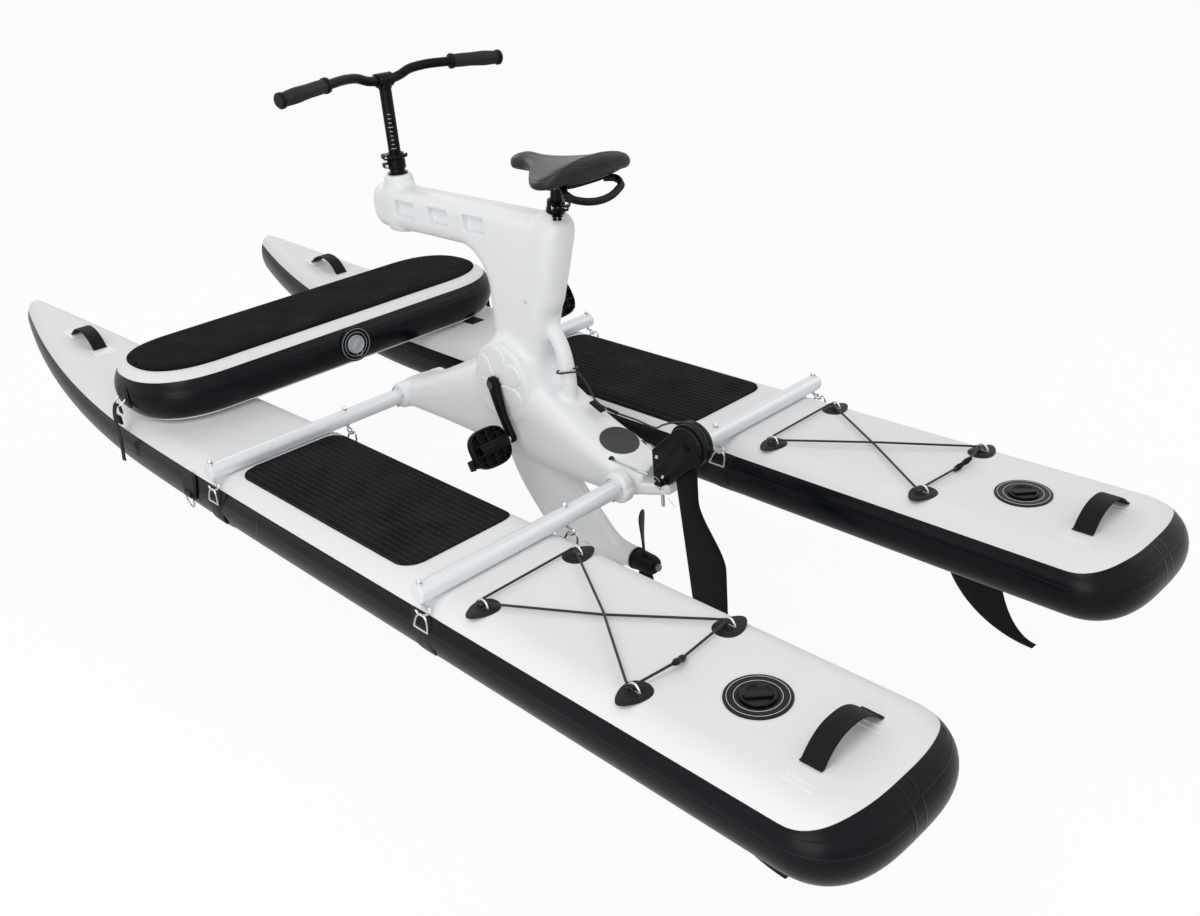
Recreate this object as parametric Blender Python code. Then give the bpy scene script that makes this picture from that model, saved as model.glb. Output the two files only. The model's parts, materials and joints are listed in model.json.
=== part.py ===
# Inflatable water bike: two drop-stitch pontoons, two cross bars, a moulded bike body
# with a geared pedal drive, a steered kick-up rudder and an inflatable cross bench.
# Units are metres. +Y is forward, +X is starboard, +Z is up.
import math

import bmesh
import bpy
import numpy as np
from mathutils import Matrix, Vector

# Fits and walls
FIT = 0.0003
RUN = 0.0006
WALL = 0.006
OVERLAP = 0.002

# Cross bars, whose axes lie at height zero of the build frame
BAR_LENGTH = 1.250
BAR_RADIUS = 0.020
BAR_WALL = 0.0025
BAR_REAR_Y = 0.0
BAR_FRONT_Y = 0.825
BOLT_TO_BAR_END = 0.0104
BOLT_TO_PONTOON = 0.1934
PONTOON_TO_BAR_END = 0.1918
HOOK_SHANK_RADIUS = 0.003

# Pontoons
PONTOON_X = BAR_LENGTH / 2 - PONTOON_TO_BAR_END
HOOK_OUTER_X = BAR_LENGTH / 2 - BOLT_TO_BAR_END
HOOK_INNER_X = PONTOON_X - BOLT_TO_PONTOON
DECK_Z = -0.0203
RAIL_RADIUS = 0.0738
FLAT_HALF = 0.1207
STERN_Y = -0.971
BOW_FLAT_END_Y = 2.340
BOW_TAPER_START_Y = -0.500
BOW_TAPER_POWER = 5.25
BOW_RAIL_SHARE = 0.53
ROCKER_START_Y = 1.299
ROCKER_RISE = 0.117
ROCKER_REACH = 1.115
ROCKER_POWER = 1.87
STERN_ROUND = 0.060
STERN_POWER = 3.2
BOW_TIP_REACH = 0.0198
RAIL_STEPS = 7
PAD_INBOARD = 0.0132
PAD_X = PONTOON_X - PAD_INBOARD
PAD_HALF_WIDTH = 0.146
PAD_REAR_Y = 0.115
PAD_FRONT_Y = 0.800
PAD_CORNER = 0.045
PAD_THICK = 0.004
PATCH_OFFSET_X = 0.1253
RING_INSET = 0.004
BUNGEE_RADIUS = 0.0025
DECK_RING_HALF = 0.013
DECK_RING_WIRE = 0.0018
BUNGEE_CROSS_Z = 0.0145
BUNGEE_STEPS = 40
LEAD = 0.012
PATCH_HALF_LENGTH = 0.036
PATCH_HALF_TURN = 0.62
PATCH_REAR_Y = -0.502
PATCH_FRONT_Y = -0.111
PATCH_LENGTH = 0.074
PATCH_WIDTH = 0.056
PATCH_THICK = 0.002
DECK_RING_RISE = 0.019
RAIL_RING_HALF = 0.016
RAIL_RING_RISE = 0.028
VALVE_Y = -0.663
VALVE_RADIUS = 0.058
HANDLE_STERN_Y = -0.826
HANDLE_BOW_Y = 1.950
HANDLE_SPAN = 0.150
HANDLE_WIDTH = 0.042
HANDLE_RISE = 0.036
HANDLE_FOOT = 0.006
FIN_FRONT_Y = -0.485
FIN_REAR_Y = -0.625
FIN_FRONT_SWEEP = 0.230
FIN_REAR_SWEEP = 0.100
FIN_DEPTH = 0.212
FIN_REAR_DEPTH = 0.197
FIN_THICK = 0.009
FIN_BASE_THICK = 0.009
FIN_BASE_HALF = 0.022

# Bench
BENCH_Y = 1.322
BENCH_PAST_PONTOON = 0.1623
BENCH_HALF_LENGTH = PONTOON_X + BENCH_PAST_PONTOON
BENCH_HALF_WIDTH = 0.198
BENCH_ROUND = 0.150
BENCH_PAD_EDGE = 0.152
BENCH_VALVE_RADIUS = 0.050
BENCH_RING_HALF = 0.020
BENCH_RING_RISE = 0.026
RING_WIRE = 0.0022
STRAP_WIDTH = 0.022
STRAP_HALF_THICK = 0.0012

# Bike body
CRANK_Y = 0.385
CRANK_Z = 0.150
BODY_NOSE_Y = 0.872
BODY_TAIL_Y = -0.088
BODY_HALF_WIDTH = 0.070
BODY_NOSE_TOP = 0.026
BODY_CRANK_TOP = 0.232
BODY_TAIL_TOP = 0.022
BODY_NOSE_DEPTH = 0.036
BODY_CRANK_DEPTH = 0.064
SOCKET_FRONT_X = 0.072
SOCKET_REAR_X = 0.092
SOCKET_FRONT_RADIUS = 0.032
SOCKET_REAR_RADIUS = 0.036
COVER_RADIUS = 0.088
COVER_FACE_X = 0.0705
COLUMN_FRONT_Y = 0.443
COLUMN_REAR_Y = 0.290
COLUMN_REAR_SLOPE = 0.33
COLUMN_HALF_WIDTH = 0.0435
BEAM_LOW_Z = 0.441
BEAM_TOP_Z = 0.549
BEAM_HALF_WIDTH = 0.0400
BEAM_CORE_HALF = 0.0145
FILLET_RADIUS = 0.090
HEAD_FRONT_Y = 0.872
POCKET_LENGTH = 0.075
POCKET_HEIGHT = 0.037
POCKET_DEPTH = 0.019
POCKET_Z = 0.502
POCKET_YS = (0.723, 0.592, 0.460)
GRAB_RADIUS = 0.0180
HATCH_Y = 0.074
HATCH_RADIUS = 0.046

# Drive
CRANK_LENGTH = 0.132
CRANK_LEAN_DEG = 20.4
CRANK_ARM_X = 0.093
AXLE_RADIUS = 0.0095
PEDAL_LENGTH = 0.104
PEDAL_HALF = 0.045
TOE_STRAP_U = -0.024
CROWN_TEETH = 24
PINION_TEETH = 8
UPPER_MODULE = 0.0048
LOWER_DRIVER_TEETH = 12
LOWER_PINION_TEETH = 8
LOWER_MODULE = 0.0023
SHAFT_RADIUS = 0.006
PROP_AXIS_Z = -0.237
PROP_APEX_Y = 0.215
PROP_HUB_Y = 0.050
PROP_RADIUS = 0.135
PROP_HUB_RADIUS = 0.025
PROP_HUB_LENGTH = 0.070
LEG_HALF_WIDTH = 0.030
LEG_TOP_Z = -0.020
LEG_TIP_Z = -0.300
LEG_FRONT_Y = 0.462
LEG_REAR_Y = 0.232
LEG_REAR_SWING = 0.142
LEG_RINGS = 8

# Seat
SEAT_Y = 0.220
SEAT_Z = 0.541
SEAT_LEAN_DEG = 12.0
SEAT_POST_RADIUS = 0.0130
SEAT_POST_LENGTH = 0.270
SEAT_POST_SHOW = 0.078
CLAMP_WALL = 0.0075
EAR_HALF_WIDTH = 0.009
EAR_HALF_HEIGHT = 0.0062
EAR_BOLT_OUT = 0.0125
CAM_RADIUS = 0.0075
CAM_PIN_RADIUS = 0.0020
LEVER_WRAP = 1.75
SADDLE_NOSE_Y = 0.330
SADDLE_REAR_Y = 0.078
SADDLE_HALF_WIDTH = 0.126
SADDLE_NOSE_HALF = 0.030
SADDLE_TOP_Z = 0.690
SADDLE_BASE_Z = 0.6375

# Steering
STEER_Y = 0.783
HEAD_RING_Z = 0.575
STEER_TUBE_RADIUS = 0.0185
STEER_POST_RADIUS = 0.0145
STEM_Z = 0.794
HANDLEBAR_HALF = 0.310
HANDLEBAR_RADIUS = 0.011
GRIP_RADIUS = 0.0165
GRIP_LENGTH = 0.140

# Rudder
RUDDER_PIN_Y = -0.050
RUDDER_PIVOT_Y = -0.143
RUDDER_PIVOT_Z = 0.112
PULLEY_RADIUS = 0.048
CHEEK_GAP = 0.015
CABLE_RADIUS = 0.0011
CABLE_STEPS = 46
LIFT_RADIUS = 0.0022
CHEEK_THICK = 0.006
RUDDER_TIP_Z = -0.420
RUDDER_THICK = 0.012
RUDDER_PIN_RADIUS = 0.0045
RUDDER_BOLT_RADIUS = 0.0060
HEAD_SWING = 0.0240
EAR_SWING_Y = -0.0325

# Facets
COVER_SIDES = 25
ROUND = 16
SMALL = 8
BAR_STEPS = 22
BAR_SIDES = 8
CORD_BEND_WEIGHT = 0.3
FINE_STEPS = 16

CRAFT_MID_Y = (STERN_Y + BOW_FLAT_END_Y + BOW_RAIL_SHARE * RAIL_RADIUS) / 2
DRAUGHT = -RUDDER_TIP_Z


def start_scene():
    """Empty the scene and add the empty that carries the whole craft."""
    for obj in list(bpy.data.objects):
        bpy.data.objects.remove(obj, do_unlink=True)
    craft = bpy.data.objects.new("craft", None)
    craft.location = (0.0, -CRAFT_MID_Y, DRAUGHT)
    bpy.context.scene.collection.objects.link(craft)
    return craft


CRAFT = start_scene()


# Materials


def finish(name, colour, roughness, metallic):
    """A plain Principled material."""
    mat = bpy.data.materials.new(name)
    mat.use_nodes = True
    shader = mat.node_tree.nodes["Principled BSDF"]
    shader.inputs["Base Color"].default_value = (*colour, 1.0)
    shader.inputs["Roughness"].default_value = roughness
    shader.inputs["Metallic"].default_value = metallic
    mat.diffuse_color = (*colour, 1.0)
    return mat


FINISHES = {
    "white_shell": ((0.82, 0.83, 0.83), 0.38, 0.0),
    "bar_paint": ((0.74, 0.77, 0.80), 0.30, 0.4),
    "hull_white": ((0.80, 0.80, 0.79), 0.45, 0.0),
    "black_plastic": ((0.015, 0.015, 0.017), 0.42, 0.0),
    "black_metal": ((0.018, 0.018, 0.020), 0.35, 0.6),
    "soft_black": ((0.012, 0.012, 0.013), 0.75, 0.0),
    "rubber": ((0.020, 0.020, 0.020), 0.70, 0.0),
    "stainless": ((0.60, 0.60, 0.60), 0.25, 1.0),
    "gear_steel": ((0.42, 0.42, 0.44), 0.35, 1.0),
    "cord": ((0.015, 0.015, 0.015), 0.80, 0.0),
}


# Mesh building


def settle(obj, name, kind, pivot):
    """Put an object in the craft with its own material."""
    obj.location = pivot
    obj.parent = CRAFT
    bpy.context.scene.collection.objects.link(obj)
    obj.data.materials.append(finish("m_" + name, *FINISHES[kind]))
    return obj


def solid(name, points, faces, kind, pivot=(0.0, 0.0, 0.0)):
    """One closed mesh, its points given in the build frame, its origin at pivot."""
    mesh = bpy.data.meshes.new(name)
    local = np.asarray(points, float) - np.asarray(pivot, float)
    mesh.from_pydata([tuple(p) for p in local], [], faces)
    work = bmesh.new()
    work.from_mesh(mesh)
    bmesh.ops.remove_doubles(work, verts=work.verts, dist=1e-6)
    bmesh.ops.recalc_face_normals(work, faces=work.faces)
    if work.calc_volume(signed=True) < 0:
        bmesh.ops.reverse_faces(work, faces=work.faces)
    work.to_mesh(mesh)
    work.free()
    return settle(bpy.data.objects.new(name, mesh), name, kind, pivot)


def loft(rings):
    """Points and faces of a skin over rings of equal count, closed by end caps."""
    rings = np.asarray(rings, float)
    count, around = rings.shape[:2]
    faces = ring_faces(count, around, False)
    faces.append(list(range(around)))
    faces.append([(count - 1) * around + i for i in range(around)])
    return rings.reshape(-1, 3), faces


def ring_loop(rings):
    """Points and faces of a skin whose last ring joins its first, as round a bore."""
    rings = np.asarray(rings, float)
    count, around = rings.shape[:2]
    return rings.reshape(-1, 3), ring_faces(count, around, True)


def ring_faces(count, around, closed):
    """Quads between successive rings."""
    faces = []
    for i in range(count if closed else count - 1):
        a = i * around
        b = ((i + 1) % count) * around
        for j in range(around):
            k = (j + 1) % around
            faces.append([a + j, a + k, b + k, b + j])
    return faces


def frame_of(axis):
    """Two unit vectors square to an axis and to each other."""
    axis = np.asarray(axis, float)
    axis = axis / np.linalg.norm(axis)
    seed = np.array([0.0, 0.0, 1.0]) if abs(axis[2]) < 0.9 else np.array([1.0, 0.0, 0.0])
    side = np.cross(seed, axis)
    side = side / np.linalg.norm(side)
    return axis, side, np.cross(axis, side)


def circle(centre, axis, radius, sides):
    """A ring of points square to an axis."""
    axis, side, up = frame_of(axis)
    turn = np.arange(sides) * 2 * math.pi / sides
    spread = np.outer(np.cos(turn), side) + np.outer(np.sin(turn), up)
    return np.asarray(centre, float) + radius * spread


def turned(origin, axis, profile, sides=ROUND):
    """A turned solid from (distance along the axis, radius) pairs."""
    unit = frame_of(axis)[0]
    origin = np.asarray(origin, float)
    return loft([circle(origin + t * unit, axis, r, sides) for t, r in profile])


def bored(origin, axis, profile, sides=ROUND):
    """A turned ring from a closed loop of (distance, radius) pairs."""
    unit = frame_of(axis)[0]
    origin = np.asarray(origin, float)
    return ring_loop([circle(origin + t * unit, axis, r, sides) for t, r in profile])


def box(low, high):
    """Points and faces of a block."""
    (a, b, c), (d, e, f) = low, high
    base = [(a, b), (d, b), (d, e), (a, e)]
    return loft([[(x, y, c) for x, y in base], [(x, y, f) for x, y in base]])


def super_ring(half_u, half_v, power, sides):
    """A rounded-box outline as (u, v) pairs."""
    turn = (np.arange(sides) + 0.5) * 2 * math.pi / sides
    cos, sin = np.cos(turn), np.sin(turn)
    u = half_u * np.sign(cos) * np.abs(cos) ** (2 / power)
    v = half_v * np.sign(sin) * np.abs(sin) ** (2 / power)
    return u, v


def smooth(points, count, bend=0.0):
    """Steps along a rounded curve through route points, closer where it bends."""
    points = np.asarray(points, float)
    gaps = np.linalg.norm(np.diff(points, axis=0), axis=1)
    ways = np.diff(points, axis=0) / gaps[:, None]
    before, after = gaps[:-1, None], gaps[1:, None]
    inner = (ways[:-1] * after + ways[1:] * before) / (before + after)
    ahead = np.vstack([ways[:1], inner, ways[-1:]])
    fine = []
    for i, gap in enumerate(gaps):
        for t in np.arange(0, 1, 1 / FINE_STEPS):
            place = points[i] + (points[i + 1] - points[i]) * t**2 * (3 - 2 * t)
            lean = ahead[i] * t * (1 - t) ** 2 - ahead[i + 1] * t**2 * (1 - t)
            fine.append(place + gap * lean)
    fine = np.array([*fine, points[-1]])
    steps = np.diff(fine, axis=0)
    length = np.linalg.norm(steps, axis=1)
    ways = steps / length[:, None]
    turn = np.zeros(len(length))
    turn[1:] = np.arccos(np.clip(np.sum(ways[1:] * ways[:-1], axis=1), -1, 1))
    run = np.concatenate([[0], np.cumsum(length + bend * turn)])
    at = np.linspace(0, run[-1], count)
    return np.stack([np.interp(at, run, fine[:, i]) for i in range(3)], axis=1)


def swept(path, radii, sides=SMALL, flat=1.0, across=None):
    """A tube over a path, its section squashed by flat along the direction across."""
    path = np.asarray(path, float)
    radii = np.broadcast_to(radii, len(path))
    ahead = np.gradient(path, axis=0)
    ahead /= np.linalg.norm(ahead, axis=1)[:, None]
    side = frame_of(ahead[0])[1] if across is None else np.asarray(across, float)
    rings = []
    turn = (np.arange(sides) + 0.5) * 2 * math.pi / sides
    for point, way, radius in zip(path, ahead, radii):
        side = side - way * np.dot(side, way)
        side = side / np.linalg.norm(side)
        up = np.cross(way, side)
        ring = np.outer(np.cos(turn), side) + flat * np.outer(np.sin(turn), up)
        rings.append(point + radius * ring)
    return loft(rings)


def cord(name, route, radius, count, kind="cord"):
    """A round cord as a bevelled curve."""
    curve = bpy.data.curves.new(name, "CURVE")
    curve.dimensions = "3D"
    spline = curve.splines.new("POLY")
    points = smooth(route, count, CORD_BEND_WEIGHT)
    spline.points.add(count - 1)
    for point, place in zip(spline.points, points):
        point.co = (*place, 1.0)
    curve.bevel_depth = radius
    curve.bevel_resolution = 2
    curve.use_fill_caps = True
    return settle(bpy.data.objects.new(name, curve), name, kind, (0.0, 0.0, 0.0))


def helper(name, shape):
    """A hidden mesh for a Boolean."""
    points, faces = shape
    obj = solid(name, points, faces, "rubber")
    obj.hide_render = True
    obj.display_type = "WIRE"
    return obj


def combine(target, tool, operation):
    """A live Boolean on the target."""
    step = target.modifiers.new(tool.name, "BOOLEAN")
    step.operation = operation
    step.solver = "EXACT"
    step.object = tool


def add_to(target, name, shape):
    """Join a shape to the target."""
    combine(target, helper("add_" + name, shape), "UNION")


def cut_from(target, name, shape):
    """Cut a shape out of the target."""
    combine(target, helper("cut_" + name, shape), "DIFFERENCE")


def turning_bore(radius, sides):
    """Radius of a faceted bore in which a faceted pin of that radius turns freely."""
    return radius / math.cos(math.pi / sides) + RUN


def mirrored(points, side):
    """Points on the chosen side of the craft."""
    return np.asarray(points, float) * np.array([side, 1.0, 1.0])


SIDES = (("left", -1.0), ("right", 1.0))


# Drop-stitch hulls


def rocker(y):
    """Rise of the hull towards the bow."""
    return ROCKER_RISE * max(0.0, (y - ROCKER_START_Y) / ROCKER_REACH) ** ROCKER_POWER


def round_end(half, depth, power, steps):
    """Stations (w, back, nx, ny) of a rounded end, from its middle to its shoulder."""
    stations = []
    for t in np.linspace(0.12, 0.94, steps) * math.pi / 2:
        w = half * math.sin(t) ** (2 / power)
        back = depth * (1 - math.cos(t) ** (2 / power))
        gx = (w / half) ** (power - 1) / half
        gy = (1 - back / depth) ** (power - 1) / depth
        size = math.hypot(gx, gy)
        stations.append((w, back, gx / size, gy / size))
    return stations


def pontoon_stations():
    """Stations (w, y, nx, ny, rail reach, rise) of a pontoon, stern to bow."""
    stations = []
    start = STERN_Y + RAIL_RADIUS
    for w, back, nx, ny in round_end(FLAT_HALF, STERN_ROUND, STERN_POWER, 5):
        stations.append((w, start + back, nx, -ny, RAIL_RADIUS, 0.0))
    reach = BOW_FLAT_END_Y - BOW_TAPER_START_Y
    first = start + STERN_ROUND
    spacing = np.linspace(0, 1, 13) ** 0.60
    last = BOW_FLAT_END_Y - BOW_TIP_REACH
    for y in first + (last - first) * spacing:
        share = max(0.0, (y - BOW_TAPER_START_Y) / reach)
        w = FLAT_HALF * (1 - share**BOW_TAPER_POWER)
        slope = -FLAT_HALF * BOW_TAPER_POWER * share ** (BOW_TAPER_POWER - 1) / reach
        size = math.hypot(1.0, slope)
        stations.append((w, y, 1 / size, -slope / size, bow_rail(y), rocker(y)))
    lean = math.atan2(stations[-1][3], stations[-1][2])
    for step in range(1, 4):
        turn = lean + (math.pi / 2 - lean) * step / 3.6
        w = stations[-1][0] * 0.5
        y = last + BOW_TIP_REACH * step / 3
        stations.append((w, y, math.cos(turn), math.sin(turn), bow_rail(y), rocker(y)))
    return stations


def bow_rail(y):
    """Sideways reach of the rail, which narrows towards the bow tip."""
    share = max(0.0, (y - ROCKER_START_Y) / (BOW_FLAT_END_Y - ROCKER_START_Y))
    return RAIL_RADIUS * (1 - (1 - BOW_RAIL_SHARE) * min(1.0, share) ** 2)


def bench_stations():
    """Stations of the bench, one rounded end to the other, along its own length."""
    half = BENCH_HALF_WIDTH - RAIL_RADIUS
    ends = round_end(half, BENCH_ROUND, 2.5, 6)
    flat_end = BENCH_HALF_LENGTH - RAIL_RADIUS
    stations = [(w, back - flat_end, nx, -ny) for w, back, nx, ny in ends]
    for y in (BENCH_ROUND - flat_end, flat_end - BENCH_ROUND):
        stations.append((half, y, 1.0, 0.0))
    stations += [(w, flat_end - back, nx, ny) for w, back, nx, ny in reversed(ends)]
    return [(*station, RAIL_RADIUS, 0.0) for station in stations]


def rail_points(stations, angles, grow, middle_z):
    """Grid (side, station, angle, xyz) of points round the rail."""
    grid = np.zeros((2, len(stations), len(angles), 3))
    for i, (w, y, nx, ny, reach, rise) in enumerate(stations):
        out = (reach + grow) * np.cos(angles)
        grid[0, i, :, 0] = w + out * nx
        grid[0, i, :, 1] = y + out * ny
        grid[0, i, :, 2] = middle_z + rise + (RAIL_RADIUS + grow) * np.sin(angles)
    grid[1] = grid[0] * np.array([-1.0, 1.0, 1.0])
    return grid


def skin_faces(base, stations, steps):
    """Faces of one deck-and-rail skin, with the ends closed across."""

    def at(side, i, k):
        return base + (side * stations + i) * steps + k

    faces = []
    for i in range(stations - 1):
        faces.append([at(0, i, 0), at(0, i + 1, 0), at(1, i + 1, 0), at(1, i, 0)])
        for side in (0, 1):
            for k in range(steps - 1):
                faces.append(
                    [at(side, i, k), at(side, i + 1, k), at(side, i + 1, k + 1), at(side, i, k + 1)]
                )
    for i in (0, stations - 1):
        for k in range(steps - 1):
            faces.append([at(0, i, k), at(0, i, k + 1), at(1, i, k + 1), at(1, i, k)])
    return faces, at


def hull_shape(stations, middle_z):
    """Points and faces of a closed drop-stitch hull."""
    angles = np.linspace(math.pi / 2, -math.pi / 2, RAIL_STEPS)
    grid = rail_points(stations, angles, 0.0, middle_z)
    faces, at = skin_faces(0, len(stations), len(angles))
    last = len(angles) - 1
    for i in range(len(stations) - 1):
        faces.append([at(0, i, last), at(0, i + 1, last), at(1, i + 1, last), at(1, i, last)])
    return grid.reshape(-1, 3), faces


def pad_shape(stations, edge_angle, low, high, middle_z):
    """Points and faces of a foam pad that follows the deck and the top of the rail."""
    angles = np.linspace(math.pi / 2, edge_angle, 3)
    count, steps = len(stations), len(angles)
    top = rail_points(stations, angles, high, middle_z)
    under = rail_points(stations, angles, low, middle_z)
    faces, at_top = skin_faces(0, count, steps)
    under_faces, at_under = skin_faces(2 * count * steps, count, steps)
    faces += under_faces
    edge = [(0, i) for i in range(count)] + [(1, i) for i in reversed(range(count))]
    for (s, i), (t, j) in zip(edge, edge[1:] + edge[:1]):
        k = steps - 1
        faces.append([at_top(s, i, k), at_top(t, j, k), at_under(t, j, k), at_under(s, i, k)])
    return np.concatenate([top.reshape(-1, 3), under.reshape(-1, 3)]), faces


def valve_shape(centre, axis, radius):
    """A flush valve: flange ring, sunk well and turned cap."""
    return turned(
        centre,
        axis,
        [
            (-0.004, radius),
            (0.0026, radius),
            (0.0026, radius * 0.72),
            (0.0008, radius * 0.66),
            (0.0045, radius * 0.58),
        ],
    )


def teardrop(centre, long_axis, length, width, normal, thick):
    """A thin teardrop patch that sinks a little into its surface."""
    normal, _, _ = frame_of(normal)
    way = np.asarray(long_axis, float)
    way = way - normal * np.dot(way, normal)
    way /= np.linalg.norm(way)
    side = np.cross(normal, way)
    turn = np.arange(8) * 2 * math.pi / 8
    along = np.cos(turn) * length / 2
    across = np.sin(turn) * width / 2 * (1 - 0.35 * np.cos(turn))
    flat = np.asarray(centre, float) + np.outer(along, way) + np.outer(across, side)
    return loft([flat - normal * 0.003, flat + normal * thick])


def rail_patch(centre, out, tilt_deg):
    """A patch that hugs a rail running along Y, its middle tilt degrees above level."""
    rings = []
    for share_y, share in ((-1.0, 0.45), (-0.6, 0.88), (0.6, 0.88), (1.0, 0.45)):
        arc = math.radians(tilt_deg) + PATCH_HALF_TURN * share * np.linspace(-1, 1, 4)
        ring = []
        for turns, radius in ((arc, RAIL_RADIUS + 0.0022), (arc[::-1], RAIL_RADIUS - 0.006)):
            for turn in turns:
                x = centre[0] + out * radius * math.cos(turn)
                ring.append((x, centre[1] + share_y * PATCH_HALF_LENGTH, centre[2] + radius * math.sin(turn)))
        rings.append(ring)
    return loft(rings)


def half_ring(centre, foot_way, up_way, half, rise, radius, power=1.0):
    """A D-ring standing on its patch, both feet sunk in; a small power squares it."""
    foot_way = frame_of(foot_way)[0]
    up_way = np.asarray(up_way, float)
    turn = np.linspace(-0.25, math.pi + 0.25, 6)
    path = []
    for t in turn:
        along = math.copysign(abs(math.cos(t)) ** power, math.cos(t))
        above = math.copysign(abs(math.sin(t)) ** power, math.sin(t))
        path.append(np.asarray(centre, float) + half * along * foot_way + rise * above * up_way)
    return swept(path, radius, 4)


def make_pontoons():
    """Both pontoons with their welded patches, rings and valves."""
    middle = DECK_Z - RAIL_RADIUS
    for word, side in SIDES:
        points, faces = hull_shape(pontoon_stations(), middle)
        points = points + np.array([side * PONTOON_X, 0.0, 0.0])
        hull = solid("pontoon_" + word, points, faces, "hull_white")
        valve = valve_shape((side * PONTOON_X, VALVE_Y, DECK_Z), (0, 0, 1), VALVE_RADIUS)
        add_to(hull, "valve_" + word, valve)
        for outward in (-1.0, 1.0):
            for end, y in (("rear", PATCH_REAR_Y), ("front", PATCH_FRONT_Y)):
                add_deck_ring(hull, "%s_%d_%s" % (word, outward > 0, end), side * outward, side * PONTOON_X, y)
            for end, y in (("rear", BAR_REAR_Y), ("front", BAR_FRONT_Y)):
                add_rail_ring(hull, "%s_%d_%s" % (word, outward > 0, end), side, outward, y)


def add_deck_ring(hull, tag, out, middle_x, y):
    """A teardrop patch on the deck with the D-ring that stands on it."""
    x = middle_x + out * PATCH_OFFSET_X
    patch = teardrop((x, y, DECK_Z), (out, 0, 0), PATCH_LENGTH, PATCH_WIDTH, (0, 0, 1), PATCH_THICK)
    add_to(hull, "patch_" + tag, patch)
    foot = (x - out * RING_INSET, y, DECK_Z + PATCH_THICK / 2)
    ring = half_ring(foot, (0, 1, 0), (0, 0, 1), DECK_RING_HALF, DECK_RING_RISE, DECK_RING_WIRE)
    add_to(hull, "ring_" + tag, ring)


def add_rail_ring(hull, tag, side, outward, y):
    """A patch on the rail below a bar bolt, with the ring that the bolt's hook catches."""
    spot, normal = rail_spot(side, outward)
    spot = spot + np.array([0.0, y, 0.0])
    rail = (side * PONTOON_X + side * outward * FLAT_HALF, y, DECK_Z - RAIL_RADIUS)
    add_to(hull, "hang_" + tag, rail_patch(rail, side * outward, 0.0))
    foot = spot + PATCH_THICK * normal
    loop = half_ring(foot, (0, 1, 0), hang_way(normal), RAIL_RING_HALF, RAIL_RING_RISE, RING_WIRE)
    add_to(hull, "loop_" + tag, loop)


def rail_spot(side, outward):
    """Point on the rail below a bar bolt, and the outward normal there."""
    angle = math.radians(10.0)
    out = side * outward
    normal = np.array([out * math.cos(angle), 0.0, math.sin(angle)])
    centre = np.array([side * PONTOON_X + out * FLAT_HALF, 0.0, DECK_Z - RAIL_RADIUS])
    return centre + RAIL_RADIUS * normal, normal


def hang_way(normal):
    """Unit way a rail ring is pulled: mostly up, a little away from the rail."""
    way = 0.45 * normal + np.array([0.0, 0.0, 0.89])
    return way / np.linalg.norm(way)


def make_pads():
    """Ribbed foam deck pads between the cross bars, bent over the crowns of the rails."""
    half_y = (PAD_FRONT_Y - PAD_REAR_Y) / 2
    middle_y = (PAD_FRONT_Y + PAD_REAR_Y) / 2
    rings = []
    for away in pad_columns():
        past = max(0.0, abs(away + PAD_INBOARD) - (PAD_HALF_WIDTH - PAD_CORNER))
        half = half_y - PAD_CORNER + math.sqrt(max(0.0, PAD_CORNER**2 - past**2))
        low = DECK_Z - crown_drop(abs(away) - FLAT_HALF) + FIT
        high = low - FIT + PAD_THICK
        x = PONTOON_X + away
        ends = (middle_y - half, middle_y + half)
        rings.append([(x, ends[0], low), (x, ends[1], low), (x, ends[1], high), (x, ends[0], high)])
    points, faces = loft(rings)
    for word, side in SIDES:
        solid("deck_pad_" + word, mirrored(points, side), faces, "soft_black")


def pad_columns():
    """Distances of a pad's columns from the pontoon's middle: round its corners and at the hull's creases."""
    turns = np.linspace(0, math.pi / 2, 5)
    ends = PAD_HALF_WIDTH - PAD_CORNER * (1 - np.sin(turns))
    columns = [*(ends - PAD_INBOARD), *(-ends - PAD_INBOARD)]
    for step in range(RAIL_STEPS):
        crease = FLAT_HALF + RAIL_RADIUS * math.sin(math.pi * step / (RAIL_STEPS - 1))
        columns += [x for x in (crease, -crease) if abs(x + PAD_INBOARD) < PAD_HALF_WIDTH - FIT]
    return sorted({round(float(x), 6) for x in columns})


def crown_drop(past):
    """How far the faceted rail falls below the deck at a distance past the deck's flat."""
    turns = np.pi * np.arange(4) / (RAIL_STEPS - 1)
    return float(np.interp(past, RAIL_RADIUS * np.sin(turns), RAIL_RADIUS * (1 - np.cos(turns))))


def make_handles():
    """Webbing carry handles with their welded end tabs."""
    for word, side in SIDES:
        base = np.array([side * PONTOON_X, HANDLE_STERN_Y, DECK_Z])
        webbing("handle_stern_" + word, base, np.array([1.0, 0.0, 0.0]), np.array([0.0, 1.0, 0.0]))
        rise = rocker(HANDLE_BOW_Y)
        slope = (rocker(HANDLE_BOW_Y + 0.05) - rocker(HANDLE_BOW_Y - 0.05)) / 0.1
        along = np.array([0.0, 1.0, slope])
        base = np.array([side * PONTOON_X, HANDLE_BOW_Y, DECK_Z + rise])
        webbing("handle_bow_" + word, base, along / np.linalg.norm(along), np.array([1.0, 0.0, 0.0]))


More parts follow.
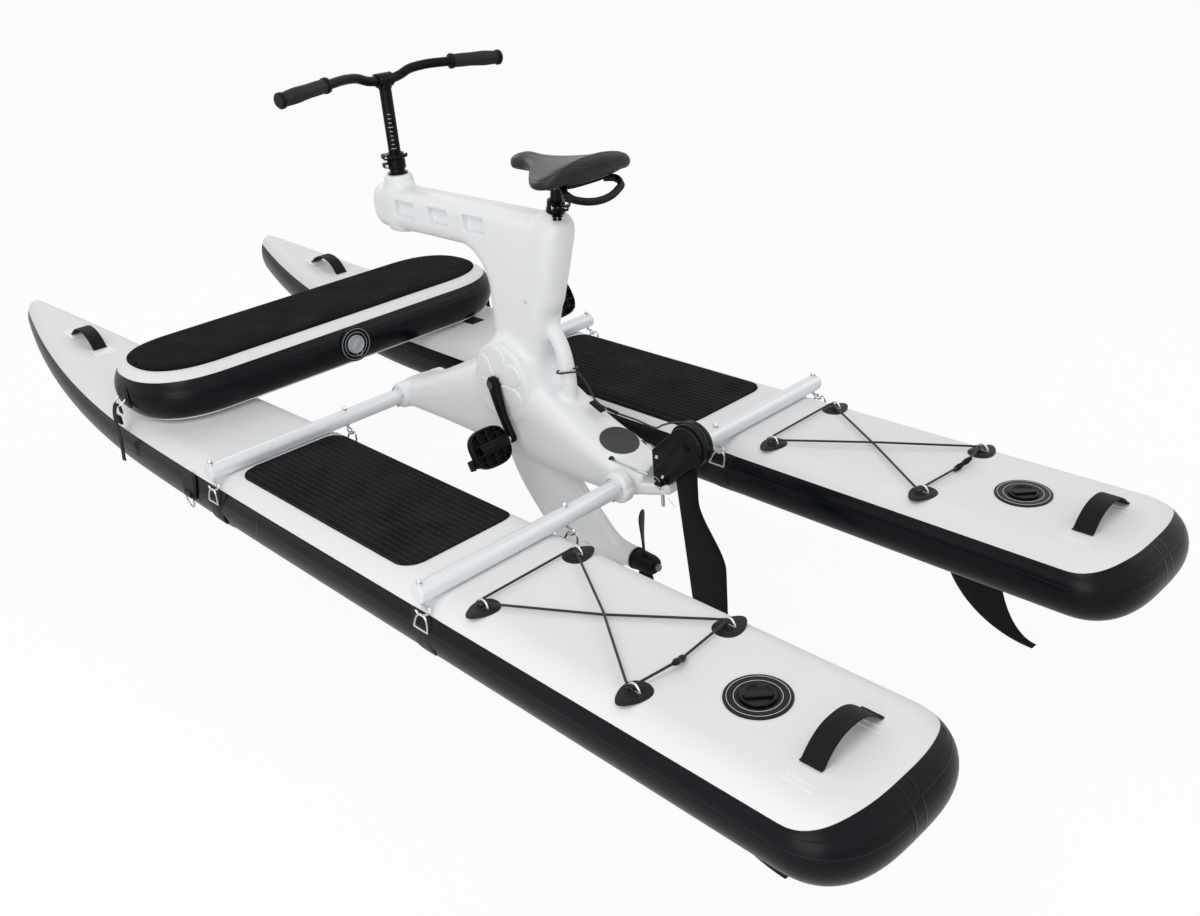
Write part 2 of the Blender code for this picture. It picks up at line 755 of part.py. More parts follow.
def webbing(name, base, along, across):
    """An arched strap over two thin tabs, as one body."""
    up = np.cross(along, across)
    up = up if up[2] > 0 else -up
    half = HANDLE_SPAN / 2
    sag = 0.0016 if abs(along[2]) > 0.01 else 0.0
    strap = []
    for t in np.linspace(-1, 1, 9):
        height = HANDLE_RISE * (1 - abs(t) ** 2.4) + 0.0045 + sag
        strap.append(base + along * half * t + up * height)
    strap = np.array([strap[0] - along * HANDLE_FOOT, *strap, strap[-1] + along * HANDLE_FOOT])
    rings = []
    for point, way in zip(strap, np.gradient(strap, axis=0)):
        normal = np.cross(way, across)
        normal = normal / np.linalg.norm(normal) * 0.0016
        side = across * HANDLE_WIDTH / 2
        rings.append([point - side - normal, point + side - normal, point + side + normal, point - side + normal])
    points, faces = loft(rings)
    body = solid(name, points, faces, "soft_black")
    for end in (-1.0, 1.0):
        mid = base + along * end * (half + 0.022) + up * (0.0006 + sag)
        corners = [
            mid + along * a * 0.040 + across * b * 0.033 for a, b in ((-1, -1), (1, -1), (1, 1), (-1, 1))
        ]
        tab = loft([corners, [corner + up * 0.0040 for corner in corners]])
        add_to(body, "%s_tab_%d" % (name, end > 0), tab)


def make_fins():
    """Tracking fins under both sterns: both edges are quarter ellipses that sweep aft."""
    top = DECK_Z - 2 * RAIL_RADIUS - FIT
    for word, side in SIDES:
        rings = []
        for turn in np.linspace(0, math.pi / 2, 7):
            front_y = FIN_FRONT_Y - FIN_FRONT_SWEEP * (1 - math.cos(turn))
            rear_y = FIN_REAR_Y - FIN_REAR_SWEEP * (1 - math.cos(turn))
            front_z = top - FIN_BASE_THICK / 2 - FIN_DEPTH * math.sin(turn)
            rear_z = top - FIN_BASE_THICK / 2 - FIN_REAR_DEPTH * math.sin(turn)
            thick = FIN_THICK / 2 * (1 - turn / math.pi)
            ring = []
            for a in np.linspace(0, 2 * math.pi, 9)[:-1]:
                share = 0.5 - 0.5 * math.cos(a)
                y = front_y + (rear_y - front_y) * share
                z = front_z + (rear_z - front_z) * share
                ring.append((side * PONTOON_X + thick * math.sin(a), y, z))
            rings.append(ring)
        points, faces = loft(rings)
        fin = solid("fin_" + word, points, faces, "black_plastic")
        low = (side * PONTOON_X - FIN_BASE_HALF, FIN_REAR_Y - FIN_BASE_HALF, top - FIN_BASE_THICK)
        high = (side * PONTOON_X + FIN_BASE_HALF, FIN_FRONT_Y + FIN_BASE_HALF, top)
        add_to(fin, "fin_base_" + word, box(low, high))


def make_bungees():
    """Shock cord laced through the four deck rings of each pontoon."""
    for word, side in SIDES:
        inner = laced(side, -1.0, PATCH_REAR_Y)
        front = laced(side, 1.0, PATCH_FRONT_Y)
        back = laced(side, -1.0, PATCH_FRONT_Y)[::-1]
        outer = laced(side, 1.0, PATCH_REAR_Y)[::-1]
        mid_x = side * PONTOON_X
        mid_y = (PATCH_FRONT_Y + PATCH_REAR_Y) / 2
        start = (mid_x + side * 0.012, PATCH_REAR_Y - 0.006, DECK_Z + 0.0100)
        over = (mid_x, mid_y, DECK_Z + BUNGEE_CROSS_Z)
        under = (mid_x, mid_y, DECK_Z + 0.0065)
        end = (mid_x + side * 0.030, PATCH_REAR_Y - 0.012, DECK_Z + 0.0170)
        route = [start, *inner, under, *front, *back, over, *outer, end]
        cord("bungee_" + word, taut(route), BUNGEE_RADIUS, BUNGEE_STEPS)


def laced(side, outward, ring_y):
    """Route points round the forward leg of a deck ring, from its aft side to its forward side."""
    out = side * outward
    ring_x = side * PONTOON_X + out * (PATCH_OFFSET_X - RING_INSET)
    leg_y = ring_y + DECK_RING_HALF * 0.89
    wrap = BUNGEE_RADIUS + DECK_RING_WIRE + 2 * FIT
    points = []
    for turn in np.radians((-90, -45, 0, 45, 90)):
        points.append((ring_x + out * wrap * math.cos(turn), leg_y + wrap * math.sin(turn), DECK_Z + 0.0092))
    return points


def taut(route):
    """A route whose long stretches get a point near each end, so that the curve runs straight between."""
    points = [np.asarray(route[0], float)]
    for spot in route[1:]:
        spot = np.asarray(spot, float)
        step = spot - points[-1]
        size = float(np.linalg.norm(step))
        if size > 4 * LEAD:
            points += [points[-1] + step * LEAD / size, spot - step * LEAD / size]
        points.append(spot)
    return points


# Cross bars


def make_bars():
    """Both cross bars, closed at the ends by their pressed-in plugs, with bolt holes."""
    half = BAR_LENGTH / 2
    inner = BAR_RADIUS - BAR_WALL
    for name, y in (("bar_front", BAR_FRONT_Y), ("bar_rear", BAR_REAR_Y)):
        tube = turned((-half, y, 0), (1, 0, 0), [(0, BAR_RADIUS - 0.001), (0.001, BAR_RADIUS), (BAR_LENGTH - 0.001, BAR_RADIUS), (BAR_LENGTH, BAR_RADIUS - 0.001)])
        bar = solid(name, *tube, "bar_paint")
        cut_from(bar, name + "_bore", turned((-half + 0.004, y, 0), (1, 0, 0), [(0, inner), (BAR_LENGTH - 0.008, inner)]))
        for x in hook_places():
            hole = turned((x, y, -0.03), (0, 0, 1), [(0, HOOK_SHANK_RADIUS + FIT), (0.06, HOOK_SHANK_RADIUS + FIT)], SMALL)
            cut_from(bar, "%s_hole_%d" % (name, round(1000 * x)), hole)


def hook_places():
    """Places of the four bolts along a bar."""
    return (-HOOK_OUTER_X, -HOOK_INNER_X, HOOK_INNER_X, HOOK_OUTER_X)


def make_hooks():
    """Eye bolts through the bars, each with the hook that catches its rail ring."""
    for bar, y in (("front", BAR_FRONT_Y), ("rear", BAR_REAR_Y)):
        for x in hook_places():
            side = math.copysign(1.0, x)
            outward = 1.0 if abs(x) > PONTOON_X else -1.0
            place = "outer" if outward > 0 else "inner"
            word = "left" if side < 0 else "right"
            name = "hook_%s_%s_%s" % (bar, word, place)
            spot, normal = rail_spot(side, outward)
            loop_top = spot + 0.002 * normal + 0.028 * hang_way(normal)
            top = BAR_RADIUS + FIT
            low = loop_top[2] + 0.011
            shank = turned(
                (x, y, 0.0),
                (0, 0, 1),
                [
                    (-BAR_RADIUS - 0.010, HOOK_SHANK_RADIUS),
                    (top, HOOK_SHANK_RADIUS),
                    (top, 0.0065),
                    (top + 0.0055, 0.0065),
                    (top + 0.010, 0.0025),
                ],
                6,
            )
            bolt = solid(name, *shank, "stainless", (x, y, 0.0))
            start = np.array([x, y, -BAR_RADIUS - 0.008])
            ring = np.array([loop_top[0], y, loop_top[2]])
            route = [
                start,
                start + np.array([0.0, 0.0, -0.006]),
                (start + ring) / 2 + 0.004 * normal + np.array([0.0, 0.0, 0.004]),
                ring + 0.0095 * normal + np.array([0.0, 0.0, 0.004]),
                ring + 0.0085 * normal + np.array([0.0, 0.0, -0.008]),
                ring - 0.0005 * normal + np.array([0.0, 0.0, -0.0115]),
                ring - 0.0080 * normal + np.array([0.0, 0.0, -0.005]),
            ]
            add_to(bolt, name + "_wire", swept(smooth(route, 8), 0.0021, 4))


# Bench


def bench_middle():
    """Height of the bench's middle, which lies on the rising decks."""
    bed = DECK_Z + rocker(BENCH_Y + BENCH_HALF_WIDTH - 0.75 * RAIL_RADIUS)
    return bed + FIT + RAIL_RADIUS


def make_bench():
    """Inflatable cross bench, its foam pad and its two tie-down straps."""
    stations = bench_stations()
    middle = bench_middle()
    turn = Matrix.Rotation(-math.pi / 2, 3, "Z")
    shift = np.array([0.0, BENCH_Y, 0.0])
    points, faces = hull_shape(stations, middle)
    bench = solid("bench", points @ np.array(turn).T + shift, faces, "hull_white")
    spot = (0.0, BENCH_Y - BENCH_HALF_WIDTH, middle)
    add_to(bench, "bench_valve", valve_shape(spot, (0, -1, 0), BENCH_VALVE_RADIUS))
    for word, side in SIDES:
        normal = np.array([side, 0.0, 0.0])
        spot = np.array([side * BENCH_HALF_LENGTH, BENCH_Y, middle])
        rail = (side * (BENCH_HALF_LENGTH - RAIL_RADIUS), BENCH_Y, middle)
        add_to(bench, "bench_patch_" + word, rail_patch(rail, side, 0.0))
        ring = half_ring(spot + 0.002 * normal, (0, 1, 0), (side * 0.8, 0, -0.6), BENCH_RING_HALF, BENCH_RING_RISE, RING_WIRE, 0.45)
        add_to(bench, "bench_ring_" + word, ring)
    reach = (BENCH_PAD_EDGE - (BENCH_HALF_WIDTH - RAIL_RADIUS)) / (RAIL_RADIUS + 0.004)
    points, faces = pad_shape(stations, math.acos(reach), FIT, 0.0045, middle)
    solid("bench_pad", points @ np.array(turn).T + shift, faces, "soft_black")
    for word, side in SIDES:
        tie_strap(word, side, middle)


def tie_strap(word, side, middle):
    """A webbing strap looped over the bench ring and led down past the rail below."""
    rise = 0.97 * BENCH_RING_RISE
    ring = np.array([BENCH_HALF_LENGTH + 0.002 + 0.8 * rise, BENCH_Y, middle - 0.6 * rise])
    wrap = RING_WIRE + STRAP_HALF_THICK + FIT
    route = [ring + np.array([-wrap - 0.003, 0.0, -0.026])]
    for turn in np.radians((170, 130, 90, 50, 10)):
        route.append(ring + wrap * np.array([math.cos(turn), 0.0, math.sin(turn)]))
    foot_x = PONTOON_X + FLAT_HALF + RAIL_RADIUS + 0.0040
    route.append(np.array([foot_x, BENCH_Y, DECK_Z - 0.035]))
    route.append(np.array([foot_x + 0.008, BENCH_Y - 0.006, DECK_Z - 0.090]))
    path = mirrored(smooth(route, 16, CORD_BEND_WEIGHT), side)
    rings = []
    for point, way in zip(path, np.gradient(path, axis=0)):
        normal = np.cross(way, (0.0, 1.0, 0.0))
        normal = normal / np.linalg.norm(normal) * STRAP_HALF_THICK
        half = np.array([0.0, STRAP_WIDTH / 2, 0.0])
        rings.append([point - half - normal, point + half - normal, point + half + normal, point - half + normal])
    points, faces = loft(rings)
    solid("bench_strap_" + word, points, faces, "soft_black")


# Bike body


def nacelle_rings(inset, sides=ROUND):
    """Cross-sections of the hull-like lower body, nose to tail."""
    rings = []
    nose = BODY_NOSE_Y - inset
    tail = BODY_TAIL_Y + inset
    ends = [0.0, 0.004, 0.015, 0.045, 0.13, 0.27, 0.40, 0.50, 0.61, 0.72, 0.84, 0.93, 0.98, 1.0]
    for share in ends:
        y = nose + (tail - nose) * share
        if y > CRANK_Y:
            t = (nose - y) / (nose - CRANK_Y)
            top = BODY_NOSE_TOP + (BODY_CRANK_TOP - BODY_NOSE_TOP) * t**1.3
            low = -BODY_NOSE_DEPTH - (BODY_CRANK_DEPTH - BODY_NOSE_DEPTH) * t**1.5
        else:
            t = (CRANK_Y - y) / (CRANK_Y - tail)
            top = BODY_TAIL_TOP + (BODY_CRANK_TOP - BODY_TAIL_TOP) * (1 - t) ** 1.7
            low = -BODY_CRANK_DEPTH + (BODY_CRANK_DEPTH - BODY_TAIL_TOP) * t**2.4
        blunt = min(1.0, ((nose - y + 0.0035) / 0.045)) ** 0.42
        narrow = min(1.0, ((y - tail + 0.018) / 0.150)) ** 0.62
        close = 0.35 + 0.65 * min(1.0, ((nose - y + 0.002) / 0.030)) ** 0.5
        half = BODY_HALF_WIDTH * blunt * narrow - inset
        middle = (top + low) / 2
        tall = (top - low) / 2 * close - inset
        x, z = super_ring(half, tall, 2.7, sides)
        rings.append([(a, y, middle + b) for a, b in zip(x, z)])
    return rings


def column_rings(inset, sides=ROUND):
    """Cross-sections of the seat column, foot to seat boss."""
    rings = []
    top = SEAT_Z - 0.012 - inset
    for z in (0.10, 0.20, 0.31, 0.355, 0.39, 0.415, 0.437, 0.46, top):
        rear = COLUMN_REAR_Y - COLUMN_REAR_SLOPE * (z - 0.20) + inset
        climb = min(max(0.0, z - (BEAM_LOW_Z - FILLET_RADIUS)), FILLET_RADIUS - 0.002)
        swell = FILLET_RADIUS - math.sqrt(FILLET_RADIUS**2 - climb**2)
        if z > BEAM_LOW_Z:
            swell = 0.0
        front = COLUMN_FRONT_Y + 0.015 * max(0.0, (0.25 - z) / 0.15) + swell - inset
        half = COLUMN_HALF_WIDTH - 0.004 * (z - 0.10) / 0.43 - inset
        x, y = super_ring(half, (front - rear) / 2, 2.5, sides)
        rings.append([(a, (front + rear) / 2 + b, z) for a, b in zip(x, y)])
    return rings


def beam_rings(inset):
    """Cross-sections of the top beam, head to seat boss."""
    rings = []
    front = HEAD_FRONT_Y - inset
    for back, share in ((0.0, 0.45), (0.004, 0.70), (0.014, 0.90), (0.034, 1.0), (0.655, 0.97)):
        half = BEAM_HALF_WIDTH * share - inset
        tall = (BEAM_TOP_Z - BEAM_LOW_Z) / 2 * (0.35 + 0.65 * share) - inset
        x, z = super_ring(half, tall, 3.2, ROUND)
        rings.append([(a, front - back, (BEAM_TOP_Z + BEAM_LOW_Z) / 2 + b) for a, b in zip(x, z)])
    return rings


def seat_axis():
    """Unit way up the seat post."""
    lean = math.radians(SEAT_LEAN_DEG)
    return np.array([0.0, -math.sin(lean), math.cos(lean)])


def make_body():
    """The hollow moulded body with its sockets, tubes, pockets and ports."""
    body = solid("bike_body", *loft(nacelle_rings(0.0)), "white_shell")
    add_to(body, "column", loft(column_rings(0.0)))
    add_to(body, "beam", loft(beam_rings(0.0)))
    add_to(body, "cover_seat", turned((-COVER_FACE_X, CRANK_Y, CRANK_Z), (1, 0, 0), [(0, COVER_RADIUS + 0.0035), (2 * COVER_FACE_X, COVER_RADIUS + 0.0035)], COVER_SIDES))
    cut_from(body, "hollow", loft(nacelle_rings(WALL, SMALL + 2)[4:11]))
    cut_from(body, "column_hollow", loft([column_rings(WALL, SMALL + 2)[i] for i in (0, 1, 2, 4, 7)]))
    cut_from(body, "beam_channel", box((-BEAM_CORE_HALF, 0.30, BEAM_LOW_Z + WALL), (BEAM_CORE_HALF, STEER_Y - 0.02, BEAM_TOP_Z - 0.012)))
    add_body_tubes(body)
    cut_body_bores(body)
    cut_pockets(body)


def add_body_tubes(body):
    """Bar sockets, head tube, seat tube, grab handle and hatch rim."""
    for name, y, x, radius in (
        ("front", BAR_FRONT_Y, SOCKET_FRONT_X, SOCKET_FRONT_RADIUS),
        ("rear", BAR_REAR_Y, SOCKET_REAR_X, SOCKET_REAR_RADIUS),
    ):
        neck = BAR_RADIUS + 0.0065
        half = [(0, radius - 0.004), (0.004, radius), (0.018, radius), (0.034, neck)]
        profile = half + [(2 * x - t, r) for t, r in reversed(half)]
        add_to(body, "socket_" + name, turned((-x, y, 0), (1, 0, 0), profile))
    tall = HEAD_RING_Z - BEAM_LOW_Z
    head = [(0, 0.030), (0.045, 0.038), (tall - 0.040, 0.0375), (tall - 0.026, 0.0345), (tall - 0.006, 0.031), (tall, 0.0295)]
    add_to(body, "head_tube", turned((0, STEER_Y, BEAM_LOW_Z), (0, 0, 1), head))
    way = seat_axis()
    top = np.array([0.0, SEAT_Y, SEAT_Z])
    foot = top - way * (SEAT_POST_LENGTH * 0.72)
    length = float(np.linalg.norm(top - foot))
    tube = [(0, 0.0205), (0.020, 0.0270), (0.080, 0.0310), (length - 0.050, 0.0345)]
    tube += [(length - 0.012, 0.0355), (length - 0.004, 0.031), (length, 0.026)]
    add_to(body, "seat_tube", turned(foot, way, tube))
    grab = smooth([(0, 0.322, 0.335), (0, 0.270, 0.290), (0, 0.2385, 0.240), (0, 0.2265, 0.180), (0, 0.2265, 0.100)], 9)
    add_to(body, "grab_handle", swept(grab, GRAB_RADIUS, 12))
    spot, normal = hatch_place()
    add_to(body, "hatch_rim", turned(spot - normal * 0.020, normal, [(0, HATCH_RADIUS + 0.004), (0.0195, HATCH_RADIUS + 0.004)]))


def hatch_place():
    """Centre of the hatch on the rear deck and the deck's normal there."""
    t = (CRANK_Y - HATCH_Y) / (CRANK_Y - BODY_TAIL_Y)
    rise = BODY_CRANK_TOP - BODY_TAIL_TOP
    top = BODY_TAIL_TOP + rise * (1 - t) ** 1.7
    slope = 1.7 * rise * (1 - t) ** 0.7 / (CRANK_Y - BODY_TAIL_Y)
    normal = np.array([0.0, -slope, 1.0])
    return np.array([0.0, HATCH_Y, top + 0.0015]), normal / np.linalg.norm(normal)


def cut_body_bores(body):
    """Everything that passes through the walls of the body."""
    for name, y in (("front", BAR_FRONT_Y), ("rear", BAR_REAR_Y)):
        reach = SOCKET_REAR_X + 0.02
        cut_from(body, "bar_bore_" + name, turned((-reach, y, 0), (1, 0, 0), [(0, BAR_RADIUS + FIT), (2 * reach, BAR_RADIUS + FIT)]))
    cut_from(body, "gear_room", turned((-0.09, CRANK_Y, CRANK_Z), (1, 0, 0), [(0, COVER_RADIUS - 0.010), (0.18, COVER_RADIUS - 0.010)], COVER_SIDES))
    cut_from(body, "head_bore", turned((0, STEER_Y, BEAM_LOW_Z - 0.03), (0, 0, 1), [(0, STEER_TUBE_RADIUS + RUN), (0.20, STEER_TUBE_RADIUS + RUN)]))
    cut_from(body, "drum_room", turned((0, STEER_Y, BEAM_LOW_Z - 0.03), (0, 0, 1), [(0, 0.0335), (0.059, 0.0335)]))
    cut_from(body, "cable_fork", box((-0.028, 0.680, BEAM_LOW_Z + 0.0055), (0.028, STEER_Y - 0.005, 0.4695)))
    way = seat_axis()
    top = np.array([0.0, SEAT_Y, SEAT_Z]) + way * 0.03
    cut_from(body, "seat_bore", turned(top - way * 0.26, way, [(0, SEAT_POST_RADIUS + FIT), (0.26, SEAT_POST_RADIUS + FIT)]))
    flat = np.array([0.0, SEAT_Y, SEAT_Z])
    cut_from(body, "seat_relief", turned(flat + way * 0.0003, way, [(0, 0.031), (0.05, 0.031)]))
    spot, normal = hatch_place()
    cut_from(body, "hatch_bore", turned(spot - normal * 0.045, normal, [(0, HATCH_RADIUS), (0.06, HATCH_RADIUS)]))
    for word, side in SIDES:
        start = mirrored((0.0262, 0.0930, 0.0256), side)
        way = mirrored((0.50, -0.82, 0.25), side)
        cut_from(body, "cable_port_" + word, turned(start, way, [(0, 0.0048), (0.075, 0.0048)], 8))
    cut_from(body, "leg_port", leg_shape(RUN, True))
    pin = [(0, 0.0045 + RUN), (0.12, 0.0045 + RUN)]
    cut_from(body, "pin_bore", turned((0, RUDDER_PIN_Y, -0.07), (0, 0, 1), pin, SMALL))
    path = smooth(cable_route(), CABLE_STEPS, CORD_BEND_WEIGHT)
    inside = int(np.argmax(path[:, 1] > COLUMN_FRONT_Y - 0.03))
    for word, part in (("left", path[:inside]), ("right", path[-inside:])):
        cut_from(body, "cable_way_" + word, swept(part, CABLE_RADIUS + 0.0012, 4))
    cut_from(body, "tail_seat", box((-0.06, BODY_TAIL_Y - 0.02, 0.0035), (0.06, EAR_SWING_Y, 0.09)))
    cut_from(body, "head_swing", turned((0, RUDDER_PIN_Y, 0.0035), (0, 0, 1), [(0, HEAD_SWING), (0.08, HEAD_SWING)]))


def cut_pockets(body):
    """Tapered side pockets in the beam."""
    for index, y in enumerate(POCKET_YS):
        for word, side in SIDES:
            rings = []
            for depth, grow in ((0.010, 0.006), (0.0, 0.0), (-POCKET_DEPTH, -0.008)):
                x = side * (BEAM_HALF_WIDTH + depth)
                v, w = super_ring(POCKET_LENGTH / 2 + grow, POCKET_HEIGHT / 2 + grow, 6.0, SMALL)
                rings.append([(x, y + a, POCKET_Z + b) for a, b in zip(v, w)])
            cut_from(body, "pocket_%d_%s" % (index, word), loft(rings))


def make_covers():
    """Domed side covers with raised petals round the crank axle."""
    for word, side in SIDES:
        rings = []
        hole = AXLE_RADIUS + RUN
        for x, radius in ((0.052, hole), (0.052, COVER_RADIUS - 0.0105), (COVER_FACE_X + FIT, COVER_RADIUS - 0.0105)):
            rings.append(circle((x, CRANK_Y, CRANK_Z), (1, 0, 0), radius, COVER_SIDES))
        rings.append(circle((COVER_FACE_X + FIT, CRANK_Y, CRANK_Z), (1, 0, 0), COVER_RADIUS, COVER_SIDES))
        rings.append(circle((COVER_FACE_X + 0.003, CRANK_Y, CRANK_Z), (1, 0, 0), COVER_RADIUS, COVER_SIDES))
        for share in (0.93, 0.65, 0.30):
            ring = circle((0, CRANK_Y, CRANK_Z), (1, 0, 0), COVER_RADIUS * share, COVER_SIDES)
            turn = np.arange(COVER_SIDES) * 2 * math.pi / COVER_SIDES
            petal = 0.0022 * np.maximum(0.0, np.cos(5 * turn)) * math.sin(math.pi * share)
            ring[:, 0] = COVER_FACE_X + 0.003 + 0.0075 * (1 - share**2) + petal
            rings.append(ring)
        rings.append(circle((COVER_FACE_X + 0.0108, CRANK_Y, CRANK_Z), (1, 0, 0), hole, COVER_SIDES))
        points, faces = ring_loop(rings)
        solid("side_cover_" + word, mirrored(points, side), faces, "white_shell")


def make_hatch():
    """Moulded plug that closes the oval port in the rear deck."""
    spot, normal = hatch_place()
    profile = [(-0.014, HATCH_RADIUS - 0.006), (-0.004, HATCH_RADIUS - FIT), (0.0005, HATCH_RADIUS - FIT), (0.002, HATCH_RADIUS - 0.002), (0.0024, 0.004)]
    solid("hatch_plug", *turned(spot, normal, profile), "black_plastic", tuple(spot))


def leg_shape(grow, short):
    """The swept strut under the body; short keeps only its buried top."""
    rings = []
    for step in range(LEG_RINGS):
        z = LEG_TOP_Z + (LEG_TIP_Z - LEG_TOP_Z) * (1 - (1 - step / (LEG_RINGS - 1)) ** 1.6)
        front, rear, half = leg_section(z)
        turn = (np.arange(14) + 0.5) * 2 * math.pi / 14
        back = (1 - np.cos(turn)) / 2
        thick = np.sign(np.sin(turn)) * (half * np.abs(np.sin(turn)) ** 0.75 + grow)
        chord = front - rear + 2 * grow
        rings.append([(t, front + grow - chord * b, z) for t, b in zip(thick, back)])
    if short:
        rings = rings[:3]
        rings[0] = [(x, y, z + 0.01) for x, y, z in rings[0]]
    return loft(rings)


def leg_section(z):
    """Front edge, rear edge and half-width of the strut: its front falls back, its rear swings forward."""
    front = LEG_FRONT_Y - 1.68 * max(0.0, -0.075 - z) ** 1.495
    swing = min(max((-0.0505 - z) / 0.204, 0.0), 1.0)
    rear = LEG_REAR_Y - LEG_REAR_SWING * swing**2 * (3 - 2 * swing) + 0.05 * max(0.0, (-0.262 - z) / 0.038) ** 2
    narrow = min(max((-z - 0.10) / 0.21, 0.0), 0.97)
    return front, rear, LEG_HALF_WIDTH * (1 - narrow**6) ** 0.6


def shaft_way():
    """Unit way from the crank centre down the drive shaft to the lower gears."""
    way = np.array([0.0, PROP_APEX_Y - CRANK_Y, PROP_AXIS_Z - CRANK_Z])
    return way / np.linalg.norm(way)


def upper_cone():
    """Pitch angles and cone length of the upper bevel pair."""
    crown = math.atan(CROWN_TEETH / PINION_TEETH)
    return crown, math.pi / 2 - crown, CROWN_TEETH * UPPER_MODULE / 2 / math.sin(crown)


def lower_cone():
    """Pitch angles and cone length of the lower bevel pair, whose shafts meet obliquely."""
    way = shaft_way()
    between = math.acos(float(np.dot(-way, np.array([0.0, -1.0, 0.0]))))
    ratio = LOWER_PINION_TEETH / LOWER_DRIVER_TEETH
    driver = math.atan2(math.sin(between), ratio + math.cos(between))
    return driver, between - driver, LOWER_DRIVER_TEETH * LOWER_MODULE / 2 / math.sin(driver)


def bevel(apex, axis, toward, teeth, angle, cone, face, module, back, bore, shift):
    """A straight bevel gear whose tooth lines all run to the apex."""
    axis = np.asarray(axis, float)
    toward = np.asarray(toward, float)
    toward = toward - axis * np.dot(axis, toward)
    toward /= np.linalg.norm(toward)
    side = np.cross(axis, toward)
    add = 0.90 * module / cone
    dig = 1.20 * module / cone
    pitch = 2 * math.pi / teeth
    turns, angles = [], []
    for tooth in range(teeth):
        mid = (tooth + shift) * pitch
        for offset, lift in ((-0.29, -dig), (-0.115, add), (0.115, add), (0.29, -dig)):
            turns.append(mid + offset * pitch)
            angles.append(angle + lift)
    turns, angles = np.array(turns), np.array(angles)
    around = np.outer(np.cos(turns), toward) + np.outer(np.sin(turns), side)

    def ring(radius, height):
        return np.asarray(apex, float) + np.outer(np.broadcast_to(height, len(turns)), axis) + np.broadcast_to(radius, len(turns))[:, None] * around

    big = ring(cone * np.sin(angles), cone * np.cos(angles))
    small = ring((cone - face) * np.sin(angles), (cone - face) * np.cos(angles))
    front = (cone - face) * math.cos(angle - dig) * 1.02
    rear = cone * math.cos(angle - dig) + back
    rim = cone * math.sin(angle - dig) * 0.96
    rings = [big, small]
    if bore:
        rings += [ring(bore, front), ring(bore, rear)]
        return ring_loop(rings)
    return loft([ring(0.0035, front), small, big, ring(rim, rear)])


def make_drive():
    """Crank axle, bevel gears, inclined shaft, propeller shaft and propeller."""
    apex = np.array([0.0, CRANK_Y, CRANK_Z])
    crown_angle, pinion_angle, cone = upper_cone()
    axle_half = CRANK_ARM_X + 0.012
    axle = turned((-axle_half, CRANK_Y, CRANK_Z), (1, 0, 0), [(0, AXLE_RADIUS), (2 * axle_half, AXLE_RADIUS)], COVER_SIDES)
    solid("crank_axle", *axle, "stainless", tuple(apex))
    crown = bevel(apex, (1, 0, 0), shaft_way(), CROWN_TEETH, crown_angle, cone, 0.013, UPPER_MODULE, 0.006, AXLE_RADIUS + FIT, 0.0)
    solid("crown_gear", *crown, "gear_steel", tuple(apex))
    way = shaft_way()
    low_apex = np.array([0.0, PROP_APEX_Y, PROP_AXIS_Z])
    pinion = bevel(apex, way, (1, 0, 0), PINION_TEETH, pinion_angle, cone, 0.013, UPPER_MODULE, 0.006, 0.0, 0.5)
    shaft = solid("drive_shaft", *pinion, "gear_steel", tuple(low_apex))
    driver_angle, prop_angle, low_cone = lower_cone()
    from_apex = low_cone * math.cos(driver_angle)
    start = apex + way * (cone * math.cos(pinion_angle) - 0.002)
    length = float(np.linalg.norm(low_apex - start)) - from_apex - 0.003
    add_to(shaft, "shaft_rod", turned(start, way, [(0, SHAFT_RADIUS), (length, SHAFT_RADIUS)], 14))
    aft = np.array([0.0, -1.0, 0.0])
    driver = bevel(low_apex, -way, aft, LOWER_DRIVER_TEETH, driver_angle, low_cone, 0.0055, LOWER_MODULE, 0.004, 0.0, 0.0)
    add_to(shaft, "shaft_low_gear", driver)
    follower = bevel(low_apex, aft, -way, LOWER_PINION_TEETH, prop_angle, low_cone, 0.0055, LOWER_MODULE, 0.004, 0.0, 0.5)
    prop = solid("propeller_shaft", *follower, "gear_steel", tuple(low_apex))
    begin = low_apex + aft * (low_cone * math.cos(prop_angle) + 0.001)
    run = float(begin[1] - (PROP_HUB_Y - PROP_HUB_LENGTH - 0.006))
    add_to(prop, "prop_rod", turned(begin, aft, [(0, 0.005), (run - 0.006, 0.005), (run - 0.006, 0.0085), (run, 0.0085)], 14))
    make_leg(low_apex)
    make_propeller()


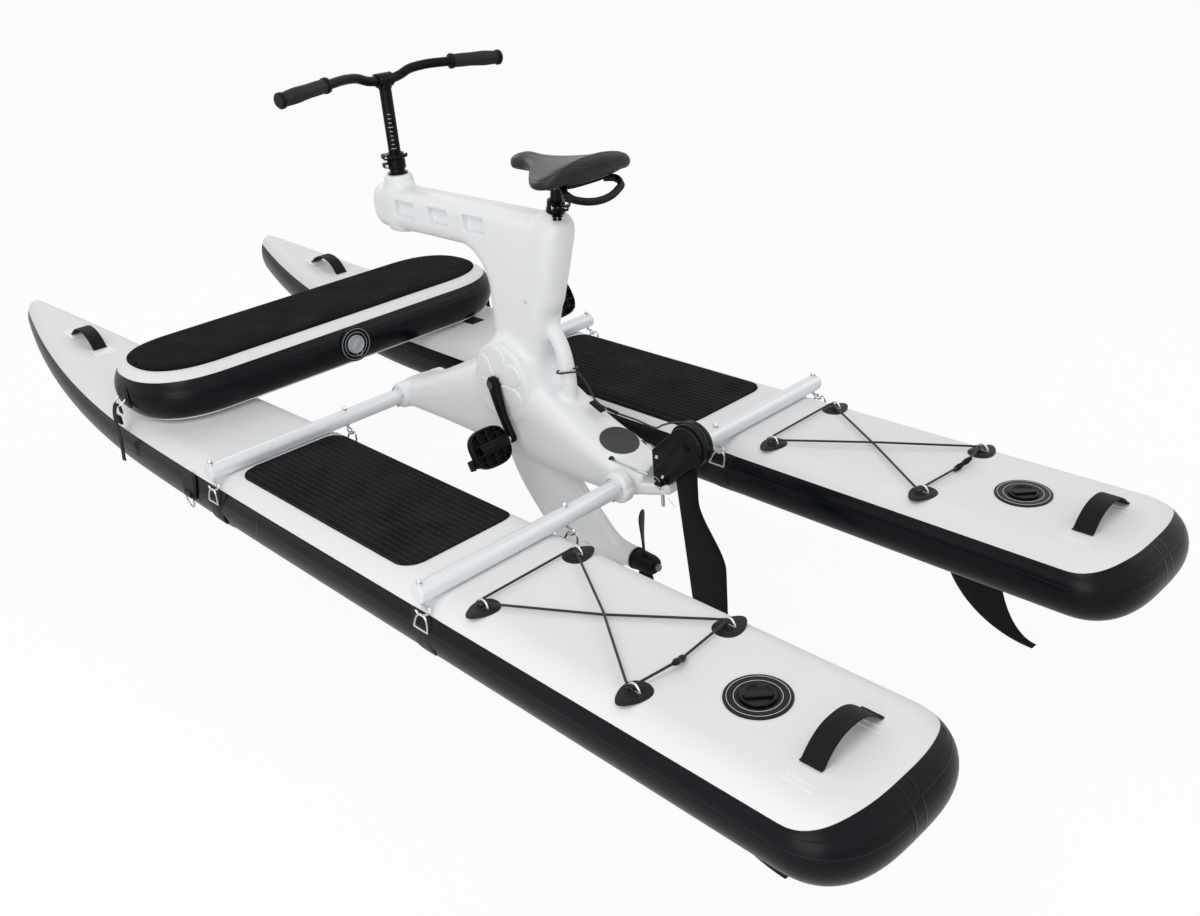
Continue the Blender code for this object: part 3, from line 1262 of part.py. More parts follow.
def make_leg(low_apex):
    """The leg moulding: strut, shaft tube, gear room and propeller boss."""
    leg = solid("drive_leg", *leg_shape(0.0, False), "white_shell")
    way = shaft_way()
    apex = np.array([0.0, CRANK_Y, CRANK_Z])
    tube_top = apex + way * 0.088
    reach = float(np.linalg.norm(low_apex - tube_top))
    add_to(leg, "shaft_tube", turned(tube_top, way, [(0, 0.013), (reach - 0.10, 0.015)], 16))
    nose = 0.060
    start = np.array([0.0, PROP_APEX_Y + nose, PROP_AXIS_Z])
    length = start[1] - PROP_HUB_Y
    add_to(leg, "bullet", turned(start, (0, -1, 0), [(0, 0.008), (0.010, 0.019), (0.028, 0.0265), (nose + 0.02, 0.0290), (length - 0.004, 0.0262), (length, 0.0255)], ROUND))
    cut_from(leg, "shaft_bore", turned(tube_top - way * 0.01, way, [(0, SHAFT_RADIUS + RUN), (reach + 0.01, SHAFT_RADIUS + RUN)], 14))
    cut_from(leg, "gear_pot", turned(low_apex + np.array([0.0, 0.0, -0.0185]), (0, 0, 1), [(0, 0.006), (0.0065, 0.0165), (0.0185, 0.0215), (0.0305, 0.0165), (0.037, 0.006)], 18))
    bore_end = PROP_HUB_Y - 0.01
    cut_from(leg, "prop_bore", turned(low_apex, (0, -1, 0), [(0, 0.005 + RUN), (low_apex[1] - bore_end, 0.005 + RUN)], 14))
    seal = [(-0.004, 0.0056), (-0.004, 0.0180), (0.001, 0.0180), (0.001, 0.0268), (0.005, 0.0268), (0.005, 0.0056)]
    cut_from(leg, "seal_seat", turned((0, PROP_HUB_Y + 0.005, PROP_AXIS_Z), (0, -1, 0), [(0, 0.0183), (0.02, 0.0183)], ROUND))
    solid("shaft_seal", *bored((0, PROP_HUB_Y - 0.0013, PROP_AXIS_Z), (0, -1, 0), seal, ROUND), "stainless")


def make_propeller():
    """Two-bladed propeller with a long tapered hub."""
    start = PROP_HUB_Y - 0.0073
    profile = [(0, PROP_HUB_RADIUS), (0.045, PROP_HUB_RADIUS - 0.002), (PROP_HUB_LENGTH - 0.014, 0.0195), (PROP_HUB_LENGTH - 0.012, 0.0185)]
    hub = solid("propeller", *turned((0, start, PROP_AXIS_Z), (0, -1, 0), profile), "black_plastic", (0.0, start, PROP_AXIS_Z))
    for number, side in enumerate((1.0, -1.0)):
        rings = []
        for t in np.linspace(0, 1, 6):
            radius = 0.016 + (PROP_RADIUS - 0.016) * t
            half = 0.0135 + 0.0085 * math.sin(math.pi * min(1.0, t * 1.15) / 2) - 0.006 * max(0.0, t - 0.8) / 0.2
            pitch = math.radians(48.0 - 26.0 * t)
            thick = 0.0036 * (1 - 0.6 * t)
            ring = []
            for a in np.linspace(0, 2 * math.pi, 9)[:-1]:
                u = half * math.cos(a)
                v = thick * math.sin(a)
                x = u * math.cos(pitch) - v * math.sin(pitch)
                y = u * math.sin(pitch) + v * math.cos(pitch)
                ring.append((side * x, start - 0.022 + y, PROP_AXIS_Z + side * radius))
            rings.append(ring)
        add_to(hub, "blade_%d" % number, loft(rings))
    bore = [(0, 0.005 + FIT), (PROP_HUB_LENGTH + 0.04, 0.005 + FIT)]
    cut_from(hub, "propeller_bore", turned((0, start + 0.01, PROP_AXIS_Z), (0, -1, 0), bore, 14))


def make_cranks():
    """Crank arms with their pedal spindles, and the strapped pedals."""
    lean = math.radians(CRANK_LEAN_DEG)
    down = np.array([0.0, -math.sin(lean), -math.cos(lean)])
    centre = np.array([0.0, CRANK_Y, CRANK_Z])
    for word, side in SIDES:
        way = down if side < 0 else -down
        across = np.cross(way, (1.0, 0.0, 0.0))
        rings = []
        for t in (-0.13, -0.09, 0.0, 0.25, 0.6, 1.0, 1.06, 1.09):
            ends = max(0.0, 1 - max(0.0, (-t) / 0.145, (t - 1.0) / 0.10) ** 2) ** 0.5
            half = (0.0185 - 0.0075 * min(1.0, max(0.0, t) * 1.6)) * max(0.30, ends)
            mid = centre + way * CRANK_LENGTH * t + np.array([side * (CRANK_ARM_X + 0.004 * math.sin(math.pi * min(1.0, max(0.0, t)))), 0.0, 0.0])
            u, v = super_ring(0.0085, half, 3.0, SMALL)
            rings.append([mid + np.array([a, 0.0, 0.0]) + across * b for a, b in zip(u, v)])
        arm = solid("crank_" + word, *loft(rings), "black_metal", tuple(centre))
        hole = turned((side * (CRANK_ARM_X - 0.03), CRANK_Y, CRANK_Z), (side, 0, 0), [(0, AXLE_RADIUS + RUN), (0.06, AXLE_RADIUS + RUN)], COVER_SIDES)
        cut_from(arm, "crank_hole_" + word, hole)
        axis_point = centre + way * CRANK_LENGTH
        spindle = turned(axis_point + np.array([side * CRANK_ARM_X, 0, 0]), (side, 0, 0), [(0, 0.0060), (0.012, 0.0060), (0.013, 0.0045), (0.0065 + PEDAL_LENGTH, 0.0045)], SMALL)
        add_to(arm, "spindle_" + word, spindle)
        make_pedal(word, side, axis_point)


def make_pedal(word, side, axis_point):
    """A ribbed pedal body with its toe strap, hanging strap down."""
    lean = math.radians(28.0)
    along = np.array([0.0, math.sin(lean), math.cos(lean)])
    sole = np.array([0.0, math.cos(lean), -math.sin(lean)])
    start = axis_point + np.array([side * (CRANK_ARM_X + 0.0145), 0.0, 0.0])

    def place(x, u, v):
        return start + np.array([side * x, 0.0, 0.0]) + along * u + sole * v

    def block(x0, x1, u0, u1, v0, v1):
        low = [place(x, u, v0) for x, u in ((x0, u0), (x1, u0), (x1, u1), (x0, u1))]
        high = [place(x, u, v1) for x, u in ((x0, u0), (x1, u0), (x1, u1), (x0, u1))]
        return loft([low, high])

    outline = []
    x, u = super_ring(PEDAL_LENGTH / 2, PEDAL_HALF, 4.0, 16)
    for v in (-0.006, 0.0105):
        outline.append([place(PEDAL_LENGTH / 2 + a, b, v) for a, b in zip(x, u)])
    pedal = solid("pedal_" + word, *loft(outline), "black_plastic", tuple(axis_point))
    for i in range(3):
        for j in range(2):
            x0 = 0.006 + i * 0.0320
            u0 = 0.0125 if j else -0.0125 - 0.026
            tool = block(x0, x0 + 0.0285, u0, u0 + 0.026, -0.02, 0.006)
            cut_from(pedal, "pedal_well_%s_%d%d" % (word, i, j), tool)
    add_to(pedal, "barrel_" + word, turned(start, (side, 0, 0), [(0, 0.0085), (PEDAL_LENGTH - 0.008, 0.0085), (PEDAL_LENGTH, 0.006)], SMALL))
    cut_from(pedal, "barrel_bore_" + word, turned(start - np.array([side * 0.02, 0, 0]), (side, 0, 0), [(0, 0.0045 + RUN), (PEDAL_LENGTH + 0.016, 0.0045 + RUN)], SMALL))
    rings = []
    for t in np.linspace(0, math.pi, 9):
        x = PEDAL_LENGTH * 0.52 - (PEDAL_LENGTH * 0.50) * math.cos(t)
        v = 0.0070 + 0.055 * math.sin(t) ** 0.7
        ring = []
        for grow, u in ((0.0, -0.012), (0.0, 0.012), (0.0022, 0.012), (0.0022, -0.012)):
            nx = -math.cos(t) * grow
            nv = math.sin(t) * grow
            ring.append(place(x + nx, u + TOE_STRAP_U, v + nv))
        rings.append(ring)
    add_to(pedal, "toe_strap_" + word, loft(rings))


# Seat


def make_seat():
    """Seat post, clamp with its lever, saddle with its pan and grab loop."""
    way = seat_axis()
    top = np.array([0.0, SEAT_Y, SEAT_Z])
    foot = top - way * (SEAT_POST_LENGTH * 0.66)
    post_top = top + way * SEAT_POST_SHOW
    length = float(np.linalg.norm(post_top - foot))
    post = solid("seat_post", *turned(foot, way, [(0, SEAT_POST_RADIUS - 0.001), (0.002, SEAT_POST_RADIUS), (length, SEAT_POST_RADIUS)]), "black_metal", tuple(top))
    head = np.asarray(post_top)
    add_to(post, "seat_head", box((-0.0165, head[1] - 0.020, head[2] - 0.014), (0.0165, head[1] + 0.020, head[2] + 0.0035)))
    clamp("seat", top + way * 0.001, way, SEAT_POST_RADIUS, 0.040, -0.6)
    make_saddle(head)


def clamp(name, base, way, radius, height, turn):
    """A split collar round a post, its lower bolt, and the lever that closes it."""
    way = np.asarray(way, float)
    lower = radius + CLAMP_WALL
    upper = lower - 0.0010
    profile = [(0, radius + FIT), (0, lower), (height * 0.58, lower), (height * 0.62, upper - 0.0015)]
    profile += [(height * 0.68, upper), (height, upper), (height, radius + FIT)]
    collar = solid(name + "_collar", *bored(base, way, profile), "black_metal", tuple(base))
    out = np.array([math.sin(turn), -math.cos(turn), 0.0])
    out = out - way * np.dot(out, way)
    out /= np.linalg.norm(out)
    side = np.cross(way, out)
    ear_in, ear_out = radius + 0.003, radius + 0.019
    for level, share in (("low", 0.28), ("high", 0.84)):
        mid = base + way * height * share
        flat = [mid + out * o + side * s for o, s in ear_corners(ear_in, ear_out)]
        ear = loft([[p - way * EAR_HALF_HEIGHT for p in flat], [p + way * EAR_HALF_HEIGHT for p in flat]])
        add_to(collar, "%s_ear_%s" % (name, level), ear)
        if level == "low":
            start = mid + out * (radius + EAR_BOLT_OUT) - side * 0.0135
            bolt = turned(start, side, [(0, 0.003), (0.001, 0.0045), (0.026, 0.0045), (0.027, 0.003)], 6)
            add_to(collar, name + "_bolt", bolt)
    gap = [base + out * o + side * s - way * 0.01 for o, s in ear_corners(0.0, ear_out + 0.01, 0.0012)]
    slot = loft([[p + way * height * 0.66 for p in gap], [p + way * (height + 0.03) for p in gap]])
    cut_from(collar, name + "_slot", slot)
    pivot = base + way * height * 0.84 + out * (radius + EAR_BOLT_OUT)
    cam = pivot + side * (EAR_HALF_WIDTH + FIT + CAM_RADIUS)
    rod_length = 0.0135 + EAR_HALF_WIDTH + FIT + CAM_RADIUS - 0.0030
    rod = [(0, 0.0045), (0.0035, 0.0045), (0.0036, 0.0022), (rod_length, 0.0018)]
    add_to(collar, name + "_rod", turned(pivot - side * 0.0135, side, rod, SMALL))
    add_to(collar, name + "_eye", turned(cam - way * 0.0018, way, [(0, 0.0044), (0.0036, 0.0044)], SMALL))
    eye_bore = CAM_PIN_RADIUS + RUN
    cut_from(collar, name + "_eye_bore", turned(cam - way * 0.01, way, [(0, eye_bore), (0.02, eye_bore)], SMALL))
    make_lever(name, cam, side, out, way, pivot - out * (radius + EAR_BOLT_OUT))


def ear_corners(near, far, half=None):
    """Plan of a clamp ear as (out, side) pairs."""
    half = EAR_HALF_WIDTH if half is None else half
    return ((near, -half), (far, -half), (far, half), (near, half))


def make_lever(name, cam, side, out, way, centre):
    """Quick-release lever: a forked cam on its pin and a handle that wraps the collar."""
    spool = [(-0.0058, CAM_RADIUS - 0.001), (-0.0048, CAM_RADIUS), (-0.0021, CAM_RADIUS), (-0.0021, CAM_PIN_RADIUS)]
    spool += [(-t, r) for t, r in reversed(spool)]
    lever = solid(name + "_lever", *turned(cam, way, spool, SMALL), "black_metal", tuple(cam))
    offset = cam - centre
    start_size = float(np.linalg.norm(offset))
    start = math.atan2(np.dot(offset, side), np.dot(offset, out)) + 0.0064 / start_size
    path = []
    for t in np.linspace(0.0, 1.0, 7):
        turn = start + t * LEVER_WRAP
        size = start_size * (1 - t) + (start_size - 0.0030) * t
        path.append(centre + out * size * math.cos(turn) + side * size * math.sin(turn))
    add_to(lever, name + "_lever_arm", swept(path, [0.0034, 0.0036, 0.0038, 0.0040, 0.0042, 0.0044, 0.0034], 6, 0.6, tuple(way)))


def saddle_half(y):
    """Half-width of the saddle at y."""
    u = (SADDLE_NOSE_Y - y) / (SADDLE_NOSE_Y - SADDLE_REAR_Y)
    spread = min(max((u - 0.22) / 0.60, 0.0), 1.0)
    half = SADDLE_NOSE_HALF + (SADDLE_HALF_WIDTH - SADDLE_NOSE_HALF) * spread**2 * (3 - 2 * spread)
    front = math.sqrt(max(0.0, 1 - (1 - min(1.0, u / 0.14)) ** 2))
    rear = math.sqrt(max(0.0, 1 - max(0.0, (u - 0.80) / 0.20) ** 2.4))
    return half * (0.30 + 0.70 * front) * (0.42 + 0.58 * rear)


def saddle_top(y):
    """Centre-line height of the saddle at y."""
    u = (SADDLE_NOSE_Y - y) / (SADDLE_NOSE_Y - SADDLE_REAR_Y)
    return SADDLE_TOP_Z - 0.012 - 0.012 * math.sin(math.pi * u) + 0.014 * u**2 - 0.016 * max(0.0, 1 - u / 0.16) ** 2


def make_saddle(head):
    """Padded saddle over a plastic pan with rails and a rear grab loop."""
    rings = []
    for u in (0.0, 0.03, 0.08, 0.16, 0.26, 0.38, 0.50, 0.62, 0.74, 0.84, 0.92, 0.97, 1.0):
        y = SADDLE_NOSE_Y + (SADDLE_REAR_Y - SADDLE_NOSE_Y) * u
        half = saddle_half(y)
        top = saddle_top(y)
        ends = 0.40 + 0.60 * min(1.0, u / 0.10, (1 - u) / 0.07)
        ring = []
        for a in (np.arange(16) + 0.5) * 2 * math.pi / 16:
            x = half * math.copysign(abs(math.cos(a)) ** 0.72, math.cos(a))
            lift = math.copysign(abs(math.sin(a)) ** 0.80, math.sin(a))
            high = top - 0.012 * (abs(x) / SADDLE_HALF_WIDTH) ** 1.6
            low = SADDLE_BASE_Z - 0.014 * max(0.0, (abs(x) - 0.078) / (SADDLE_HALF_WIDTH - 0.078))
            middle = (high + low) / 2
            ring.append((x, y, middle + (high - low) / 2 * ends * lift))
        rings.append(ring)
    solid("saddle", *loft(rings), "soft_black")
    low = float(head[2]) + 0.0042
    pan = []
    for y, half in ((0.262, 0.016), (0.225, 0.022), (0.18, 0.034), (0.14, 0.058), (0.112, 0.070)):
        u, v = super_ring(half, 0.006, 3.0, SMALL)
        pan.append([(a, y, SADDLE_BASE_Z - FIT - 0.006 + b) for a, b in zip(u, v)])
    base = solid("saddle_base", *loft(pan), "black_plastic")
    add_to(base, "rail_clamp", box((-0.022, head[1] - 0.016, low - 0.0005), (0.022, head[1] + 0.016, low + 0.010)))
    half = [(0.056, 0.120, low + 0.0050), (0.072, 0.100, low + 0.0020), (0.070, 0.084, low - 0.0065), (0.050, 0.0765, low - 0.0150)]
    loop = smooth([(-x, y, z) for x, y, z in half] + half[::-1], 16)
    add_to(base, "grab_loop", swept(loop, 0.0075, 8))


# Steering


def make_steering():
    """Steerer with its cable drum, clamp and lever, telescopic post, stem, bar and grips."""
    drum_low = 0.4445
    tube = [
        (0, 0.0305),
        (0.0065, 0.0305),
        (0.0085, 0.0265),
        (0.0125, 0.0265),
        (0.0145, 0.0305),
        (0.0205, 0.0305),
        (0.0210, STEER_TUBE_RADIUS),
        (HEAD_RING_Z - drum_low + 0.0005, STEER_TUBE_RADIUS),
        (HEAD_RING_Z - drum_low + 0.0008, STEER_TUBE_RADIUS + 0.006),
        (HEAD_RING_Z - drum_low + 0.0040, STEER_TUBE_RADIUS + 0.006),
        (HEAD_RING_Z - drum_low + 0.0045, STEER_TUBE_RADIUS),
        (HEAD_RING_Z - drum_low + 0.012, STEER_TUBE_RADIUS),
        (HEAD_RING_Z - drum_low + 0.012, STEER_POST_RADIUS + FIT),
        (0.012, STEER_POST_RADIUS + FIT),
        (0.012, 0.006),
        (0, 0.006),
    ]
    base = (0.0, STEER_Y, drum_low)
    solid("steerer", *bored(base, (0, 0, 1), tube), "black_metal", (0.0, STEER_Y, HEAD_RING_Z))
    collar_z = HEAD_RING_Z + 0.0125
    clamp("steering", np.array([0.0, STEER_Y, collar_z]), (0, 0, 1), STEER_POST_RADIUS, 0.038, -1.9)
    start = HEAD_RING_Z - 0.095
    post = turned((0, STEER_Y, start), (0, 0, 1), [(0, STEER_POST_RADIUS - 0.001), (0.002, STEER_POST_RADIUS), (STEM_Z - start - 0.0205, STEER_POST_RADIUS)])
    solid("steering_post", *post, "black_metal", (0.0, STEER_Y, HEAD_RING_Z))
    make_handlebar()


def bar_route():
    """Route points of the handlebar, port grip to starboard grip."""
    half = [
        (HANDLEBAR_HALF, -0.054, 0.008),
        (0.240, -0.044, 0.014),
        (0.166, -0.030, 0.018),
        (0.110, -0.014, 0.019),
        (0.072, -0.003, 0.014),
        (0.045, 0.0, 0.004),
        (0.022, 0.0, 0.0),
    ]
    spots = [(-x, y, z) for x, y, z in half] + [(x, y, z) for x, y, z in reversed(half)]
    return np.array([(x, STEER_Y + y, STEM_Z + z) for x, y, z in spots])


def make_handlebar():
    """Handlebar, the stem clamp that holds it and the two grips."""
    path = smooth(bar_route(), BAR_STEPS)
    solid("handlebar", *swept(path, HANDLEBAR_RADIUS, BAR_SIDES, 1.0, (0, 0, 1)), "black_metal", (0.0, STEER_Y, STEM_Z))
    low = STEM_Z - 0.0202
    stem = turned((0, STEER_Y, low), (0, 0, 1), [(0, STEER_POST_RADIUS), (0.004, STEER_POST_RADIUS + 0.002), (0.015, STEER_POST_RADIUS + 0.002)])
    body = solid("stem_clamp", *stem, "black_metal", (0.0, STEER_Y, STEM_Z))
    add_to(body, "stem_block", turned((-0.021, STEER_Y, STEM_Z), (1, 0, 0), [(0, 0.0155), (0.001, 0.0165), (0.041, 0.0165), (0.042, 0.0155)], 20))
    add_to(body, "stem_cap", box((-0.016, STEER_Y + 0.010, STEM_Z - 0.014), (0.016, STEER_Y + 0.0225, STEM_Z + 0.014)))
    inner = swept(path, HANDLEBAR_RADIUS + FIT, BAR_SIDES, 1.0, (0, 0, 1))
    cut_from(body, "stem_bore", inner)
    run = np.concatenate([[0], np.cumsum(np.linalg.norm(np.diff(path, axis=0), axis=1))])
    for word, side in SIDES:
        at = np.linspace(-0.004, GRIP_LENGTH, 7)
        spots = np.stack([np.interp(at, run, path[:, i]) for i in range(3)], axis=1)
        tip = (path[0] - path[1]) / np.linalg.norm(path[0] - path[1])
        spots[0] = path[0] + tip * 0.004
        spots = spots * np.array([-side, 1.0, 1.0])
        radii = [GRIP_RADIUS - 0.0015, *[GRIP_RADIUS] * 5, GRIP_RADIUS + 0.002]
        grip = solid("grip_" + word, *swept(spots, radii, BAR_SIDES, 1.0, (0, 0, 1)), "rubber")
        cut_from(grip, "grip_bore_" + word, swept(lengthened(path), HANDLEBAR_RADIUS + FIT, BAR_SIDES, 1.0, (0, 0, 1)))


def lengthened(path):
    """A path made longer by the fit at both ends."""
    first = (path[0] - path[1]) / np.linalg.norm(path[0] - path[1]) * FIT
    last = (path[-1] - path[-2]) / np.linalg.norm(path[-1] - path[-2]) * FIT
    return np.array([path[0] + first, *path[1:-1], path[-1] + last])


# Rudder


def make_rudder():
    """Steered head, kick-up blade with its pulley, yaw pin, cables and lift cord."""
    pivot = np.array([0.0, RUDDER_PIVOT_Y, RUDDER_PIVOT_Z])
    outline = [(-0.044, 0.0045), (-0.044, 0.078)]
    for turn in np.radians(np.linspace(42, 232, 9)):
        outline.append((pivot[1] + 0.043 * math.cos(turn), pivot[2] + 0.043 * math.sin(turn)))
    outline.append((-0.088, 0.0045))
    head_pin = (0.0, RUDDER_PIN_Y, 0.02)
    half = CHEEK_GAP + CHEEK_THICK
    plates = loft([[(-half, y, z) for y, z in outline], [(half, y, z) for y, z in outline]])
    head = solid("rudder_head", *plates, "black_plastic", head_pin)
    wheel = turned((-CHEEK_GAP, pivot[1], pivot[2]), (1, 0, 0), [(0, PULLEY_RADIUS + 0.022), (2 * CHEEK_GAP, PULLEY_RADIUS + 0.022)], 20)
    cut_from(head, "pulley_room", wheel)
    slot = RUDDER_THICK / 2 + 0.0015
    cut_from(head, "blade_slot", box((-slot, -0.26, -0.03), (slot, -0.0905, RUDDER_PIVOT_Z)))
    cut_from(head, "pulley_pin_bore", turned((-0.05, pivot[1], pivot[2]), (1, 0, 0), [(0, 0.0063), (0.10, 0.0063)], SMALL))
    for word, side in SIDES:
        ear = mirrored([[0.015, -0.060, 0.0045], [0.036, -0.064, 0.0045], [0.036, -0.080, 0.0045], [0.015, -0.088, 0.0045]], side)
        add_to(head, "ear_" + word, loft([ear, ear + np.array([0.0, 0.0, 0.008])]))
        cut_from(head, "ear_hole_" + word, turned((side * 0.0295, -0.0715, -0.01), (0, 0, 1), [(0, 0.0026), (0.04, 0.0026)], 8))
    cut_from(head, "head_pin_bore", turned((0, RUDDER_PIN_Y, -0.01), (0, 0, 1), [(0, turning_bore(RUDDER_PIN_RADIUS, SMALL)), (0.0345, turning_bore(RUDDER_PIN_RADIUS, SMALL))], SMALL))
    pin = [(0, 0.0030), (0.001, 0.0042), (0.004, 0.0042), (0.0041, 0.0030), (0.0061, 0.0030), (0.0062, RUDDER_PIN_RADIUS), (0.090, RUDDER_PIN_RADIUS)]
    solid("rudder_pin", *turned((0, RUDDER_PIN_Y, -0.067), (0, 0, 1), pin, SMALL), "stainless", head_pin)
    make_blade(pivot)
    make_cables()


def make_blade(pivot):
    """Rudder blade with the lifting pulley moulded on its top."""
    x0 = CHEEK_GAP - RUN
    groove = [(0, PULLEY_RADIUS), (x0 - 0.0045, PULLEY_RADIUS), (x0 - 0.003, PULLEY_RADIUS - 0.006), (x0 + 0.003, PULLEY_RADIUS - 0.006), (x0 + 0.0045, PULLEY_RADIUS), (2 * x0, PULLEY_RADIUS)]
    blade = solid("rudder_blade", *turned((-x0, pivot[1], pivot[2]), (1, 0, 0), groove, 20), "black_plastic", tuple(pivot))
    rings = []
    for t in np.linspace(0, 1, 10):
        z = 0.085 + (RUDDER_TIP_Z - 0.085) * t
        front = -0.0935 - 0.055 * max(0.0, t - 0.15) - 0.05 * max(0.0, t - 0.86) / 0.14
        swell = min(max((t - 0.20) / 0.30, 0.0), 1.0)
        rear = -0.155 - 0.072 * swell**2 * (3 - 2 * swell) + 0.030 * max(0.0, t - 0.80) / 0.20
        thick = RUDDER_THICK / 2 * (1 - 0.35 * t)
        ring = []
        for a in (np.arange(10) + 0.5) * 2 * math.pi / 10:
            share = (1 - math.cos(a)) / 2
            ring.append((thick * math.copysign(abs(math.sin(a)) ** 0.8, math.sin(a)), front + (rear - front) * share, z))
        rings.append(ring)
    add_to(blade, "blade_foil", loft(rings))
    blade_bore = turning_bore(RUDDER_BOLT_RADIUS, SMALL)
    cut_from(blade, "blade_bore", turned((-0.05, pivot[1], pivot[2]), (1, 0, 0), [(0, blade_bore), (0.10, blade_bore)], SMALL))
    axle = [(0, 0.0095), (0.0030, 0.0095), (0.0031, 0.0060), (2 * (CHEEK_GAP + CHEEK_THICK) + 0.0033, 0.0060), (2 * (CHEEK_GAP + CHEEK_THICK) + 0.0034, 0.0095), (2 * (CHEEK_GAP + CHEEK_THICK) + 0.0064, 0.0095)]
    half = CHEEK_GAP + CHEEK_THICK + 0.0032
    solid("rudder_bolt", *turned((-half, pivot[1], pivot[2]), (1, 0, 0), axle, SMALL), "stainless", tuple(pivot))


def cable_route():
    """Route of the steering cable: ear, across inside the beam, round the drum and back."""
    aft = [
        (0.0295, -0.0717, 0.0000),
        (0.0295, -0.0717, 0.0140),
        (0.0303, -0.0672, 0.0195),
        (0.0350, -0.0400, 0.0235),
        (0.0505, 0.0500, 0.0390),
        (0.0400, 0.0700, 0.0325),
        (0.0285, 0.0900, 0.0262),
        (0.0290, 0.1500, 0.0400),
        (0.0310, 0.2200, 0.0800),
        (0.0300, 0.2850, 0.1300),
        (0.0280, 0.3350, 0.1900),
        (0.0200, 0.3550, 0.2600),
        (0.0130, 0.3750, 0.3500),
        (0.0115, 0.3950, 0.4200),
        (0.0110, 0.4300, 0.4540),
    ]
    fore = [
        (-0.0105, 0.6400, 0.4550),
        (-0.0115, 0.7000, 0.4550),
        (-0.0230, STEER_Y - 0.0250, 0.4550),
        (-0.0288, STEER_Y - 0.0050, 0.4550),
        (-0.0260, STEER_Y + 0.0135, 0.4550),
        (-0.0150, STEER_Y + 0.0250, 0.4550),
        (-0.0050, STEER_Y + 0.0288, 0.4550),
    ]
    out = [(-x, y, z) for x, y, z in aft] + [(0.0, 0.54, 0.4600)] + [(-x, y, z) for x, y, z in fore]
    back = [*reversed(fore), (0.0, 0.54, 0.4510), *reversed(aft)]
    return out + back


def lift_route():
    """Route of the lift cord, from its loop on the grab handle to the blade's pulley."""
    return [
        (0.0000, 0.2055, 0.1990),
        (0.0165, 0.2115, 0.1955),
        (0.0235, 0.2285, 0.1900),
        (0.0165, 0.2455, 0.1862),
        (0.0000, 0.2525, 0.1850),
        (-0.0165, 0.2455, 0.1862),
        (-0.0235, 0.2285, 0.1900),
        (-0.0165, 0.2090, 0.1940),
        (0.0000, 0.1985, 0.1920),
        (0.0150, 0.1850, 0.1650),
        (0.0200, 0.1600, 0.1230),
        (0.0300, 0.1200, 0.1060),
        (0.0480, 0.0700, 0.0930),
        (0.0400, 0.0000, 0.0950),
        (0.0150, -0.0500, 0.1250),
        (0.0000, -0.1000, 0.1500),
        (0.0000, RUDDER_PIVOT_Y, RUDDER_PIVOT_Z + 0.0475),
        (0.0000, RUDDER_PIVOT_Y - 0.0338, RUDDER_PIVOT_Z + 0.0338),
        (0.0000, RUDDER_PIVOT_Y - 0.0475, RUDDER_PIVOT_Z),
    ]


def make_cables():
    """The steering cable and the rudder lift cord."""
    cord("steering_cable", cable_route(), CABLE_RADIUS, CABLE_STEPS, "stainless")
    cord("lift_cord", lift_route(), LIFT_RADIUS, 34)


def main():
    """Build every piece of the craft."""
    make_pontoons()
    make_pads()
    make_handles()
    make_fins()
    make_bungees()
    make_bars()
    make_hooks()
    make_bench()
    make_body()
    make_covers()
    make_hatch()
    make_drive()
    make_cranks()
    make_seat()
    make_steering()
    make_rudder()


main()
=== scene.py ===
"""Looks of an inflatable pedal water bike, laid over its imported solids.

Sizes are in metres. Classes state their places in the craft frame, whose origin is the middle of
the rear cross bar, with +X to starboard, +Y to the bow and +Z up.
"""

from __future__ import annotations

import json
import logging
import math
from dataclasses import dataclass, field
from enum import Enum
from typing import Callable, Optional, Sequence, Union

import bmesh
import bpy
import numpy as np
from mathutils import Matrix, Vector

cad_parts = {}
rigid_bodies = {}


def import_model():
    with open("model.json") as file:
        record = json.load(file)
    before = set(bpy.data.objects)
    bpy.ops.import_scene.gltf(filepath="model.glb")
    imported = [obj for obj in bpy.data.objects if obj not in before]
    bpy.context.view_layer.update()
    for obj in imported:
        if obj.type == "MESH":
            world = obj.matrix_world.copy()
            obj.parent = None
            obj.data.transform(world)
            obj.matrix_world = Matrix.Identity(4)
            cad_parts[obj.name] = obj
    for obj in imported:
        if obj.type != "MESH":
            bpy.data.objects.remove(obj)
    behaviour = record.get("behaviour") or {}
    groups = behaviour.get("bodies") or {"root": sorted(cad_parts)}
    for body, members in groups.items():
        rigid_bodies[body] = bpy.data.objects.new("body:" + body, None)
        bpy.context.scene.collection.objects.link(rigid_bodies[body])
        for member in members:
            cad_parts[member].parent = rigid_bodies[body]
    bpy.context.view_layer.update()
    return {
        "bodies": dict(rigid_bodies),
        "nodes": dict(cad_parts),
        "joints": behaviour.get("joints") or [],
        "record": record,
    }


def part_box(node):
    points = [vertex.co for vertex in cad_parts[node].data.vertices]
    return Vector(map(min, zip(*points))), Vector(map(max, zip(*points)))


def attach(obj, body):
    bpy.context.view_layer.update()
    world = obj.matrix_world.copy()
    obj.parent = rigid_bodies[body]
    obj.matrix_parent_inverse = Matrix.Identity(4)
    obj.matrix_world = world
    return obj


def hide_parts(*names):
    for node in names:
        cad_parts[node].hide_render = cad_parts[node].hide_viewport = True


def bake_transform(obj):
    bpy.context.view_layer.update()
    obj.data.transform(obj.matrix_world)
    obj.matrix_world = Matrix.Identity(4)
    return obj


LOG = logging.getLogger("water_bike")
Array = np.ndarray
UP = np.array([0.0, 0.0, 1.0])
ACROSS = np.array([1.0, 0.0, 0.0])
AHEAD = np.array([0.0, 1.0, 0.0])


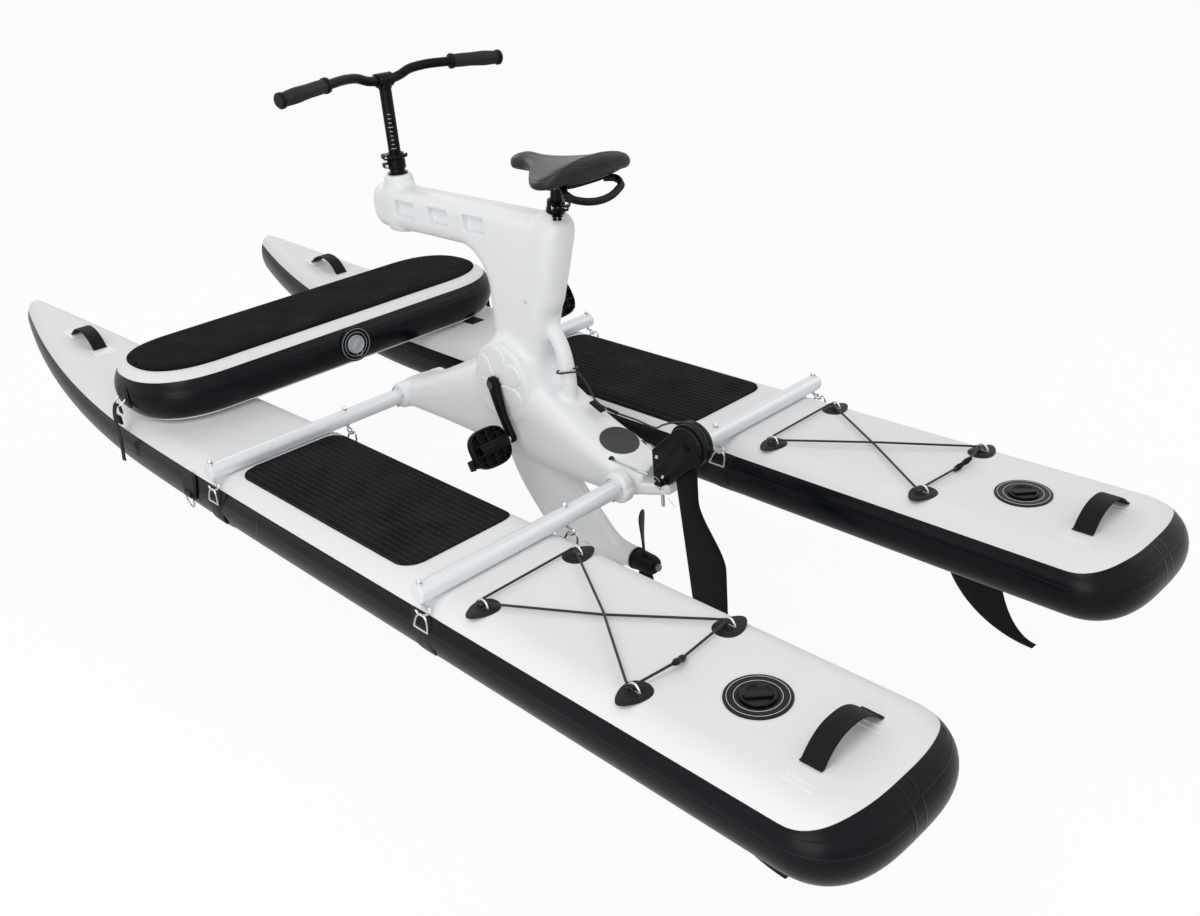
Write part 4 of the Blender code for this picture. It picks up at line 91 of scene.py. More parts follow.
# Places and sizes that more than one piece keeps to
PONTOON_X = 0.4332
DECK_HALF = 0.1207
RAIL_RADIUS = 0.0738
DECK_TOP = -0.0203
FRONT_BAR_Y = 0.825
CRANK = (0.385, 0.150)
HEAD_Y = 0.783
HEAD_TOP = 0.575
SEAT_TOP = (0.220, 0.541)
RUDDER_PIVOT = (-0.143, 0.112)
DECK_EDGE = 38.5
BAND_EDGE = 33.0


# Numpy shapes


def turns(count: int) -> Array:
    """Angles at even steps once round."""
    return np.arange(count) * 2 * math.pi / count


def signed(values: Array, power: float) -> Array:
    """Values raised to a power with their signs kept, for superellipses."""
    return np.sign(values) * np.abs(values) ** power


def run_of(line: Array) -> Array:
    """Distance along a line at each of its points."""
    return np.concatenate([[0], np.cumsum(np.linalg.norm(np.diff(line, axis=0), axis=1))])


def at_run(line: Array, run: Array, at: Union[float, Array]) -> Array:
    """Points of a line at the given distances along it."""
    return np.stack([np.interp(at, run, line[:, k]) for k in range(3)], axis=-1)


def unit(vectors: Array) -> Array:
    """Vectors divided by their own length, along the last axis."""
    vectors = np.asarray(vectors, float)
    return vectors / np.maximum(np.linalg.norm(vectors, axis=-1, keepdims=True), 1e-12)


def smooth_route(points: Array, count: int) -> Array:
    """A rounded line through route points, at even steps of its length.

    Each stretch is a cubic whose slopes are the neighbouring stretches' mean, weighted by length.

    Args:
        points: Route points, one row each.
        count: How many points the line gets.

    Returns:
        The line's points.
    """
    points = np.asarray(points, float)
    steps = np.diff(points, axis=0)
    gaps = np.linalg.norm(steps, axis=1)
    ways = steps / gaps[:, None]
    before, after = gaps[:-1, None], gaps[1:, None]
    inner = (ways[:-1] * after + ways[1:] * before) / (before + after)
    slope = np.vstack([ways[:1], inner, ways[-1:]])
    t = np.linspace(0, 1, 25)[None, :-1, None]
    lean = slope[:-1, None] * t * (1 - t) ** 2 - slope[1:, None] * t**2 * (1 - t)
    fine = points[:-1, None] + steps[:, None] * t**2 * (3 - 2 * t) + gaps[:, None, None] * lean
    fine = np.vstack([fine.reshape(-1, 3), points[-1:]])
    run = run_of(fine)
    return at_run(fine, run, np.linspace(0, run[-1], count))


def taut(route: Sequence[Array], lead: float = 0.012) -> Array:
    """A route whose long stretches get a point near each end, so that a rounded line stays straight.

    Args:
        route: Route points.
        lead: How far from a stretch's end its new points lie.

    Returns:
        The longer route.
    """
    points = [np.asarray(route[0], float)]
    for spot in route[1:]:
        step = np.asarray(spot, float) - points[-1]
        size = float(np.linalg.norm(step))
        if size > 4 * lead:
            points += [points[-1] + step * lead / size, spot - step * lead / size]
        points.append(np.asarray(spot, float))
    return np.array(points)


def eased(profile: Sequence[Sequence[float]], radius: float, steps: int = 4) -> Array:
    """A profile whose inner corners become curves: each corner is cut and bridged by a parabola.

    Args:
        profile: Points of the line.
        radius: Most that a corner is cut back along its two sides.
        steps: Points on each curve.

    Returns:
        The eased line.
    """
    line = np.asarray(profile, float)
    if len(line) < 3:
        return line
    size = np.linalg.norm(np.diff(line, axis=0), axis=1)
    cut = np.minimum(radius, 0.45 * np.minimum(size[:-1], size[1:]))[:, None]
    first = line[1:-1] + unit(line[:-2] - line[1:-1]) * cut
    last = line[1:-1] + unit(line[2:] - line[1:-1]) * cut
    t = np.linspace(0, 1, steps)[None, :, None]
    curve = first[:, None] * (1 - t) ** 2 + 2 * line[1:-1, None] * t * (1 - t) + last[:, None] * t**2
    return np.vstack([line[:1], curve.reshape(-1, line.shape[1]), line[-1:]])


def both_ways(half: Sequence[tuple[float, float]]) -> list[tuple[float, float]]:
    """A profile given from its middle outwards, with its mirror before it."""
    return [(-along, radius) for along, radius in reversed(half)] + list(half)


def axes_of(axis: Array) -> tuple[Array, Array, Array]:
    """An axis and two unit vectors square to it and to each other.

    Args:
        axis: A direction of any length.

    Returns:
        The unit axis and the two vectors.
    """
    axis = unit(np.asarray(axis, float))
    seed = UP if abs(axis[2]) < 0.9 else ACROSS
    side = unit(np.cross(seed, axis))
    return axis, side, np.cross(axis, side)


def lathe(origin: Array, axis: Array, profile: Array, sides: int = 48) -> Array:
    """Rings of a turned shape: each profile point swings once round the axis.

    Args:
        origin: Where the axis starts.
        axis: Its direction.
        profile: Rows of distance along the axis and radius.
        sides: Points round each ring.

    Returns:
        A grid of points, ring by ring.
    """
    axis, side, up = axes_of(axis)
    profile = np.asarray(profile, float)
    turn = turns(sides)
    spread = np.outer(np.cos(turn), side) + np.outer(np.sin(turn), up)
    return np.asarray(origin, float) + profile[:, :1, None] * axis + profile[:, 1, None, None] * spread


def path_axes(path: Array, across: Array) -> tuple[Array, Array, Array]:
    """Directions along, aside and above at each point of a path; aside is across made square.

    Args:
        path: Points of the line.
        across: Direction that aside keeps to.

    Returns:
        Ahead, aside and above, a row for each point.
    """
    ahead = unit(np.gradient(np.asarray(path, float), axis=0))
    across = np.broadcast_to(np.asarray(across, float), ahead.shape)
    side = unit(across - ahead * np.sum(ahead * across, axis=1)[:, None])
    return ahead, side, np.cross(ahead, side)


def sweep(path: Array, radius: Union[float, Array], across: Array, flat: float = 1.0,
          sides: int = 24, power: float = 2.0) -> Array:
    """Rings of a tube: a rounded section carried square along a path.

    Args:
        path: Points of the middle line.
        radius: Half-width, one number or one for each point.
        across: Direction that the section's width keeps to.
        flat: Height over width of the section.
        sides: Points round the section.
        power: 2 gives an ellipse, more gives a rounded box.

    Returns:
        A grid of points, ring by ring.
    """
    path = np.asarray(path, float)
    _, side, up = path_axes(path, across)
    turn = turns(sides)
    u = signed(np.cos(turn), 2 / power)[None, :, None]
    v = flat * signed(np.sin(turn), 2 / power)[None, :, None]
    radius = np.broadcast_to(radius, len(path))[:, None, None]
    return path[:, None] + radius * (u * side[:, None] + v * up[:, None])


def ribbon(path: Array, across: Array, width: float, thick: float) -> Array:
    """Rings of a flat strap: a round-edged strip section carried along a path."""
    return sweep(path, width / 2, across, thick / width, 20, 6.0)


def domed_ends(path: Array, radius: float, steps: int = 5) -> tuple[Array, Array]:
    """A path and its radii with the first and last stretch rounded off as half balls.

    Args:
        path: Points of the middle line.
        radius: The tube's radius.
        steps: Rings on each rounded end.

    Returns:
        The longer path and a radius for each of its points.
    """
    turn = np.linspace(0, 0.97, steps) * math.pi / 2
    first = path[0] + unit(path[0] - path[1]) * (radius * np.sin(turn[::-1]))[:, None]
    last = path[-1] + unit(path[-1] - path[-2]) * (radius * np.sin(turn))[:, None]
    ends = radius * np.cos(turn)
    radii = np.concatenate([ends[::-1], np.full(len(path) - 2, radius), ends])
    return np.vstack([first, path[1:-1], last]), radii


def rounded_box(half_u: float, half_v: float, corner: float, steps: int = 6) -> Array:
    """Outline of a rectangle with round corners, as (u, v) rows going once round.

    Args:
        half_u: Half the width.
        half_v: Half the height.
        corner: Radius of the corners.
        steps: Points on each corner.

    Returns:
        The outline's rows.
    """
    turn = np.linspace(0, math.pi / 2, steps)
    quarter = np.stack([np.cos(turn), np.sin(turn)], axis=1) * corner
    core = np.array([half_u - corner, half_v - corner])
    parts = []
    for k, sign in enumerate(((1, 1), (-1, 1), (-1, -1), (1, -1))):
        cos, sin = math.cos(k * math.pi / 2), math.sin(k * math.pi / 2)
        parts.append(quarter @ np.array([[cos, sin], [-sin, cos]]) + core * np.array(sign))
    return np.vstack(parts)


def disc(radius: float) -> Array:
    """Outline of a circle as (u, v) rows."""
    turn = turns(48)
    return np.stack([np.cos(turn), np.sin(turn)], axis=1) * radius


def plate(outline: Array, thick: float, ease: float, ease_low: float = 0.0, crown: float = 0.0) -> Array:
    """Rings of a plate over an outline in its own (u, v, height) frame.

    The outline's points move inwards along their normals by the ease at both faces, on a quarter
    circle, and the top rises by the crown towards the middle.

    Args:
        outline: Rows of u and v.
        thick: Height of the top face.
        ease: Rounding of the top edge.
        ease_low: Rounding of the bottom edge.
        crown: Extra height in the middle.

    Returns:
        A grid of points, ring by ring, from the bottom middle to the top middle.
    """
    outline = np.asarray(outline, float)
    along = unit(np.roll(outline, -1, axis=0) - np.roll(outline, 1, axis=0))
    inward = np.stack([-along[:, 1], along[:, 0]], axis=1)
    after = np.roll(outline, -1, axis=0)
    area = np.sum(outline[:, 0] * after[:, 1] - outline[:, 1] * after[:, 0])
    inward = inward if area > 0 else -inward
    turn = np.linspace(0, math.pi / 2, 5)
    low = [(ease_low * (1 - math.cos(t)), ease_low * (1 - math.sin(t))) for t in turn[::-1]]
    high = [(ease * (1 - math.cos(t)), thick - ease * (1 - math.sin(t))) for t in turn]
    stages = (low if ease_low else [(0, 0)]) + high
    rings = [(outline + inward * inset, z) for inset, z in stages]
    middle, edge = outline.mean(axis=0), outline + inward * ease
    rings += [(middle + (edge - middle) * share, thick + crown * (1 - share**2)) for share in (0.75, 0.45, 0.15)]
    return np.array([np.column_stack([ring, np.full(len(ring), z)]) for ring, z in rings])


def laid(grid: Array, origin: Array, u: Array, v: Array, w: Array) -> Array:
    """Points given as (u, v, w) put at an origin along three directions."""
    return np.asarray(origin, float) + grid @ np.stack([u, v, w])


def wrapped(grid: Array, middle: Array, out: float, radius: float, tilt: float = 0.0) -> Array:
    """Points of a plate laid round a rail: u runs up the rail, v along it and w away from it.

    Args:
        grid: Points given as (u, v, w).
        middle: Middle of the rail's section.
        out: 1 where the rail faces starboard, -1 where it faces port.
        radius: The rail's radius.
        tilt: Angle above level at which u is zero.

    Returns:
        The points.
    """
    angle, reach = tilt + grid[..., 0] / radius, radius + grid[..., 2]
    return np.stack([middle[0] + out * reach * np.cos(angle), middle[1] + grid[..., 1],
                     middle[2] + reach * np.sin(angle)], axis=-1)


# Finishes


def linear(code: str) -> tuple[float, float, float, float]:
    """An sRGB hex colour as linear red, green, blue and alpha.

    Args:
        code: The colour as #RRGGBB.

    Returns:
        The four numbers.
    """
    parts = [int(code[k:k + 2], 16) / 255 for k in (1, 3, 5)]
    values = [c / 12.92 if c <= 0.04045 else ((c + 0.055) / 1.055) ** 2.4 for c in parts]
    return (values[0], values[1], values[2], 1.0)


class Where(Enum):
    """What a pattern follows."""

    PLACE = "Object"
    SURFACE = "UV"


class Pattern(Enum):
    """The relief that a finish has."""

    PEEL = "orange peel of a moulded or sprayed skin"
    GRAIN = "etched pebble grain"
    WEAVE = "crossing threads"
    BRAID = "slanted plait of a cord"
    GROOVES = "straight grooves along the piece"
    BRUSHED = "long fine scratches"
    STRANDS = "twisted wires"


def add_node(tree: bpy.types.NodeTree, kind: str, settings: Optional[dict] = None,
             links: Optional[dict] = None) -> bpy.types.Node:
    """Adds a node, sets its values and links its inputs.

    Args:
        tree: The node tree.
        kind: Blender's name of the node type.
        settings: Attribute names, or input names or numbers, with their values.
        links: Input names or numbers with the output that feeds each.

    Returns:
        The node.
    """
    node = tree.nodes.new(kind)
    for key, value in (settings or {}).items():
        if isinstance(key, str) and hasattr(node, key) and key not in node.inputs:
            setattr(node, key, value)
        else:
            node.inputs[key].default_value = value
    for key, value in (links or {}).items():
        tree.links.new(value, node.inputs[key])
    return node


Value = Union[float, bpy.types.NodeSocket]


def calc(tree: bpy.types.NodeTree, operation: str, *values: Value) -> bpy.types.NodeSocket:
    """One step of arithmetic on values that are sockets or plain numbers.

    Args:
        tree: The node tree.
        operation: Blender's name of the operation.
        *values: What goes in, in order.

    Returns:
        The result's socket.
    """
    node = add_node(tree, "ShaderNodeMath", {"operation": operation})
    for put, value in zip(node.inputs, values):
        if isinstance(value, bpy.types.NodeSocket):
            tree.links.new(value, put)
        else:
            put.default_value = value
    return node.outputs[0]


def mixed(tree: bpy.types.NodeTree, share: bpy.types.NodeSocket, first: Union[str, bpy.types.NodeSocket],
          second: Union[str, bpy.types.NodeSocket]) -> bpy.types.NodeSocket:
    """A colour between two, which are hex codes or sockets.

    Args:
        tree: The node tree.
        share: 0 gives the first colour, 1 the second.
        first: First colour.
        second: Second colour.

    Returns:
        The colour's socket.
    """
    node = add_node(tree, "ShaderNodeMix", {"data_type": "RGBA"}, {0: share})
    for number, colour in ((6, first), (7, second)):
        if isinstance(colour, str):
            node.inputs[number].default_value = linear(colour)
        else:
            tree.links.new(colour, node.inputs[number])
    return node.outputs[2]


def ranged(tree: bpy.types.NodeTree, value: bpy.types.NodeSocket, start: float, end: float, low: float,
           high: float) -> bpy.types.NodeSocket:
    """A value led from the range start..end to the range low..high and held at its ends."""
    settings = {"From Min": start, "From Max": end, "To Min": low, "To Max": high}
    return add_node(tree, "ShaderNodeMapRange", settings, {"Value": value}).outputs["Result"]


def skinned(tree: bpy.types.NodeTree, shader: bpy.types.Node, colour: bpy.types.NodeSocket,
            gloss: bpy.types.NodeSocket, height: bpy.types.NodeSocket, strength: float, distance: float) -> None:
    """Feeds a shader its colour and roughness, and a relief of the given strength and distance.

    Args:
        tree: The node tree.
        shader: The shader.
        colour: Socket of the colour.
        gloss: Socket of the roughness.
        height: Socket of the relief's height.
        strength: Strength of the relief.
        distance: Depth of the relief in metres.
    """
    bump = add_node(tree, "ShaderNodeBump", {"Strength": strength, "Distance": distance}, {"Height": height})
    for word, socket in (("Base Color", colour), ("Roughness", gloss), ("Normal", bump.outputs["Normal"])):
        tree.links.new(socket, shader.inputs[word])


def blank(name: str, values: dict) -> tuple[bpy.types.Material, bpy.types.NodeTree, bpy.types.Node]:
    """A new material, its tree and its shader, whose named inputs get the given values.

    Args:
        name: The material's name.
        values: Input names with their values.

    Returns:
        The material, its tree and its shader.
    """
    made = bpy.data.materials.new(name)
    made.use_nodes = True
    shader = made.node_tree.nodes["Principled BSDF"]
    for key, value in values.items():
        shader.inputs[key].default_value = value
    return made, made.node_tree, shader


def wave(tree: bpy.types.NodeTree, follow: bpy.types.NodeSocket, pitch_mm: float,
         turn: float) -> bpy.types.NodeSocket:
    """Sine bands across the first coordinate, turned by an angle in the surface's plane.

    Args:
        tree: The node tree.
        follow: Socket of the coordinates.
        pitch_mm: Distance between bands in millimetres.
        turn: Angle of the bands.

    Returns:
        Socket of the bands, from 0 to 1.
    """
    flat = add_node(tree, "ShaderNodeMapping", {"Rotation": (0.0, 0.0, turn)}, {"Vector": follow})
    scale = 1000.0 / pitch_mm / 20.0 * 2 * math.pi
    return add_node(tree, "ShaderNodeTexWave", {"Scale": scale}, {"Vector": flat.outputs[0]}).outputs["Fac"]


@dataclass(frozen=True)
class Finish:
    """A real material: its colours, gloss, and relief at its real scale.

    pitch_mm is the size of the pattern, depth the strength of its relief, and mottle how far the
    colour and gloss wander over a hand's width. gloss is the mirror part of the skin; half is plain.
    """

    name: str
    colour: str
    second: str
    roughness: float
    pattern: Pattern
    pitch_mm: float
    depth: float
    metallic: float = 0.0
    ior: float = 1.5
    coat: float = 0.0
    sheen: float = 0.0
    mottle: float = 0.10
    where: Where = Where.PLACE
    gloss: float = 0.5

    def material(self) -> bpy.types.Material:
        """The finish as a material, made once.

        Returns:
            The material.
        """
        made = bpy.data.materials.get(self.name)
        if made:
            return made
        values = {"Metallic": self.metallic, "Coat Weight": self.coat, "Coat Roughness": 0.12,
                  "Sheen Weight": self.sheen, "Sheen Roughness": 0.4}
        if self.metallic < 0.5:
            values |= {"IOR": self.ior, "Specular IOR Level": self.gloss}
        made, tree, shader = blank(self.name, values)
        place = add_node(tree, "ShaderNodeTexCoord")
        relief = self.relief(tree, place.outputs[self.where.value])
        cloud = add_node(tree, "ShaderNodeTexNoise", {"Scale": 9.0, "Detail": 4.0, "Roughness": 0.6},
                         {"Vector": place.outputs["Object"]}).outputs["Fac"]
        share = calc(tree, "MULTIPLY_ADD", relief, 0.65, calc(tree, "MULTIPLY", cloud, 0.35))
        low = self.roughness * (1 - self.mottle)
        high = min(1.0, self.roughness * (1 + self.mottle) + 0.02)
        skinned(tree, shader, mixed(tree, share, self.second, self.colour), ranged(tree, cloud, 0.3, 0.7, low, high),
                relief, self.depth, self.pitch_mm / 1000 * 0.3)
        return made

    def relief(self, tree: bpy.types.NodeTree, follow: bpy.types.NodeSocket) -> bpy.types.NodeSocket:
        """The height pattern, from 0 to 1, with its pitch worked out from millimetres.

        Args:
            tree: The node tree.
            follow: Socket of the coordinates.

        Returns:
            Socket of the height.
        """
        scale = {"Scale": 1000.0 / self.pitch_mm}
        if self.pattern is Pattern.PEEL:
            return add_node(tree, "ShaderNodeTexNoise", scale | {"Detail": 2.0}, {"Vector": follow}).outputs["Fac"]
        if self.pattern is Pattern.GRAIN:
            return add_node(tree, "ShaderNodeTexVoronoi", scale | {"feature": "SMOOTH_F1"},
                            {"Vector": follow}).outputs["Distance"]
        if self.pattern is Pattern.BRUSHED:
            long = add_node(tree, "ShaderNodeMapping", {"Scale": (0.04, 1.0, 1.0)}, {"Vector": follow})
            return add_node(tree, "ShaderNodeTexNoise", scale | {"Detail": 3.0},
                            {"Vector": long.outputs[0]}).outputs["Fac"]
        join, degrees = {Pattern.WEAVE: ("MULTIPLY", (0, 90)), Pattern.BRAID: ("MAXIMUM", (38, -38)),
                         Pattern.STRANDS: ("", (62,)), Pattern.GROOVES: ("", (90,))}[self.pattern]
        bands = [wave(tree, follow, self.pitch_mm, math.radians(turn)) for turn in degrees]
        if join:
            return calc(tree, join, *bands)
        if self.pattern is Pattern.STRANDS:
            return bands[0]
        return ranged(tree, bands[0], 0.0, 0.16, 0.0, 1.0)


# Rotomoulded polyethylene: satin, faintly pebbled white that spreads highlights softly
WHITE_MOULDED = Finish("rotomoulded_white_polyethylene", "#EEF0F1", "#E6E8EA", 0.36, Pattern.PEEL, 1.6, 0.10,
                       ior=1.51, coat=0.08)
# Powder-coated aluminium tube: cool silver white with tight highlights along its length
BAR_COAT = Finish("powder_coated_aluminium", "#E9ECEF", "#E3E7EB", 0.30, Pattern.PEEL, 0.9, 0.03, metallic=0.12,
                  coat=0.20, mottle=0.02)
# Closed-cell EVA foam, grooved: matt black with pale lengthwise lines for grip
GROOVED_FOAM = Finish("grooved_eva_foam", "#090A0B", "#3C3E41", 0.86, Pattern.GROOVES, 15.65, 0.9, mottle=0.06,
                      gloss=0.06, where=Where.SURFACE)
# Brushed EVA foam on the bench: the same foam with a fine lengthwise nap
NAPPED_FOAM = Finish("brushed_eva_foam", "#0B0C0D", "#1A1C1E", 0.88, Pattern.BRUSHED, 0.9, 0.55, gloss=0.06,
                     where=Where.SURFACE)
# Polypropylene webbing: tight black weave with a silky edge light
WEBBING = Finish("polypropylene_webbing", "#151618", "#08090A", 0.62, Pattern.WEAVE, 1.5, 0.6, sheen=0.05, gloss=0.15,
                 where=Where.SURFACE)
# Calendered PVC patches: smooth dark grey with a soft shine
PATCH_PVC = Finish("calendered_pvc_patch", "#17191B", "#121315", 0.44, Pattern.PEEL, 1.2, 0.10, gloss=0.2)
# White welded PVC tabs: a little glossier than the deck, so that their edges read
TAB_PVC = Finish("welded_white_pvc_tab", "#EEEFF0", "#E8EAEB", 0.34, Pattern.PEEL, 2.2, 0.06, coat=0.10)
# Injection-moulded nylon: deep black with a fine etched grain
BLACK_NYLON = Finish("moulded_glass_filled_nylon", "#0B0C0D", "#070808", 0.42, Pattern.GRAIN, 1.1, 0.16, gloss=0.16)
# Polished ABS of the valve caps and the rudder head: smoother black with a clear highlight
BLACK_ABS = Finish("moulded_black_abs", "#0B0C0D", "#070808", 0.30, Pattern.PEEL, 1.4, 0.08, gloss=0.2)
# Grey ABS of the bench valve's cap
GREY_ABS = Finish("moulded_grey_abs", "#AEB6BC", "#A2AAB0", 0.40, Pattern.PEEL, 1.4, 0.08)
# Dark grey polyethylene plug in the rear deck
HATCH_GREY = Finish("moulded_grey_polyethylene", "#3B3D40", "#343639", 0.48, Pattern.GRAIN, 1.3, 0.14, gloss=0.3)
# Black anodised aluminium: dark satin metal with a soft grey highlight
BLACK_ANODISED = Finish("black_anodised_aluminium", "#0C0D0E", "#08090A", 0.34, Pattern.BRUSHED, 0.5, 0.08,
                        metallic=0.75)
# Saddle cover of coated polyurethane: leather grain over foam
SADDLE_COVER = Finish("coated_polyurethane_cover", "#141517", "#0C0D0E", 0.38, Pattern.GRAIN, 1.7, 0.22, gloss=0.4)
# Hard thermoplastic rubber of the grips
GRIP_RUBBER = Finish("thermoplastic_rubber", "#161718", "#0F1011", 0.62, Pattern.GRAIN, 0.9, 0.25, gloss=0.35)
# Natural rubber tread blocks and seals
RUBBER = Finish("black_rubber", "#1A1A1B", "#121213", 0.74, Pattern.GRAIN, 1.0, 0.2)
# Stainless steel wire and bolts: bright, slightly drawn along its length
STAINLESS = Finish("polished_stainless_steel", "#DFE1E3", "#CBCED1", 0.20, Pattern.BRUSHED, 0.5, 0.06, metallic=1.0)
# Hardened gear steel with a ground, oiled face
GEAR_STEEL = Finish("hardened_gear_steel", "#8E9194", "#7A7D80", 0.34, Pattern.BRUSHED, 0.6, 0.10, metallic=1.0)
# Shock cord: black plaited cover; its 1.6 mm plait is drawn as it is
SHOCK_CORD = Finish("plaited_shock_cord", "#202123", "#101011", 0.72, Pattern.BRAID, 1.6, 0.7, sheen=0.15,
                    where=Where.SURFACE)
# Steel rope of seven strands; its 0.8 mm lay is drawn at 1.2 mm so that it shows
WIRE_ROPE = Finish("galvanised_wire_rope", "#B9BDC0", "#6F7376", 0.32, Pattern.STRANDS, 1.2, 0.8, metallic=1.0,
                   where=Where.SURFACE)
# White-edged printed ring of the valves, left plain: pale ink on black plastic
PALE_INK = Finish("pale_pad_print", "#D9DCDE", "#CDD1D4", 0.50, Pattern.PEEL, 1.5, 0.05)


MARKS = ("rail_angle", "rail_run")


@dataclass(frozen=True)
class HullFinish:
    """Drop-stitch skin: white woven deck cloth, and black glossy rail bands welded over it.

    The white stops where the vertex attribute rail_angle, in degrees above the rail's middle, falls
    under deck_edge, and starts again under bottom_edge. Band edges and the upright joints in the
    rail, at the given distances rail_run along it in metres, show as fine ridges.
    """

    name: str
    deck_edge: float = DECK_EDGE
    bottom_edge: float = -66.0
    bands: tuple[float, ...] = (BAND_EDGE, 14.0, -38.0)
    joints: tuple[float, ...] = ()

    def material(self) -> bpy.types.Material:
        """The skin as a material, made once.

        Returns:
            The material.
        """
        made = bpy.data.materials.get(self.name)
        if made:
            return made
        made, tree, shader = blank(self.name, {"IOR": 1.52, "Specular IOR Level": 0.13, "Coat Weight": 0.02,
                                               "Coat Roughness": 0.15})
        place = add_node(tree, "ShaderNodeTexCoord").outputs["Object"]
        angle, run = (add_node(tree, "ShaderNodeAttribute", {"attribute_name": word}).outputs["Fac"] for word in MARKS)
        white = calc(tree, "MAXIMUM", calc(tree, "GREATER_THAN", angle, self.deck_edge),
                     calc(tree, "LESS_THAN", angle, self.bottom_edge))
        cloud = add_node(tree, "ShaderNodeTexNoise", {"Scale": 3.0, "Detail": 3.0}, {"Vector": place}).outputs["Fac"]
        # Rail colour: the PVC's own near-black, plus a faint blue cast that is a painted reflection tint; both pairs
        # vary at random with the noise
        rail, deck = (mixed(tree, cloud, *pair) for pair in (("#070A0E", "#0A0F14"), ("#E7E8E9", "#F0F0F0")))
        # Deck cloth threads lie 1.1 mm apart; they are drawn at 4 mm on the bias so that they show
        cloth = wave(tree, place, 4.0, 0.7)
        ridge = self.ridges(tree, angle, self.bands + (self.deck_edge, self.bottom_edge), 1.1)
        upright = calc(tree, "SUBTRACT", self.ridges(tree, run, self.joints, 0.0035), white)
        height = calc(tree, "ADD", calc(tree, "MULTIPLY", cloth, 0.035), calc(tree, "MAXIMUM", ridge, upright))
        skinned(tree, shader, mixed(tree, white, rail, deck), ranged(tree, white, 0.0, 1.0, 0.27, 0.50), height,
                0.45, 0.0016)
        return made

    @staticmethod
    def ridges(tree: bpy.types.NodeTree, value: bpy.types.NodeSocket, places: Sequence[float], width: float) -> Value:
        """A narrow ridge wherever a value is within a width of one of the places.

        Args:
            tree: The node tree.
            value: Socket of the value.
            places: Where the ridges are.
            width: Half the width of a ridge.

        Returns:
            Socket of the height, from 0 to 1.
        """
        total: Value = 0.0
        for spot in places:
            away = calc(tree, "ABSOLUTE", calc(tree, "SUBTRACT", value, spot))
            total = calc(tree, "MAXIMUM", total, ranged(tree, away, 0.0, width, 1.0, 0.0))
        return total


AnyFinish = Union[Finish, HullFinish]


# Pieces


def grid_quads(rows: int, columns: int, looped: bool) -> Array:
    """Corner numbers of the quads of a grid that is closed round its columns.

    Args:
        rows: Rings in the grid.
        columns: Points round each ring.
        looped: Whether the last ring joins the first.

    Returns:
        Four corner numbers for each quad.
    """
    i = np.arange(rows if looped else rows - 1)[:, None]
    j = np.arange(columns)[None, :]
    a, b = i * columns, ((i + 1) % rows) * columns
    k = (j + 1) % columns
    return np.stack([a + j, a + k, b + k, b + j], axis=-1).reshape(-1, 4)


def signed_volume(points: Array, quads: Array, fans: Array) -> float:
    """Volume that faces enclose, positive where they point outwards: a sixth of the triple products.

    Args:
        points: Corner points.
        quads: Corner numbers of the quads.
        fans: Corner numbers of the triangles.

    Returns:
        The volume.
    """
    tris = np.vstack([quads[:, [0, 1, 2]], quads[:, [0, 2, 3]], fans])
    a, b, c = points[tris[:, 0]], points[tris[:, 1]], points[tris[:, 2]]
    return float(np.sum(a * np.cross(b, c))) / 6.0


NO_FANS, NO_FAN_MAP = np.zeros((0, 3), int), np.zeros((0, 3, 2))


